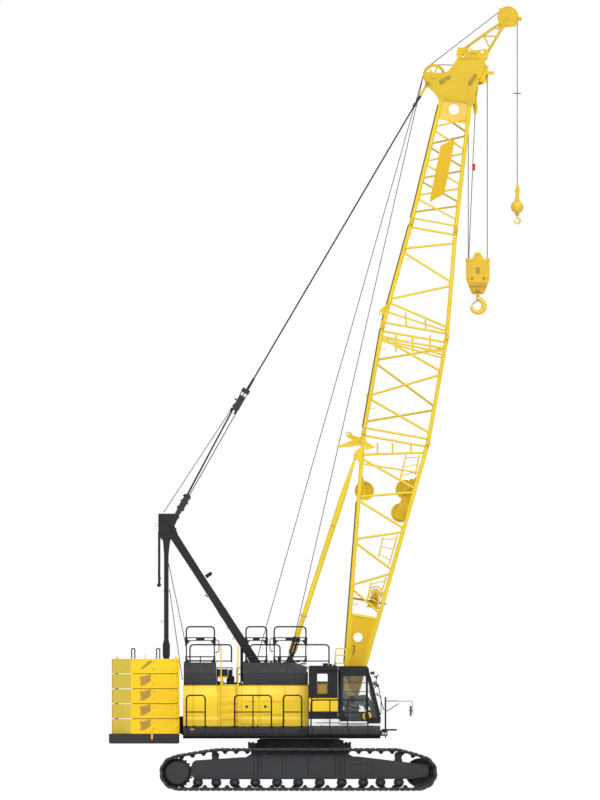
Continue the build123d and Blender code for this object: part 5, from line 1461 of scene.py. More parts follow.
def makeBallast():
    slabs, tails, gapShade, pockets, dark = newShapes(5)
    bolts = []
    rear, front, inner, outer, height = (ballast[k] for k in ("rear", "front", "inner", "outer", "height"))
    for side in (-1, 1):
        # the turned-in rear third is its own piece, drawn in the darker yellow of painted shade
        tail = [(rear, side * inner), (rear, side * 1960), (rear + 40, side * 2050),
                (ballast["turnIn"], side * (outer - 14)), (ballast["turnIn"], side * inner)]
        plan = [(ballast["turnIn"], side * inner), (ballast["turnIn"], side * (outer - 14)),
                (ballast["turnIn"] + 40, side * (outer - 2)), (front - 90, side * (outer - 2)),
                (front, side * (outer - 60)), (front, side * inner)]
        within = [(-4760, side * (inner + 20)), (-4760, side * (outer - 24)), (front - 70, side * (outer - 24)),
                  (front - 40, side * (inner + 20))]
        for level in range(ballast["blocks"]):
            z0 = ballast["bottom"] + level * height
            z1 = z0 + height - 0.3
            for shape, outline in ((slabs, plan), (tails, tail)):
                addSlab(shape, outline, z0 + (ballast["gap"] if level else 0),
                        z1 - (0 if level == ballast["blocks"] - 1 else ballast["gap"]))
            # a dark grey core behind each gap between blocks, painted shade in the gap
            if level:
                addSlab(gapShade, within, z0 - ballast["gap"] - 1, z0 + ballast["gap"] + 1)
                addSlab(gapShade, [(rear + 90, side * (inner + 20)), (rear + 90, side * 1960), (rear + 150, side * 2020),
                                (rear + 190, side * 2020), (rear + 190, side * (inner + 20))],
                        z0 - ballast["gap"] - 1, z0 + ballast["gap"] + 1)
            # the cast lifting pocket, its lugs, and dowels along the front edge
            face = side * (outer - 2)
            if level < ballast["blocks"] - 1:
                shape = [(x, z1 - rise) for x, rise in ballast["pocket"]]
            else:
                shape = shifted(0, z1, (-4545, -300), (-4290, -60), (-4180, -40), (-4180, -96), (-4440, -292))
            addPlate(pockets, shape, face + side * 1.5, face - side * 20)
            # the pocket's hollow, drawn in the darker ochre as painted shade
            hollow = [(sum(p[0] for p in shape) / len(shape) * 0.16 + x * 0.84,
                       sum(p[1] for p in shape) / len(shape) * 0.16 + z * 0.84) for x, z in shape]
            addPlate(dark, hollow, face + side * 3, face - side * 20)
            for x, dz in ((-4130, 60), (-4160, 250)):
                addPlate(pockets, shifted(x, z1 - dz, (-42, -62), (26, 0), (44, -8), (10, -66)), face, face + side * 2)
            for x, dz in ((-3480, 70), (-3600, 40), (-3466, 250), (-3560, 330), (-3466, 390)):
                bolts.append(((x, face, z1 - dz), outward(side), 0.9))
        top = ballast["bottom"] + 5 * height
        for x in (-5175, -4374, -3506):
            addRod(slabs, (x, side * 1600, top - 4), (x, side * 1600, top + (130 if x == -4374 else 60)),
                   12 if x == -4374 else 30, 16)
        addPanel(slabs, -4215, -4165, 1470, 1660, outer + 2, outer - 4, side)
        addPlate(pockets, [(-4240, 1610), (-4140, 1610), (-4160, 1670), (-4220, 1670)], outer + 4, outer - 4, side)
    addPiece("ballastBlocks", slabs, ballastShadedYellow, "upperworks", ("ballast_blocks",), bevel=7)
    addPiece("ballastTails", tails, tailShadeYellow, "upperworks", bevel=7)
    addPiece("ballastCores", gapShade, lowerGrey, "upperworks")
    addPiece("ballastPockets", pockets, ochreShade, "upperworks", bevel=2)
    addPiece("ballastPocketBeds", dark, darkOchreAndShade, "upperworks")
    addRepeats("ballastDowels", boltHead(14, 10), bolts, ochreShade, "upperworks")
    loops = []
    for side in (-1, 1):
        y = side * 1600
        for x in (-4722, -4013):
            loops.append(hoop(x - 44, x + 44, y, 3740, 4043))
    addTubes("liftingLoops", loops, 17, black, "upperworks", bend=26)
    tray, feet = newShapes(2)
    trayBolts = []
    addSlab(tray, [(-5413, -2290), (-5350, -2350), (-3450, -2350), (-3414, -2320), (-3414, 2320), (-3450, 2350),
                   (-5350, 2350), (-5413, 2290)], 1362, 1627)
    addSlab(feet, [(-5380, -2300), (-3440, -2300), (-3440, 2300), (-5380, 2300)], 1346, 1362)
    for side in (-1, 1):
        for x in (-5200, -4700, -3900, -3560):
            trayBolts.append(((x, side * 2350, 1500), outward(side), 1.4))
    addPiece("ballastTray", tray, darkGrey, "upperworks", ("ballast_tray",), bevel=12)
    addPiece("ballastTrayFeet", feet, black, "upperworks")
    addRepeats("ballastTrayBolts", boltHead(20, 16), trayBolts, darkGrey, "upperworks")


gantrySizes = {"postX": -3783, "half": 66, "inner": 650, "outer": 770, "strutTop": (-3600, 7290),
               "strutFoot": (-454, 2414), "width": 240}


def makeGantry():
    refine("gantry", gantryBlack, 9)
    trims, links = newShapes(2)
    bolts, rings = [], []
    x, half = gantrySizes["postX"], gantrySizes["half"]
    (x0, z0), (x1, z1) = gantrySizes["strutTop"], gantrySizes["strutFoot"]
    span = hypot(x1 - x0, z1 - z0)
    ux, uz = (x1 - x0) / span, (z1 - z0) / span
    for side in (-1, 1):
        outer, inner = side * gantrySizes["outer"], side * gantrySizes["inner"]
        # flare below the head, collars on the post, and its foot with a slot and pin
        addPlate(trims, [(-3886, 7134), (-3660, 7134), (-3680, 7040), (-3702, 6850), (-3716, 6700), (-3850, 6700),
                         (-3860, 6850), (-3874, 7040)],
                 inner + side * 6, outer + side * 8)
        for z in (5650, 5710, 4390):
            addBox(trims, x - half - 7, x + half + 7, inner - side * 6, outer + side * 6, z, z + 34)
        addPanel(trims, x - 60, x + 60, 3700, 3760, inner - side * 8, outer + side * 8)
        addRoll(trims, x, 3820, 34, inner - side * 20, outer + side * 20, 24)
        # doubling plates on the strut, its stub, and the foot's pin caps
        for a, b, w in ((0.02, 0.2, 0.55), (0.44, 0.5, 0.58), (0.9, 0.985, 0.56)):
            wide = gantrySizes["width"] * w * 0.9
            corners = ((a, wide), (b, wide * 0.92), (b, -wide * 0.92), (a, -wide))
            addPlate(trims, [(x0 + ux * span * at - uz * off, z0 + uz * span * at + ux * off) for at, off in corners],
                     outer - side * 2, outer + side * 10)
        addRod(trims, (-2663, outer - side * 60, 6080), (-2508, outer - side * 60, 6186), 52, 28)
        addRod(trims, (-2508, outer - side * 60, 6186), (-2490, outer - side * 60, 6198), 40, 24)
        addPlate(trims, [(-2700, 5560), (-2620, 5500), (-2600, 5530), (-2680, 5590)], outer - side * 50,
                 outer - side * 30)
        px, pz = x1, z1
        addRoll(trims, px, pz, 88, outer + side * 4, outer + side * 58, 32)
        bolts += [((px + 62 * cos(a), outer + side * 58, pz + 62 * sin(a)), outward(side), 0.9)
                  for a in (pi * i / 3 for i in range(6))]
        addBox(trims, -1680, -1600, 560, 630, 3652 - 560, 3652 + 620, side)
        addBox(trims, -1640, -1560, 560, 620, 3930, 4260, side)
        # head plates: doubling, pin bosses and ears
        addPanel(trims, -3960, -3640, 7300, 7800, outer, outer + side * 10)
        addRoll(trims, -3635, 7583, 104, outer - side * 4, outer + side * 26, 32)
        addRoll(trims, -3900, 7700, 60, outer - side * 4, outer + side * 22, 24)
        addRoll(trims, -3560, 7420, 70, outer - side * 50, outer + side * 14, 24)
        addBox(trims, -4010, -3990, outer - side * 60, outer + side * 16, 7300, 7840)
        bolts += [((px2, outer + side * 10, pz2), outward(side), 0.9)
                  for px2 in (-3930, -3670) for pz2 in (7330, 7560, 7770)]
        # hanging link behind the post, with a fork at the top and a rounded eye at its foot
        linksY = side * 700
        addRod(links, (-3990, linksY, 7110), (-3990, linksY, 5905), 27, 20)
        addBall(links, (-3990, linksY, 5850), 60, 20)
        addRod(links, (-3990, linksY, 6800), (-3990, linksY, 6860), 36, 20)
        addRod(links, (-3990, linksY, 6130), (-3990, linksY, 6190), 36, 20)
        addRod(links, (-3990, linksY, 6040), (-3930, linksY, 6040), 22, 14)
        addPlate(links, [(-4018, 7080), (-3962, 7080), (-3950, 7200), (-4000, 7220)], linksY - 40, linksY + 40)
        addRoll(links, -3985, 7150, 34, linksY - 52, linksY + 52, 20)
        for spot, radius in (((-3905, outer + side * 4, 4820), 34), ((-2040, outer - side * 40, 4650), 30),
                             ((-1880, outer - side * 40, 4330), 30), ((-4040, outer - side * 40, 7560), 44)):
            rings.append((spot, radius))
    hooks = []
    for (cx, cy, cz), radius in rings:
        hooks.append([(cx + radius * cos(a), cy, cz + radius * sin(a)) for a in (2 * pi * i / 16 for i in range(17))])
    addPiece("gantryTrim", trims, gantryBlack, "upperworks", bevel=5)
    addPiece("gantryLinks", links, black, "upperworks", bevel=3, smooth=40)
    addTubes("gantryRings", hooks, 7, turned, "upperworks")
    addRepeats("gantryBolts", boltHead(17, 16), bolts, gantryBlack, "upperworks")


makeBallast()
makeGantry()
print("counterweight and gantry ready")


# Boom: x forwards, y to the left, and the station along it upwards, all in its own frame

boom = {
    "offset": 84, "half": 925, "chordRadius": 57.5, "footHalf": 169, "baseEnd": 7575, "insertEnd": 10625,
    "taperEnd": 13675, "topEnd": 17230, "taperHalf": 637, "topHalf": 410, "platedEnd": 2435, "spread": 52,
}


def chordX(along):  # half the depth of the boom at a station
    base, insert, taper, top = (boom[k] for k in ("baseEnd", "insertEnd", "taperEnd", "topEnd"))
    if along <= base:
        return boom["footHalf"] + (boom["half"] - boom["footHalf"]) * along / base
    if along <= insert:
        return boom["half"]
    if along <= taper:
        return boom["half"] + (boom["taperHalf"] - boom["half"]) * (along - insert) / (taper - insert)
    return boom["taperHalf"] + (boom["topHalf"] - boom["taperHalf"]) * (along - taper) / (top - taper)


def chordAt(side, face, along):  # side -1 right, 1 left; face -1 rear, 1 front
    y = boom["half"] if along <= boom["insertEnd"] else chordX(along)
    return Vector((-boom["offset"] + face * chordX(along), side * y, along))


def shares(low, high, values):
    return [low + value * (high - low) for value in values]


def laceLine(start, end):  # a brace that ends at the chords' skins
    bite = (end - start).normalized() * boom["chordRadius"] * 0.8
    return [start + bite, end - bite]


def faceLaces(sideStations, crossStations, startFace):
    lines, spread = [], boom["spread"]
    for side in (-1, 1):
        face = startFace[side]
        for low, high in zip(sideStations, sideStations[1:]):
            lines.append(laceLine(chordAt(side, face, low + spread), chordAt(side, -face, high - spread)))
            face = -face
    for face in (-1, 1):
        side = face
        for low, high in zip(crossStations, crossStations[1:]):
            lines.append(laceLine(chordAt(side, face, low + spread), chordAt(-side, face, high - spread)))
            side = -side
    return lines


def frameLines(along):
    corners = [chordAt(-1, -1, along), chordAt(-1, 1, along), chordAt(1, 1, along), chordAt(1, -1, along)]
    return [laceLine(a, b) for a, b in zip(corners, corners[1:] + corners[:1])]


def joints(shape, pins, along):  # the pinned connectors of one section end: two ears and a pin on every chord
    for side in (-1, 1):
        for face in (-1, 1):
            for end, way in ((0, -1), (1, 1)):
                at = chordAt(side, face, along + way * 8)
                far = chordAt(side, face, along + way * 190)
                heading = (far - at).normalized()
                if end:
                    for y in (-34, 34):
                        addRod(shape, at + Vector((0, y, 0)) - heading * 70, at + Vector((0, y, 0)) + heading * 120,
                               44, 14)
                else:
                    addRod(shape, at + heading * 10, at + heading * 140, 62, 20)
            centre = chordAt(side, face, along)
            addRod(shape, centre - Vector((0, 74, 0)), centre + Vector((0, 74, 0)), 74, 24)
            addRod(pins, centre - Vector((0, 104, 0)), centre + Vector((0, 104, 0)), 30, 18)
            addRod(pins, centre + Vector((0, side * 104, 0)), centre + Vector((0, side * 116, 0)), 40, 18)


def makeBoom():
    base, insert, taper, top, plated = (boom[k] for k in ("baseEnd", "insertEnd", "taperEnd", "topEnd", "platedEnd"))
    sections = {
        "boom_base": (120, base, shares(plated, base, (0.021, 0.148, 0.268, 0.401, 0.505, 0.634, 0.732, 0.866, 0.959)),
                      shares(plated, base, (0.032, 0.285, 0.518, 0.752, 0.966)), {-1: 1, 1: 1}, 33,
                      (plated - 20, base - 90)),
        "boom_insert": (base, insert, shares(base, insert, (0.083, 0.333, 0.667, 0.917)),
                        shares(base, insert, (0.141, 0.397, 0.603, 0.859)), {-1: 1, 1: -1}, 33,
                        (base + 130, insert - 130)),
        "boom_tapered_insert": (insert, taper, shares(insert, taper, (0.081, 0.247, 0.502, 0.733, 0.897)),
                                shares(insert, taper, (0.141, 0.374, 0.616, 0.839)), {-1: 1, 1: 1}, 33,
                                (insert + 120, taper - 130)),
    }
    step = (top - taper - 560) / 6
    nodes = [taper + 250 + number * step for number in range(7)]
    sections["boom_top"] = (taper, top, nodes, [station + step / 2 for station in nodes[:-2]], {-1: 1, 1: -1}, 28,
                            (taper + 130,))
    connectors, pins, gussets, beads = newShapes(4)
    for name, (low, high, sideNodes, crossNodes, startFace, laceRadius, ends) in sections.items():
        chordLines = [[chordAt(side, face, low + 4), chordAt(side, face, high - 4)]
                      for side in (-1, 1) for face in (-1, 1)]
        addTubes(f"{name}Chords", chordLines, boom["chordRadius"], boomYellow, "boom", (name,), sides=28)
        lines = faceLaces(sideNodes, crossNodes, startFace)
        for along in ends:
            lines += frameLines(along)
        addTubes(f"{name}Laces", lines, laceRadius, boomYellow, "boom", sides=18)
        for number, along in enumerate(sideNodes):  # weld beads and small gussets where braces meet the chords
            for side in (-1, 1):
                for face in (-1, 1):
                    at = chordAt(side, face, along)
                    toward = Vector((-face, 0, 0))
                    addPlate(gussets, [(at.x + toward.x * 40, along - 46), (at.x + toward.x * 92, along),
                                       (at.x + toward.x * 40, along + 46)],
                             at.y - 5, at.y + 5)
        for start, end in lines:
            heading = (end - start).normalized()
            for tip, way in ((start, 1), (end, -1)):
                addRod(beads, tip + heading * way * 8, tip + heading * way * 24, laceRadius + 7, 14, laceRadius + 2)
    for along in (base, insert, taper):
        joints(connectors, pins, along)
    # short verticals between an end frame and the joint
    verticals = []
    for side in (-1, 1):
        verticals.append(laceLine(chordAt(side, -1, insert - 270), chordAt(side, 1, insert - 330)))
    addTubes("boomVerticals", verticals, 20, boomYellow, "boom", sides=12)
    # plated leg of the base section: web with its round hole, flanges, foot boss and doubling plates
    webs, trims = newShapes(2)
    hoses = []
    for side in (-1, 1):
        y = side * boom["half"]
        web = [(-boom["offset"] + face * chordX(along), along)
               for face, along in ((-1, 20), (1, 20), (1, plated), (-1, plated))]
        addPad(webs, web, y - 12, y + 12, [(-150, 1809, 133)])
        addCollar(webs, (-150, y, 1809), across, 131, 146, -26, 26, 48)
        addCollar(trims, (0, y, 0), across, 71, 170, -60, 60)
        addPlate(trims, [(-250, 110), (112, 110), (190, 330), (-330, 330)], y - 50, y + 50)
        for face in (-1, 1):
            a, b = chordAt(side, face, 330), chordAt(side, face, plated - 30)
            inset = -face * 88
            addPlate(trims, [(a.x + inset, a.z), (b.x + inset, b.z), (b.x + inset * 0.5, b.z + 60),
                             (a.x + inset * 0.5, a.z)], y - 20, y + 20)
        addPlate(trims, shifted(0, plated, (-470, -60), (300, -60), (320, 30), (-490, 30)), y - 22, y + 22)
        hoses.append([(-250, y + side * 26, 1580), (-190, y + side * 30, 1540), (-230, y + side * 30, 1470),
                      (-160, y + side * 30, 1430), (-215, y + side * 30, 1360), (-200, y + side * 26, 1300)])
    addPiece("boomWebs", webs, webYellow, "boom", bevel=3)
    addPiece("boomWebTrim", trims, boomYellow, "boom", bevel=4)
    addTubes("boomWebHoses", hoses, 9, plastic, "boom", bend=40)
    addPiece("boomConnectors", connectors, castYellow, "boom", smooth=40)
    addPiece("boomPins", pins, castYellow, "boom", bevel=2)
    addPiece("boomGussets", gussets, boomYellow, "boom", bevel=1)
    addPiece("boomWelds", beads, boomYellow, "boom", smooth=60)


makeBoom()
print("boom lattice ready")


# Boom head, its sheaves, and the nose for the auxiliary rope, all in the boom's own frame

head = {
    "top": 17230, "half": 360, "main": (399, 18131), "mainRadius": 270, "guide": (-826, 17912), "guideRadius": 290,
    "nose": (953, 19908), "noseRadius": 305, "ropeRadius": 14, "pendantPin": (-967, 17636),
}
headOutline = ((-555, 5), (335, 20), (490, 80), (435, 305), (460, 660), (565, 1210), (520, 1380), (-245, 1300),
               (-345, 1050), (-460, 850), (-565, 785), (-1100, 725), (-1120, 570), (-1010, 370), (-835, 250),
               (-695, 150))


def addSheave(rim, hub, x, along, y, radius, half, spokes):
    floor = radius - head["ropeRadius"]
    centre = (x, y, along)
    addLathe(rim, centre, across, [(floor - 40, -half * 0.5), (floor + 34, -half), (floor + 38, -half + 5),
                                   (floor, -8), (floor, 8),
                                      (floor + 38, half - 5), (floor + 34, half), (floor - 40, half * 0.5)], 56)
    addLathe(hub, centre, across, [(40, -half), (78, -half), (84, -half * 0.6), (84, half * 0.6), (78, half),
                                   (40, half)], 32)
    if spokes:
        for number in range(spokes):
            turn = 2 * pi * (number + 0.3) / spokes
            aside = Vector((cos(turn), 0, sin(turn)))
            addRod(rim, Vector(centre) + aside * 70, Vector(centre) + aside * (floor - 30), 21, 12, 16)
    else:
        addCollar(rim, centre, across, 76, floor - 34, -9, 9, 48)


def makeHead():
    (plates, shade, dark), bolts, top = newShapes(3), [], head["top"]
    half = head["half"]
    mx, ma = head["main"]
    gx, ga = head["guide"]
    for side in (-1, 1):
        outer = side * half
        lift = [(x, top + rise) for x, rise in headOutline]
        middle = (sum(p[0] for p in lift) / len(lift), sum(p[1] for p in lift) / len(lift))
        addPlate(plates, [(p[0] * 0.985 + middle[0] * 0.015, p[1] * 0.985 + middle[1] * 0.015) for p in lift], outer,
                 outer + side * 5)
        # bosses on the axles, each with a keeper plate
        for x, along, radius in ((mx, ma, 104), (gx, ga, 88)):
            addLathe(shade, (x, outer, along), (0, side, 0),
                     [(30, 0), (radius, 0), (radius, 14), (radius - 16, 22), (30, 22)], 36)
            addPanel(shade, x - 66, x + 66, along - radius - 6, along - radius + 44, outer + side * 4,
                     outer + side * 26)
            bolts += [((x + dx, outer + side * 26, along - radius + 19), outward(side), 0.8) for dx in (-44, 44)]
        # lever brackets with their pins, and the rope guard carried in front
        for line, wide in ((((-600, 17745), (-400, 17925)), 66), (((215, 17850), (330, 18100)), 60)):
            (x0, a0), (x1, a1) = line
            length = hypot(x1 - x0, a1 - a0)
            ux, ua = (x1 - x0) / length, (a1 - a0) / length
            addPlate(dark, [(x0 - ua * wide, a0 + ux * wide), (x1 - ua * wide * 0.6, a1 + ux * wide * 0.6),
                            (x1 + ux * 60, a1 + ua * 60), (x1 + ua * wide * 0.6, a1 - ux * wide * 0.6),
                            (x0 + ua * wide, a0 - ux * wide), (x0 - ux * 40, a0 - ua * 40)],
                     outer + side * 4, outer + side * 30)
            addCollar(dark, (x1, outer, a1), (0, side, 0), 1, 46, 0, 44, 20)
            addCollar(dark, (x0, outer, a0), (0, side, 0), 1, 34, 0, 40, 20)
            addPlate(shade, [(x0 + ux * 120 + ua * 40, a0 + ua * 120 - ux * 40),
                             (x0 + ux * 200 + ua * 130, a0 + ua * 200 - ux * 130),
                             (x0 + ux * 240 + ua * 110, a0 + ua * 240 - ux * 110),
                             (x0 + ux * 170 + ua * 40, a0 + ua * 170 - ux * 40)],
                     outer + side * 4, outer + side * 16)
        addPlate(shade, [(470, 17960), (610, 17935), (700, 17960), (690, 18020), (620, 18060), (640, 18180),
                         (850, 18215), (838, 18310), (650, 18290), (660, 18420), (560, 18470),
                         (490, 18440)], outer - side * 60, outer - side * 36)
        addRoll(shade, 760, 18255, 34, outer - side * 20, outer - side * 80, 18)
        addPlate(plates, [(-380, 17300), (250, 17320), (250, 17345), (-380, 17325)], outer + side * 4,
                 outer + side * 12)
        bolts += [((x, outer + side * 5, a), outward(side), 0.8)
                  for x, a in ((-480, 17330), (380, 17340), (-100, 17560), (200, 17560), (-700, 17560), (460, 18500),
                               (-120, 18460))]
        # foot of the nose: a bracket with two pin eyes and a slot
        foot = [(-290, 18800), (-140, 18835), (60, 18862), (120, 18800), (330, 18840), (440, 18900), (570, 18880),
                (600, 18640), (-234, 18478), (-310, 18600)]
        addPad(shade, foot, outer + side * 2, outer + side * 24, [(-111, 18601, 44), (409, 18800, 48), (43, 18795, 34)])
        for x, a in ((-111, 18601), (409, 18800)):
            addCollar(shade, (x, outer, a), (0, side, 0), 44, 74, 20, 34, 28)
        addPlate(dark, [(60, 18668), (262, 18706), (256, 18734), (54, 18696)], outer + side * 22, outer + side * 27)
        for x, a in ((-60, 18770), (150, 18800), (330, 18830), (-180, 18700), (250, 18650), (100, 18620)):
            bolts.append(((x, outer + side * 24, a), outward(side), 0.8))
        # pendant pin and its cheek
        px, pa = head["pendantPin"]
        addRoll(shade, px, pa, 40, half + 4, 556, 24, side)
        addRoll(dark, px, pa, 58, 556, 572, 24, side)
    refine("boom_head", headYellow, 7)
    addPiece("headFaces", plates, headYellow, "boom", bevel=2)
    addPiece("headFittings", shade, castYellow, "boom", bevel=3)
    addPiece("headBrackets", dark, bracketYellow, "boom", bevel=3)
    addRepeats("headBolts", boltHead(17, 15), [(s[0], s[1], s[2]) for s in bolts], castYellow, "boom")
    rims, hubs = newShapes(2)
    for y in (-210, -70, 70, 210):
        addSheave(rims, hubs, mx, ma, y, head["mainRadius"], 33, 0)
    for y in (-120, 120):
        addSheave(rims, hubs, gx, ga, y, head["guideRadius"], 33, 6)
    addPiece("headSheaveRims", rims, castYellow, "boom", ("head_sheaves",), smooth=40)
    addPiece("headSheaveHubs", hubs, ochreShade, "boom", smooth=40)
    # end web of the top section, with a round hole
    webs = newShape()
    for side in (-1, 1):
        y = side * chordX(16970)
        outline = [(-84 + face * chordX(a), a) for face, a in ((-1, 16710), (1, 16710), (1, 17236), (-1, 17236))]
        addPad(webs, outline, y - 8, y + 8, [(-97, 17046, 150)])
        addCollar(webs, (-97, y, 17046), across, 148, 164, -20, 20, 48)
        addPanel(webs, -84 - chordX(16710), -84 + chordX(16710), 16700, 16724, y - 24, y + 24)
    addBox(webs, -494, 326, -440, 440, 17216, 17240)
    addPiece("topEndWebs", webs, paleYellow, "boom", bevel=2)
    capPlates = newShape()
    for face in (-1, 1):
        x = -84 + face * (chordX(17100) + 30)
        addPanel(capPlates, x - 8, x + 8, 17090, 17232, -430, 430)
    addPiece("topEndCaps", capPlates, boomYellow, "boom", bevel=2)


def makeNose():
    legs, discs, shade, rims, hubs = newShapes(5)
    bolts = []
    top = head["top"]
    nx, na = head["nose"]
    for side in (-1, 1):
        wide, near = side * 190, side * 112
        for start, end, radius in (((-150, 1528), (780, 2480), 40), ((541, 1530), (880, 2420), 40)):
            addRod(legs, (start[0], wide, top + start[1]), (end[0], near, top + end[1]), radius, 24)
        for start, end, y0, y1, radius in (((323, 2011), (730, 2076), 0.8, 0.78, 22),
                                           ((384, 2010), (590, 1730), 0.8, 0.9, 20),
                                           ((600, 2290), (820, 2300), 0.68, 0.66, 22)):
            addRod(legs, (start[0], wide * y0, top + start[1]), (end[0], wide * y1, top + end[1]), radius, 16)
        for x, rise in ((-130, 1510), (541, 1500)):
            addRoll(shade, x, top + rise, 62, 130, 250, 28, side)
            addRoll(shade, x, top + rise, 44, 250, 345, 24, side)
            addBox(shade, x - 46, x + 46, 320, 358, top + rise - 150, top + rise + 30, side)
            bolts.append(((x, side * 250, top + rise), outward(side), 1.4))
        y0, y1 = side * 92, side * 112
        addCollar(discs, (nx, 0, na), (0, side, 0), 1, head["noseRadius"] - 4, 92, 112, 72)
        addCollar(discs, (nx, 0, na), (0, side, 0), 270, 294, 108, 120, 72)
        addCollar(shade, (nx - 70, 0, na - 70), (0, side, 0), 1, 52, 108, 134, 30)
        addPlate(shade, shifted(nx, na, (-150, -50), (-110, -10), (-20, -60), (-60, -130)), y1, y1 + side * 10)
        for turn in range(4):
            spot = (nx + 240 * cos(turn * pi / 2 + 0.6), side * 112, na + 240 * sin(turn * pi / 2 + 0.6))
            bolts.append((spot, outward(side), 0.7))
        addPlate(shade, shifted(nx, na, (240, 40), (384, 62), (404, -50), (262, -78)), y0, y1 + side * 8)
        addPlate(shade, shifted(nx, na, (-10, -120), (250, -96), (280, -200), (220, -250), (60, -262), (-20, -200)),
                 y1 + side * 2, y1 + side * 14)
        addPlate(shade, shifted(nx, na, (-256, 110), (-214, 142), (-250, 210), (-300, 170)), y0, y1 + side * 6)
        addPlate(legs, [(700, 19500), (900, 19560), (960, 19700), (760, 19700)], y0 + side * 2, y1 - side * 2)
        addRoll(shade, 820, 19560, 40, 90, 150, 20, side)
    for x, a, radius in ((nx, na, 44), (nx - 230, na + 120, 24), (nx + 290, na - 10, 24), (820, 19560, 26),
                         (nx + 60, na - 240, 20)):
        addRoll(shade, x, a, radius, -128, 128, 24)
    addSheave(rims, hubs, nx, na, 0, 262, 34, 0)
    for x, rise in ((-130, 1510), (541, 1500)):
        addRoll(shade, x, top + rise, 40, -345, 345, 24)
    addPiece("noseLegs", legs, headYellow, "boom", ("auxiliary_jib",), bevel=2, smooth=40)
    addPiece("noseDiscs", discs, headYellow, "boom", bevel=3)
    addPiece("noseFittings", shade, castYellow, "boom", bevel=3)
    addPiece("noseSheaveRim", rims, castYellow, "boom", smooth=40)
    addPiece("noseSheaveHub", hubs, ochreShade, "boom", smooth=40)
    addRepeats("noseBolts", boltHead(15, 13), bolts, castYellow, "boom")


# places along the boom (x, along): a ladder is its two rails, near then far, and a strut or name plate its corners
boomFittings = {
    "side": 925, "plateAt": 674,
    "namePlate": ((-285, 15970), (75, 16245), (75, 15620), (50, 14635), (-320, 14325)),
    "standOffs": ((-260, 15700), (60, 15900), (-300, 14600), (30, 14800)),
    "ladders": (((285, 7150), (240, 6420), (660, 7215), (635, 6635)),
                ((50, 4740), (25, 4160), (445, 4870), (355, 3985)),
                ((-45, 3425), (-85, 2900), (335, 3635), (235, 2725))),
    "struts": (((-570, 7340), (-520, 7060)), ((-150, 7415), (-100, 7140)), ((365, 7505), (415, 7230)),
               ((-595, 10450), (-510, 9975)), ((-130, 10535), (-45, 10060)), ((360, 10620), (445, 10145)),
               ((-440, 11130), (-350, 10760)), ((150, 11030), (210, 10780))),
    "crossRails": ((10300, 10330), (10230, 10040), (10240, 10210), (11060, 10810), (6690, 6720)),
    "handles": (2700, 2760, 8275, 9990, 12620, 12990),
}


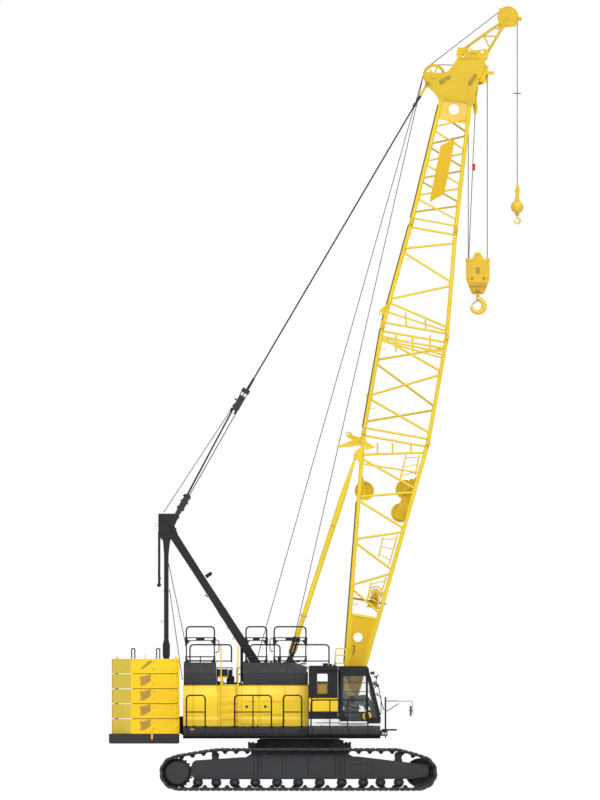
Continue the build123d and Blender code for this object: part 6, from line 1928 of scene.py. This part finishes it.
def makeBoomFittings():
    plates, shade, pulleys, hubs, signs = newShapes(5)
    thin, thick, rungs, cables, handles = [], [], [], [], []
    base, reach = boom["baseEnd"], boomFittings["side"]

    def behind(along, aside=0):
        return chordAt(-1, -1, along) + Vector((-boom["chordRadius"] - 12, aside, 0))

    # backstop ears behind the upper end of the base section
    for side in (-1, 1):
        y = side * reach
        for near in (-65, 35):
            addPlate(plates, shifted(0, base, (-930, -925), (-930, -325), (-1180, -612), (-1170, -732)), y + near,
                     y + near + 30)
        addRoll(shade, -1110, base - 672, 30, y - 84, y + 84, 24)
        addRoll(shade, -1110, base - 672, 48, y + 84, y + 98, 24)
        addPlate(plates, [(-930, 7335), (-595, 7220), (-860, 7080), (-900, 7180)], y - 8, y + 8)
        # pointed bracket and its ringed lug on the rear chord
        addPlate(shade, [(-1010, 7480), (-1160, 7380), (-1700, 7040), (-1690, 7000), (-1380, 7080), (-1050, 7190),
                         (-960, 7180)], y - 26, y + 26)
        addPad(shade, [(-1500, 7470), (-1440, 7520), (-1360, 7500), (-1290, 7430), (-1060, 7400), (-980, 7440),
                       (-985, 7290), (-1180, 7290), (-1420, 7330), (-1490, 7400)],
               y - 14, y + 14, [(-1430, 7450, 30)])
        addRoll(shade, -1060, 7330, 40, y - 60, y + 60, 20)
        addBox(shade, -1130, -1086, y - 30, y + 30, 8570, 8660)
        addPad(shade, [(-930, 11380), (-960, 11330), (-1150, 11090), (-1190, 11010), (-1150, 10940), (-1080, 10930),
                       (-960, 10990), (-930, 11080)], y - 10, y + 10,
               [(-1120, 11000, 32)])
        addBox(shade, -1090, -1030, y - 34, y + 34, 10680, 10790)
        for along in boomFittings["handles"]:
            x = chordAt(side, -1, along).x
            handles.append([(x - 10, y - side * 60, along), (x + 190, y - side * 60, along),
                            (x + 190, y - side * 60, along + 60)])
        for (ax, aa), (bx, ba), (cx, ca), (dx, da) in boomFittings["ladders"]:
            inset = y - side * 34
            thin += [[(ax, inset, aa), (bx, inset, ba)], [(cx, inset, ca), (dx, inset, da)]]
            for number in range(3):
                t = 0.12 + number * 0.36
                rungs.append([(ax + (bx - ax) * t, inset, aa + (ba - aa) * t),
                              (cx + (dx - cx) * t, inset, ca + (da - ca) * t)])
        for start, end in boomFittings["struts"]:
            thick.append([(start[0], y, start[1]), (end[0], y, end[1])])
        for low, high in boomFittings["crossRails"]:
            thick.append(laceLine(chordAt(side, -1, low), chordAt(side, 1, high)))
        thick.append([(-30, y, 10240), (chordAt(side, 1, 10130).x - 50, y, 10130)])
        # blank name plate on stand-offs, and its bracing
        flat = side * boomFittings["plateAt"]
        addPlate(signs, boomFittings["namePlate"], flat - 4, flat + 4)
        for x, a in boomFittings["standOffs"]:
            addRoll(plates, x, a, 14, side * 560, flat, 12)
    # hoses and cable on the rear right chord
    for low, high in ((1000, 5600), (7700, 10560), (10720, 13600), (13800, 17100)):
        for aside in (-14, 14):
            cables.append([behind(low, aside), behind(high, aside)])
    addTubes("boomStruts", thick, 26, boomYellow, "boom", sides=12)
    addTubes("boomRails", thin, 21, boomYellow, "boom", sides=12)
    addTubes("boomRungs", rungs, 15, boomYellow, "boom", sides=12)
    addTubes("boomHandles", handles, 11, boomYellow, "boom", bend=30, sides=10)
    addTubes("boomCables", cables, 13, plastic, "boom", bend=300, sides=10)
    # rope guides inside the base section: sheaves between hanger plates, from a tube across the chords
    for x, along, radius, y, face in ((-700, base - 1638, 250, -120, -1), (430, base - 1396, 250, 120, 1),
                                      (420, base - 2070, 250, -120, 1)):
        station = along + radius + 110
        anchor = chordAt(1, face, station)
        addRoll(plates, anchor.x, station, 45, -925, 925, 24)
        for way in (-1, 1):
            a, b = y + way * 46, y + way * 62
            addPlate(shade, [(anchor.x - 60, station + 50), (anchor.x + 60, station + 50), (x + 92, along - 40),
                             (x + 50, along - 92), (x - 50, along - 92), (x - 92, along - 40)], a, b)
            addCollar(shade, (x, y + way * 62, along), (0, way, 0), 20, 70, 0, 12, 28)
            if along < base - 2000:
                addPlate(shade, shifted(x, along, (-190, -120), (-60, -210), (120, -190), (150, 60), (260, 420),
                                        (150, 500), (-40, 420), (-120, 100)), b - way * 3, b + way * 7)
            else:
                addPlate(shade, [(x + face * 150 - 60, along + 330), (x + face * 150 + 60, along + 330),
                                 (x + 90, along - 60), (x + 60, along - 130), (x - 60, along - 130),
                                 (x - 90, along - 60)], b - way * 3, b + way * 7)
        addSheave(pulleys, hubs, x, along, y, radius, 34, 0)
        addRoll(shade, x, along, 38, y - 76, y + 76, 24)
    addPiece("blankNamePlates", signs, webYellow, "boom", bevel=2)
    # cable reel behind the web's upper edge
    reel, spokes = newShape(), []
    for y in (-560, -440):
        addCollar(reel, (120, y, 3130), across, 178, 208, -5, 5, 48)
        addCollar(reel, (120, y, 3130), across, 20, 70, -5, 5, 32)
        spokes += [[(120 + 66 * cos(t), y, 3130 + 66 * sin(t)),
                    (120 + 182 * cos(t + 0.2), y, 3130 + 182 * sin(t + 0.2))]
                   for t in around(10)]
    addCollar(reel, (120, -500, 3130), across, 84, 128, -56, 56, 40)
    addRoll(reel, 120, 3130, 26, -620, -380, 20)
    addPlate(reel, [(60, 2850), (180, 2850), (150, 3130), (90, 3130)], -400, -384)
    addPlate(reel, [(40, 3080), (200, 3080), (300, 2700), (-60, 2700)], -396, -388)
    addRod(reel, (-480, -390, 2880), (480, -390, 2880), 28, 16)
    addRod(reel, (chordAt(1, -1, 2880).x, -390, 2880), (chordAt(1, 1, 2880).x, -390, 2880), 28, 16)
    for face in (-1, 1):
        a = chordAt(-1, face, 2880)
        addRoll(reel, a.x, 2880, 28, -925, -390, 16)
    addPiece("cableReel", reel, castYellow, "boom", bevel=2, smooth=40)
    addTubes("cableReelSpokes", spokes, 8, castYellow, "boom", sides=8)
    addPiece("boomBrackets", plates, boomYellow, "boom", bevel=3, smooth=40)
    addPiece("boomCastings", shade, castYellow, "boom", bevel=3, smooth=40)
    addPiece("ropeGuides", pulleys, castYellow, "boom", ("guide_sheaves",), smooth=40)
    addPiece("ropeGuideHubs", hubs, castYellow, "boom", smooth=40)


makeHead()
makeNose()
makeBoomFittings()
print("boom head and fittings ready")


# Luffing gear, backstops, ropes and hooks

def addRope(name, start, end, radius, finish, bodies=None, body=None, replaces=()):
    # a taut rope of two rings, straight from end to end
    a, b, sides = put(*start), put(*end), 10
    length = (b - a).length
    rings = [put(*spot) for centre in (start, end) for spot in ringAt(centre, Vector(end) - Vector(start), radius,
                                                                      sides)]
    mesh = bpy.data.meshes.new(name)
    mesh.from_pydata(rings, [], [(i, (i + 1) % sides, sides + (i + 1) % sides, sides + i) for i in range(sides)])
    layer = mesh.uv_layers.new(name="along")
    for face in mesh.polygons:
        i = face.index
        for loop, (u, v) in zip(face.loop_indices, ((i, 0), (i + 1, 0), (i + 1, 1), (i, 1))):
            layer.data[loop].uv = (u / sides, v * length)
    piece = finishPiece(name, mesh, finish, body, replaces, smooth=80)
    if bodies:
        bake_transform(piece)


luffing = {"pivot": (-3635, 7583), "lowerEnd": 810, "upperAt": 3760, "upperEnd": 4380, "lean": 70, "falls": 62,
           "ys": (-380, -260, 260, 380)}
pinX, _, pinZ = boomSpot(*head["pendantPin"])
pivotX, pivotZ = luffing["pivot"]
lineLength = hypot(pinX - pivotX, pinZ - pivotZ)
lineX, lineZ = (pinX - pivotX) / lineLength, (pinZ - pivotZ) / lineLength


def onLine(distance, across=0.0):
    return pivotX + distance * lineX - across * lineZ, pivotZ + distance * lineZ + across * lineX


def lineSpot(distance, y, across=0.0):
    x, z = onLine(distance, across)
    return (x, y, z)


def lineStrip(shape, outline, y0, y1):
    addPlate(shape, [onLine(d, a) for d, a in outline], y0, y1)


def pendantLean(distance):  # how far the pendants stand above the line at a distance along it
    return 56 * (lineLength - distance) / (lineLength - luffing["upperEnd"])


def makeLuffing():
    lean = luffing["lean"]
    lowerOutline = [(-70, 78), (0, 104), (120, 92), (330, 66), (620, 92), (940, 82), (985, 40), (985, -40), (940, -82),
                    (620, -92), (330, -66), (120, -92), (0, -104), (-70, -78)]
    upperOutline = shifted(0, lean, (3700, 70), (3760, 92), (4160, 104), (4160, -92), (3760, -96), (3700, -80))
    blocks = {
        "lower": {"body": "luffing_link", "node": "lower_luffing_block", "outline": lowerOutline, "lean": 0,
                  "at": luffing["lowerEnd"],
                  "bosses": ((0, 96), (330, 50), (640, 66), (luffing["lowerEnd"], 60), (940, 44)),
                  "shafts": ((0, 52), (330, 30), (940, 30), (luffing["lowerEnd"], 36)),
                  "straps": ((200, 300, -96, 96), (470, 560, -112, 112), (700, 760, -118, 118), (860, 930, -108, 108),
                             (850, 900, 60, 128))},
        # the straps are two forks below, three ribs and the head bar above, and a lug on the back
        "upper": {"body": "pendant_link", "node": "upper_bridle_block", "outline": upperOutline, "lean": lean,
                  "at": luffing["upperAt"], "bosses": ((luffing["upperAt"], 64), (4090, 44), (4320, 56)),
                  "shafts": ((luffing["upperAt"], 36), (4090, 28), (4320, 40)),
                  "straps": ((3605, 3720, 75, 125), (3590, 3720, -65, -15), (3740, 3860, 80, 122),
                             (4150, 4270, 80, 108), (4150, 4270, -6, 26), (4150, 4270, -92, -66),
                             (4255, 4385, -112, 124), (3960, 4000, 100, 170))},
    }
    for end, block in blocks.items():
        shape, discs = newShapes(2)
        bolts = []
        body, rise = block["body"], block["lean"]
        for side in (-1, 1):
            for y0, y1 in ((470, 490), (150, 168)):
                lineStrip(shape, block["outline"], side * y0, side * y1)
            # links, bosses and straps that make the block's outline uneven, as forgings are
            for distance, radius in block["bosses"]:
                x, z = onLine(distance, rise)
                addRoll(shape, x, z, radius, 486, 508, 28, side)
                bolts.append(((x, side * 508, z), outward(side), 1.5))
            for d0, d1, low, high in block["straps"]:
                lineStrip(shape, [(d0, rise + high), (d1, rise + high), (d1, rise + low), (d0, rise + low)],
                          side * 466, side * 494)
        for distance, radius in block["shafts"]:
            x, z = onLine(distance, rise)
            addRoll(shape, x, z, radius, -500, 500, 28)
        x, z = onLine(block["at"], rise)
        for y in luffing["ys"]:
            addLathe(discs, (x, y, z), across,
                     [(34, -24), (50, -24), (78, -28), (78, -24), (50, -6), (50, 6), (78, 24), (78, 28), (50, 24),
                      (34, 24)], 36)
        if end == "upper":  # the spreader that holds the bridle's two sides apart
            lineStrip(shape, shifted(0, rise, (4280, 40), (4360, 40), (4360, -30), (4280, -30)), -466, 466)
        addPiece(f"{end}BlockPlates", shape, riggingBlack, body, (block["node"],), bevel=4)
        addPiece(f"{end}BlockSheaves", discs, trackSteel, body, smooth=40)
        addRepeats(f"{end}BlockBolts", boltHead(18, 16), bolts, trackSteel, body)
    # each sheave's two falls: across the line at the lower block, then at the upper one
    falls = luffing["falls"]
    for number, y in enumerate(luffing["ys"]):
        for fall, low, high in (("A", -falls * 0.5, lean - 72),
                                ("B", (falls, 30, 10, falls)[number] * 0.6, lean + (74, 52, 60, 74)[number])):
            addRope(f"luffingFall{number}{fall}", lineSpot(luffing["lowerEnd"], y, low),
                    lineSpot(luffing["upperAt"], y, high), 13, pendantWire, ("luffing_link", "pendant_link"),
                    replaces=("luffing_reeving",) if number == 0 and fall == "A" else ())
    addRope("luffingLead", lineSpot(157, -320, 361), lineSpot(luffing["upperAt"] - 100, -320, lean + 100), 12, wire,
            ("luffing_link", "pendant_link"))
    sockets, yellowEnds, clamps = newShapes(3)
    for side in (-1, 1):
        y = side * 485
        start, end = luffing["upperEnd"], lineLength

        def hang(distance, y=y):
            return lineSpot(distance, y, pendantLean(distance))

        addRope("pendant" + ("Right" if side < 0 else "Left"), hang(start + 330), hang(end - 900), 22, pendantWire,
                body="pendant_link", replaces=("boom_pendants",) if side < 0 else ())
        addRope("pendantEnd" + ("Right" if side < 0 else "Left"), hang(end - 900), hang(end - 480), 22, pendantWire,
                body="pendant_link")
        lineStrip(sockets, shifted(start, 0, (-80, 104), (40, 96), (110, 78), (110, 34), (40, 14), (-80, 6)), y - 34,
                  y - 18)
        lineStrip(sockets, shifted(start, 0, (-80, 104), (40, 96), (110, 78), (110, 34), (40, 14), (-80, 6)), y + 18,
                  y + 34)
        addRod(sockets, hang(start + 70), hang(start + 330), 42, 24, 34)
        addRod(sockets, hang(start + 330), hang(start + 400), 34, 24, 24)
        addRod(sockets, hang(end - 640), hang(end - 470), 26, 24, 44)
        addRod(sockets, hang(end - 470), hang(end - 400), 44, 24, 46)
        for distance in (end - 760, end - 700):
            addRod(clamps, hang(distance), hang(distance + 46), 40, 18)
            addRod(clamps, lineSpot(distance + 23, y - 10, 0), lineSpot(distance + 23, y, 66), 12, 12)
        addRod(yellowEnds, hang(end - 400), hang(end - 250), 44, 24, 34)
        lineStrip(yellowEnds, shifted(end, 0, (-270, 34), (-60, 44), (0, 62), (50, 40), (62, 0), (50, -40), (0, -62),
                                      (-60, -44), (-270, -34)),
                  y - 15, y + 15)
    addPiece("pendantSockets", sockets, riggingBlack, "pendant_link", bevel=3, smooth=40)
    addPiece("pendantClamps", clamps, black, "pendant_link", bevel=2, smooth=40)
    addPiece("pendantPinEnds", yellowEnds, castYellow, "pendant_link", bevel=3, smooth=40)


def makeBackstops():
    footX, footZ, pin = -270, 3760, boomSpot(-1110, boom["baseEnd"] - 672)
    reach = hypot(pin[0] - footX, pin[2] - footZ)
    ux, uz = (pin[0] - footX) / reach, (pin[2] - footZ) / reach
    barrels, rods, fittings, caps, feet, bars = newShapes(6)
    for side in (-1, 1):
        y = side * 925

        def on(distance, across=0.0, aside=0.0):
            return (footX + distance * ux - across * uz, y + aside, footZ + distance * uz + across * ux)

        addLathe(barrels, on(0), (ux, 0, uz), [(54, 640), (66, 640), (68, 1000), (76, 3700), (80, 3960), (54, 3960)],
                 36)
        addCollar(fittings, on(0), (ux, 0, uz), 54, 86, 3920, 3962, 32)
        addCollar(fittings, on(0), (ux, 0, uz), 64, 96, 1260, 1310, 32)
        addRod(fittings, on(1285, 104), on(1285, 150), 24, 16)
        addLathe(caps, on(0), (ux, 0, uz), [(20, 500), (112, 500), (116, 520), (116, 600), (92, 640), (20, 640)], 32)
        addCollar(caps, on(0), (ux, 0, uz), 20, 90, 84, 104, 32)
        addRod(caps, on(60), on(520), 34, 20)
        for aside in (-100, 100):
            addRod(bars, on(170, aside), on(560, aside), 14, 12)
            addRod(bars, on(170, 0, aside), on(560, 0, aside), 14, 12)
        addLathe(rods, on(0), (ux, 0, uz),
                 [(1, 1700), (50, 1700), (50, 3980), (80, 3980), (84, reach - 1300), (72, reach - 950),
                  (38, reach - 300), (27, reach - 60), (1, reach - 60)], 32)
        addRoll(rods, pin[0], pin[2], 55, y - 29, y + 29, 28)
        addCollar(rods, on(0), (ux, 0, uz), 1, 27, reach - 130, reach - 40, 20)
        addRoll(feet, footX, footZ, 66, y - 65, y + 65, 28)
        addRod(feet, on(20), on(70), 60, 24, 84)
        addRoll(feet, footX, footZ, 28, y - 92, y + 92, 20)
        addCoil("backstopSpring" + ("Right" if side < 0 else "Left"), on(112), (ux, 0, uz), 76, 17, 9, 388, black,
                "backstop_barrels")
    addPiece("backstopBarrels", barrels, boomYellow, "backstop_barrels", ("backstop_tubes",), smooth=40)
    addPiece("backstopCollars", fittings, castYellow, "backstop_barrels", bevel=3, smooth=40)
    addPiece("backstopCaps", caps, black, "backstop_barrels", bevel=3, smooth=40)
    addPiece("backstopGuideBars", bars, boomYellow, "backstop_barrels", smooth=40)
    addPiece("backstopFeet", feet, black, "backstop_barrels", bevel=3, smooth=40)
    addPiece("backstopRods", rods, boomYellow, "backstop_ends", ("backstop_rods",), smooth=40)


def boomPoint(key):  # the middle of one of the head's sheaves, as x, z of the crane
    x, _, z = boomSpot(*head[key])
    return x, z


def tangent(ax, az, ra, bx, bz, rb):  # the upper common tangent of two wheels
    dx, dz = bx - ax, bz - az
    apart = hypot(dx, dz)
    lean = asin((ra - rb) / apart)
    ux, uz = dx / apart, dz / apart
    hx, hz = ux * cos(lean) + uz * sin(lean), uz * cos(lean) - ux * sin(lean)
    return (ax - hz * ra, az + hx * ra), (bx - hz * rb, bz + hx * rb)


def crossTangent(ax, az, ra, bx, bz, rb):  # the line from the front of one wheel to the rear of another
    dx, dz = bx - ax, bz - az
    apart = hypot(dx, dz)
    lean = asin((ra + rb) / apart)
    ux, uz = dx / apart, dz / apart
    hx, hz = ux * cos(lean) - uz * sin(lean), uz * cos(lean) + ux * sin(lean)
    return (ax + hz * ra, az - hx * ra), (bx - hz * rb, bz + hx * rb)


hoist = {
    "radius": 12, "lines": (("mainHoistLine", "main_winch", -120), ("auxiliaryHoistLine", "auxiliary_winch", 120)),
    "drops": (((-3718, 6460), (-3241, 4210)), ((-3692, 5730), (-3326, 3152))), "dropY": 60,
}


def makeHoistLines():
    guide, nose, main = (*boomPoint("guide"), 290), (*boomPoint("nose"), 262), (*boomPoint("main"), 270)
    for name, winch, y in hoist["lines"]:
        (x0, z0), (x1, z1) = crossTangent(*winches[winch][:3], *guide)
        addRope(name, (x0, y, z0), (x1, y, z1), hoist["radius"], wire, ("upperworks", "boom"))
    # ropes over the head: guide sheaves to main sheaves, and up to the nose
    for name, far, y0, y1 in (("noseHoistLine", nose, 0, 0), ("headHoistLine", main, -120, -70)):
        (x0, z0), (x1, z1) = tangent(*guide, *far)
        addRope(name, (x0, y0, z0), (x1, y1, z1), hoist["radius"], wire, body="boom")
    for number, ((x0, z0), (x1, z1)) in enumerate(hoist["drops"]):
        for word, side in (("A", -1), ("B", 1)):
            y = side * hoist["dropY"]
            addRope(f"luffingDrop{number}{word}", (x0, y, z0), (x1, y, z1), hoist["radius"], wire, body="upperworks")


hooks = {"blockZ": 14995, "radius": 270, "ballTop": 17240, "ballMiddle": 16588, "ballBottom": 16330, "ballRadius": 185,
         "drop": 900, "socketX": 4970}


def addSwept(shape, path, radii, sides=20):  # rings of varying radius along a line of points
    rings = []
    for i, spot in enumerate(path):
        ahead = Vector(path[min(i + 1, len(path) - 1)]) - Vector(path[max(i - 1, 0)])
        rings.append([Vector(p) for p in ringAt(spot, ahead, radii[i], sides)])
    made = []
    for ring in rings:
        made.append([shape.verts.new(p) for p in ring])
    for a, b in zip(made, made[1:]):
        best = min(range(sides), key=lambda k: (a[0].co - b[k].co).length)
        b[:] = b[best:] + b[:best]
        for i in range(sides):
            shape.faces.new((a[i], a[(i + 1) % sides], b[(i + 1) % sides], b[i]))
    shape.faces.new(list(reversed(made[0])))
    shape.faces.new(made[-1])


def addHook(shape, latch, x, top, radius, thick, neck):
    centre = top - neck - radius
    half = thick / 2
    path, radii = [(x, 0, top), (x, 0, centre + radius + neck * 0.55),
                   (x, 0, centre + radius + 0.1 * neck)], [half * 0.8, half * 0.8, half * 0.95]
    for step in range(1, 19):
        turn = radians(90 - step * 15)
        share = step / 18
        path.append((x + radius * cos(turn), 0, centre + radius * sin(turn)))
        radii.append(half * (1.0 + 0.28 * sin(pi * min(1.0, share * 1.15)) - 0.25 * share ** 4))
    addSwept(shape, path, radii)
    addPlate(latch, [(x - half * 0.5, centre + radius * 0.9), (x + half * 0.4, centre + radius * 0.84),
                     (x - radius * 0.9, centre + radius * 0.1),
                     (x - radius * 1.02, centre + radius * 0.22)], -half * 0.5, -half * 0.42)
    addPlate(latch, [(x - half * 0.5, centre + radius * 0.9), (x + half * 0.4, centre + radius * 0.84),
                     (x - radius * 0.9, centre + radius * 0.1),
                     (x - radius * 1.02, centre + radius * 0.22)], half * 0.42, half * 0.5)
    addRoll(latch, x, centre + radius * 0.92, half * 0.22, -half * 1.15, half * 1.15, 16)


def makeHooks():
    mx, topZ = boomPoint("main")
    z, radius = hooks["blockZ"], hooks["radius"]
    for number, (step, y) in enumerate(((-radius, -70), (-radius, 70), (radius, -70), (radius, 70))):
        addRope(f"mainFall{number}", (mx + step, y, topZ), (mx + step, y, z - 180), 13, wire,
                ("main_rope_falls", "main_block"), replaces=("main_falls",) if number == 0 else ())
    (cheeks, shade, bands, sheaves, hubs, beds), bolts = newShapes(6), []
    for side in (-1, 1):
        y0, y1 = side * 122, side * 148
        right = [(60, 305), (96, 262), (118, 215), (150, 150), (160, 125), (344, 125), (344, 70), (336, 20),
                 (336, -470), (300, -570), (262, -650)]
        outline = [(mx + x, z + rise) for x, rise in right] + [(mx - x, z + rise) for x, rise in reversed(right)]
        addPlate(cheeks, outline, y0, y1)
        addPlate(shade, shifted(mx, z, (-270, -560), (270, -560), (250, -690), (168, -880), (110, -890), (60, -800),
                                (-60, -800), (-110, -890), (-168, -880), (-250, -690)),
                 y1 - side * 20, y1 + side * 10)
        addPlate(bands, shifted(mx, z, (-262, -640), (262, -640), (240, -690), (-240, -690)), y1 - side * 10,
                 y1 + side * 16)
        addPlate(cheeks, shifted(mx, z, (-305, 60), (305, 60), (305, -470), (250, -540), (-250, -540), (-305, -470)),
                 y1 - side * 4, y1 + side * 10)
        # recess plates in the darker ochre as painted shade, with the pin heads
        addPlate(beds, shifted(mx, z, (-60, -110), (-14, -150), (20, -104), (60, -120), (60, -300), (-60, -300)),
                 y1 + side * 9, y1 + side * 14)
        addCollar(beds, (mx, 0, z - 770), (0, side, 0), 1, 40, 150, 161, 28)
        for dx, dz in ((-160, -439), (172, -439)):
            addLathe(beds, (mx + dx, 0, z + dz), (0, side, 0), [(1, 150), (42, 150), (42, 172), (24, 180), (1, 180)],
                     28)
        for dx in (-324, 324):
            addBox(shade, mx + dx - 14, mx + dx + 14, 100, 156, z + 40, z + 140, side)
        bolts += [((mx + dx, y1 + side * 10, z + dz), outward(side), 0.9)
                  for dx, dz in ((-270, 20), (270, 20), (-270, -430), (270, -430), (0, 230), (-80, -820), (80, -820))]
    for x, dz in ((-300, 90), (300, 90), (-290, -500), (290, -500), (-160, -439), (172, -439)):
        addRoll(shade, mx + x, z + dz, 24, -146, 146, 18)
    addBox(shade, mx - 110, mx + 110, -110, 110, z - 890, z - 640)
    addRoll(cheeks, mx, z - 186, 58, -150, 150, 28)
    for y in (-70, 70):
        floor = radius - 14
        addLathe(sheaves, (mx, y, z - 186), across,
                 [(70, -10), (floor - 44, -12), (floor + 30, -30), (floor + 34, -26), (floor, -8), (floor, 8),
                  (floor + 34, 26), (floor + 30, 30), (floor - 44, 12), (70, 10)], 56)
    addPiece("blockCheeks", cheeks, blockYellow, "main_block", ("hook_block",), bevel=4)
    addPiece("blockFittings", shade, ochreShade, "main_block", bevel=3, smooth=40)
    addPiece("blockBand", bands, darkOchreAndShade, "main_block", bevel=3)
    addPiece("blockRecesses", beds, darkOchreAndShade, "main_block", bevel=2, smooth=40)
    addPiece("blockSheaves", sheaves, ochreShade, "main_block", smooth=40)
    addRepeats("blockBolts", boltHead(17, 14), bolts, ochreShade, "main_block")
    hook, latch = newShapes(2)
    addHook(hook, latch, mx, z - hooks["drop"] - 1, 186, 124, 130)
    addPiece("mainHookForging", hook, hookYellow, "main_hook_swivel_body", ("main_hook",), smooth=50)
    addPiece("mainHookLatch", latch, darkOchreAndShade, "main_hook_swivel_body", bevel=1)
    # auxiliary fall, ball and hook
    ax, az = boomPoint("nose")
    ax += 262
    addRope("auxiliaryFallRope", (ax, 0, az), (ax, 0, hooks["ballTop"]), 13, wire, ("auxiliary_rope_fall", "ball"),
            replaces=("auxiliary_fall",))
    ball, fittings = newShapes(2)
    addBall(ball, (ax, 0, hooks["ballMiddle"]), hooks["ballRadius"], 32)
    addLathe(fittings, (ax, 0, 0), upwards,
             [(1, 16760), (74, 16760), (74, 16800), (58, 16830), (58, 16870), (1, 16870)], 28)
    addPlate(fittings, shifted(ax, 0, (-46, 16860), (46, 16860), (60, 16960), (74, 17060), (52, 17170), (30, 17236),
                               (-22, 17236), (-40, 17120), (-70, 17050), (-52, 16950)), -30, 30)
    addRoll(fittings, ax, 16930, 32, -52, 52, 20)
    addRoll(fittings, ax + 8, 17060, 24, -44, 44, 20)
    addPlate(fittings, [(ax - 80, 17030), (ax - 40, 17090), (ax - 10, 17000), (ax - 40, 16960)], -22, -12)
    addLathe(fittings, (ax, 0, 0), upwards,
             [(1, 16330), (46, 16330), (58, 16350), (58, 16390), (70, 16420), (1, 16420)], 28)
    addCollar(ball, (ax, 0, hooks["ballMiddle"]), upwards, 180, 187, -10, 10, 48)
    addPiece("ballWeight", ball, ballYellow, "ball", ("ball_weight",), smooth=60)
    addPiece("ballFittings", fittings, castYellow, "ball", bevel=3, smooth=40)
    hook2, latch2 = newShapes(2)
    addHook(hook2, latch2, ax, hooks["ballBottom"] - 1, 80, 50, 50)
    addPiece("auxiliaryHookForging", hook2, hookYellow, "auxiliary_hook_swivel_body", ("auxiliary_hook",), smooth=50)
    addPiece("auxiliaryHookLatch", latch2, darkOchreAndShade, "auxiliary_hook_swivel_body", bevel=1)
    # rope end with its wedge socket below the head, and the red markers of the hoist limits
    wedge, straps, markers = newShapes(3)
    wx = hooks["socketX"]
    addPlate(wedge, shifted(wx, 0, (-64, 19560), (60, 19600), (92, 19420), (56, 19240), (22, 19200), (-12, 19220),
                            (-40, 19380)), -34, 34)
    addRoll(wedge, wx + 8, 19520, 34, -60, 60, 20)
    addRoll(wedge, wx + 20, 19390, 22, -44, 44, 20)
    for y in (-44, 30):
        addPlate(straps, [(wx - 30, 19500), (wx + 50, 19500), (mx + 44, topZ), (mx - 44, topZ)], y, y + 14)
    addPiece("wedgeSocket", wedge, castYellow, "main_rope_falls", bevel=3, smooth=40)
    addPiece("wedgeStraps", straps, castYellow, "main_rope_falls", bevel=2)
    addRope("deadLine", (wx + 14, 0, 19230), (wx - 165, 0, z + 90), 12, wire, ("main_rope_falls", "main_block"))
    addRod(markers, (wx - 18, 0, 17620), (wx - 22, 0, 17780), 42, 20)
    addRod(markers, (wx - 22, 0, 17780), (wx - 22, 0, 17810), 56, 20)
    addPiece("mainLimitWeight", markers, red, "main_rope_falls", bevel=4, smooth=40)
    disc = newShape()
    addCollar(disc, (ax, 0, 0), upwards, 86, 106, 19796, 19830, 36)
    addPiece("auxiliaryLimitDisc", disc, red, "auxiliary_rope_fall", bevel=4, smooth=40)


makeLuffing()
makeBackstops()
makeHoistLines()
makeHooks()
print("rigging and hooks ready")


# Floor, lights and camera

studio = {
    "floorReach": 80.0, "floorPaint": (0.87, 0.87, 0.87, 1.0), "ambient": 0.62, "keyStrength": 2.1, "keySpread": 24.0,
    "fillStrength": 0.8, "fillSpread": 60.0, "cameraX": -0.476, "cameraZ": 11.104, "cameraAway": 60.0,
    "cameraScale": 22.72,
}


def makeFloor():
    mesh = bpy.data.meshes.new("studioFloor")
    reach = studio["floorReach"]
    mesh.from_pydata([(-reach, -reach, 0), (reach, -reach, 0), (reach, reach, 0), (-reach, reach, 0)], [],
                     [(0, 1, 2, 3)])
    floor = newObject("studioFloor", mesh)
    material, tree, _ = surfaceNodes("paleFloorPaint")
    closeSurface(tree, {"Roughness": 0.9, "Specular IOR Level": 0.1}, Base_Color=studio["floorPaint"])
    mesh.materials.append(material)


def makeSky():  # even light for the crane, plain white where it is seen directly, mirrored or through glass
    world = bpy.data.worlds.new("studioSky")
    bpy.context.scene.world = world
    world.use_nodes = True
    tree = world.node_tree
    tree.nodes.clear()
    rays = addNode(tree, "ShaderNodeLightPath")
    seen = mathNode(tree, "MAXIMUM", i0=rays.outputs["Is Camera Ray"], i1=rays.outputs["Is Glossy Ray"])
    clear = mathNode(tree, "MAXIMUM", i0=seen, i1=rays.outputs["Is Transmission Ray"])
    strength = ramped(tree, clear, 0.0, 1.0, studio["ambient"], 1.0)
    shader = addNode(tree, "ShaderNodeBackground", Color=(1.0, 1.0, 1.0, 1.0), Strength=strength)
    out = addNode(tree, "ShaderNodeOutputWorld")
    tree.links.new(shader.outputs["Background"], out.inputs["Surface"])


def addSun(name, towards, strength, spread):
    lamp = bpy.data.lights.new(name, "SUN")
    lamp.energy = strength
    lamp.angle = radians(spread)
    newObject(name, lamp).rotation_euler = Vector(towards).to_track_quat("-Z", "Y").to_euler()


makeFloor()
makeSky()
addSun("keyLight", (-0.2, 0.72, -0.68), studio["keyStrength"], studio["keySpread"])
addSun("fillLight", (0.3, 0.95, -0.14), studio["fillStrength"], studio["fillSpread"])
addSun("rearLight", (-0.25, -0.8, -0.5), studio["fillStrength"], studio["fillSpread"])

view = bpy.data.cameras.new("sideCamera")
view.type = "ORTHO"
view.ortho_scale = studio["cameraScale"]
view.clip_end = 300.0
camera = newObject("sideCamera", view)
camera.location = (studio["cameraX"], -studio["cameraAway"], studio["cameraZ"])
camera.rotation_euler = (pi / 2, 0, 0)
bpy.context.scene.camera = camera
bpy.context.scene.view_settings.view_transform = "Standard"
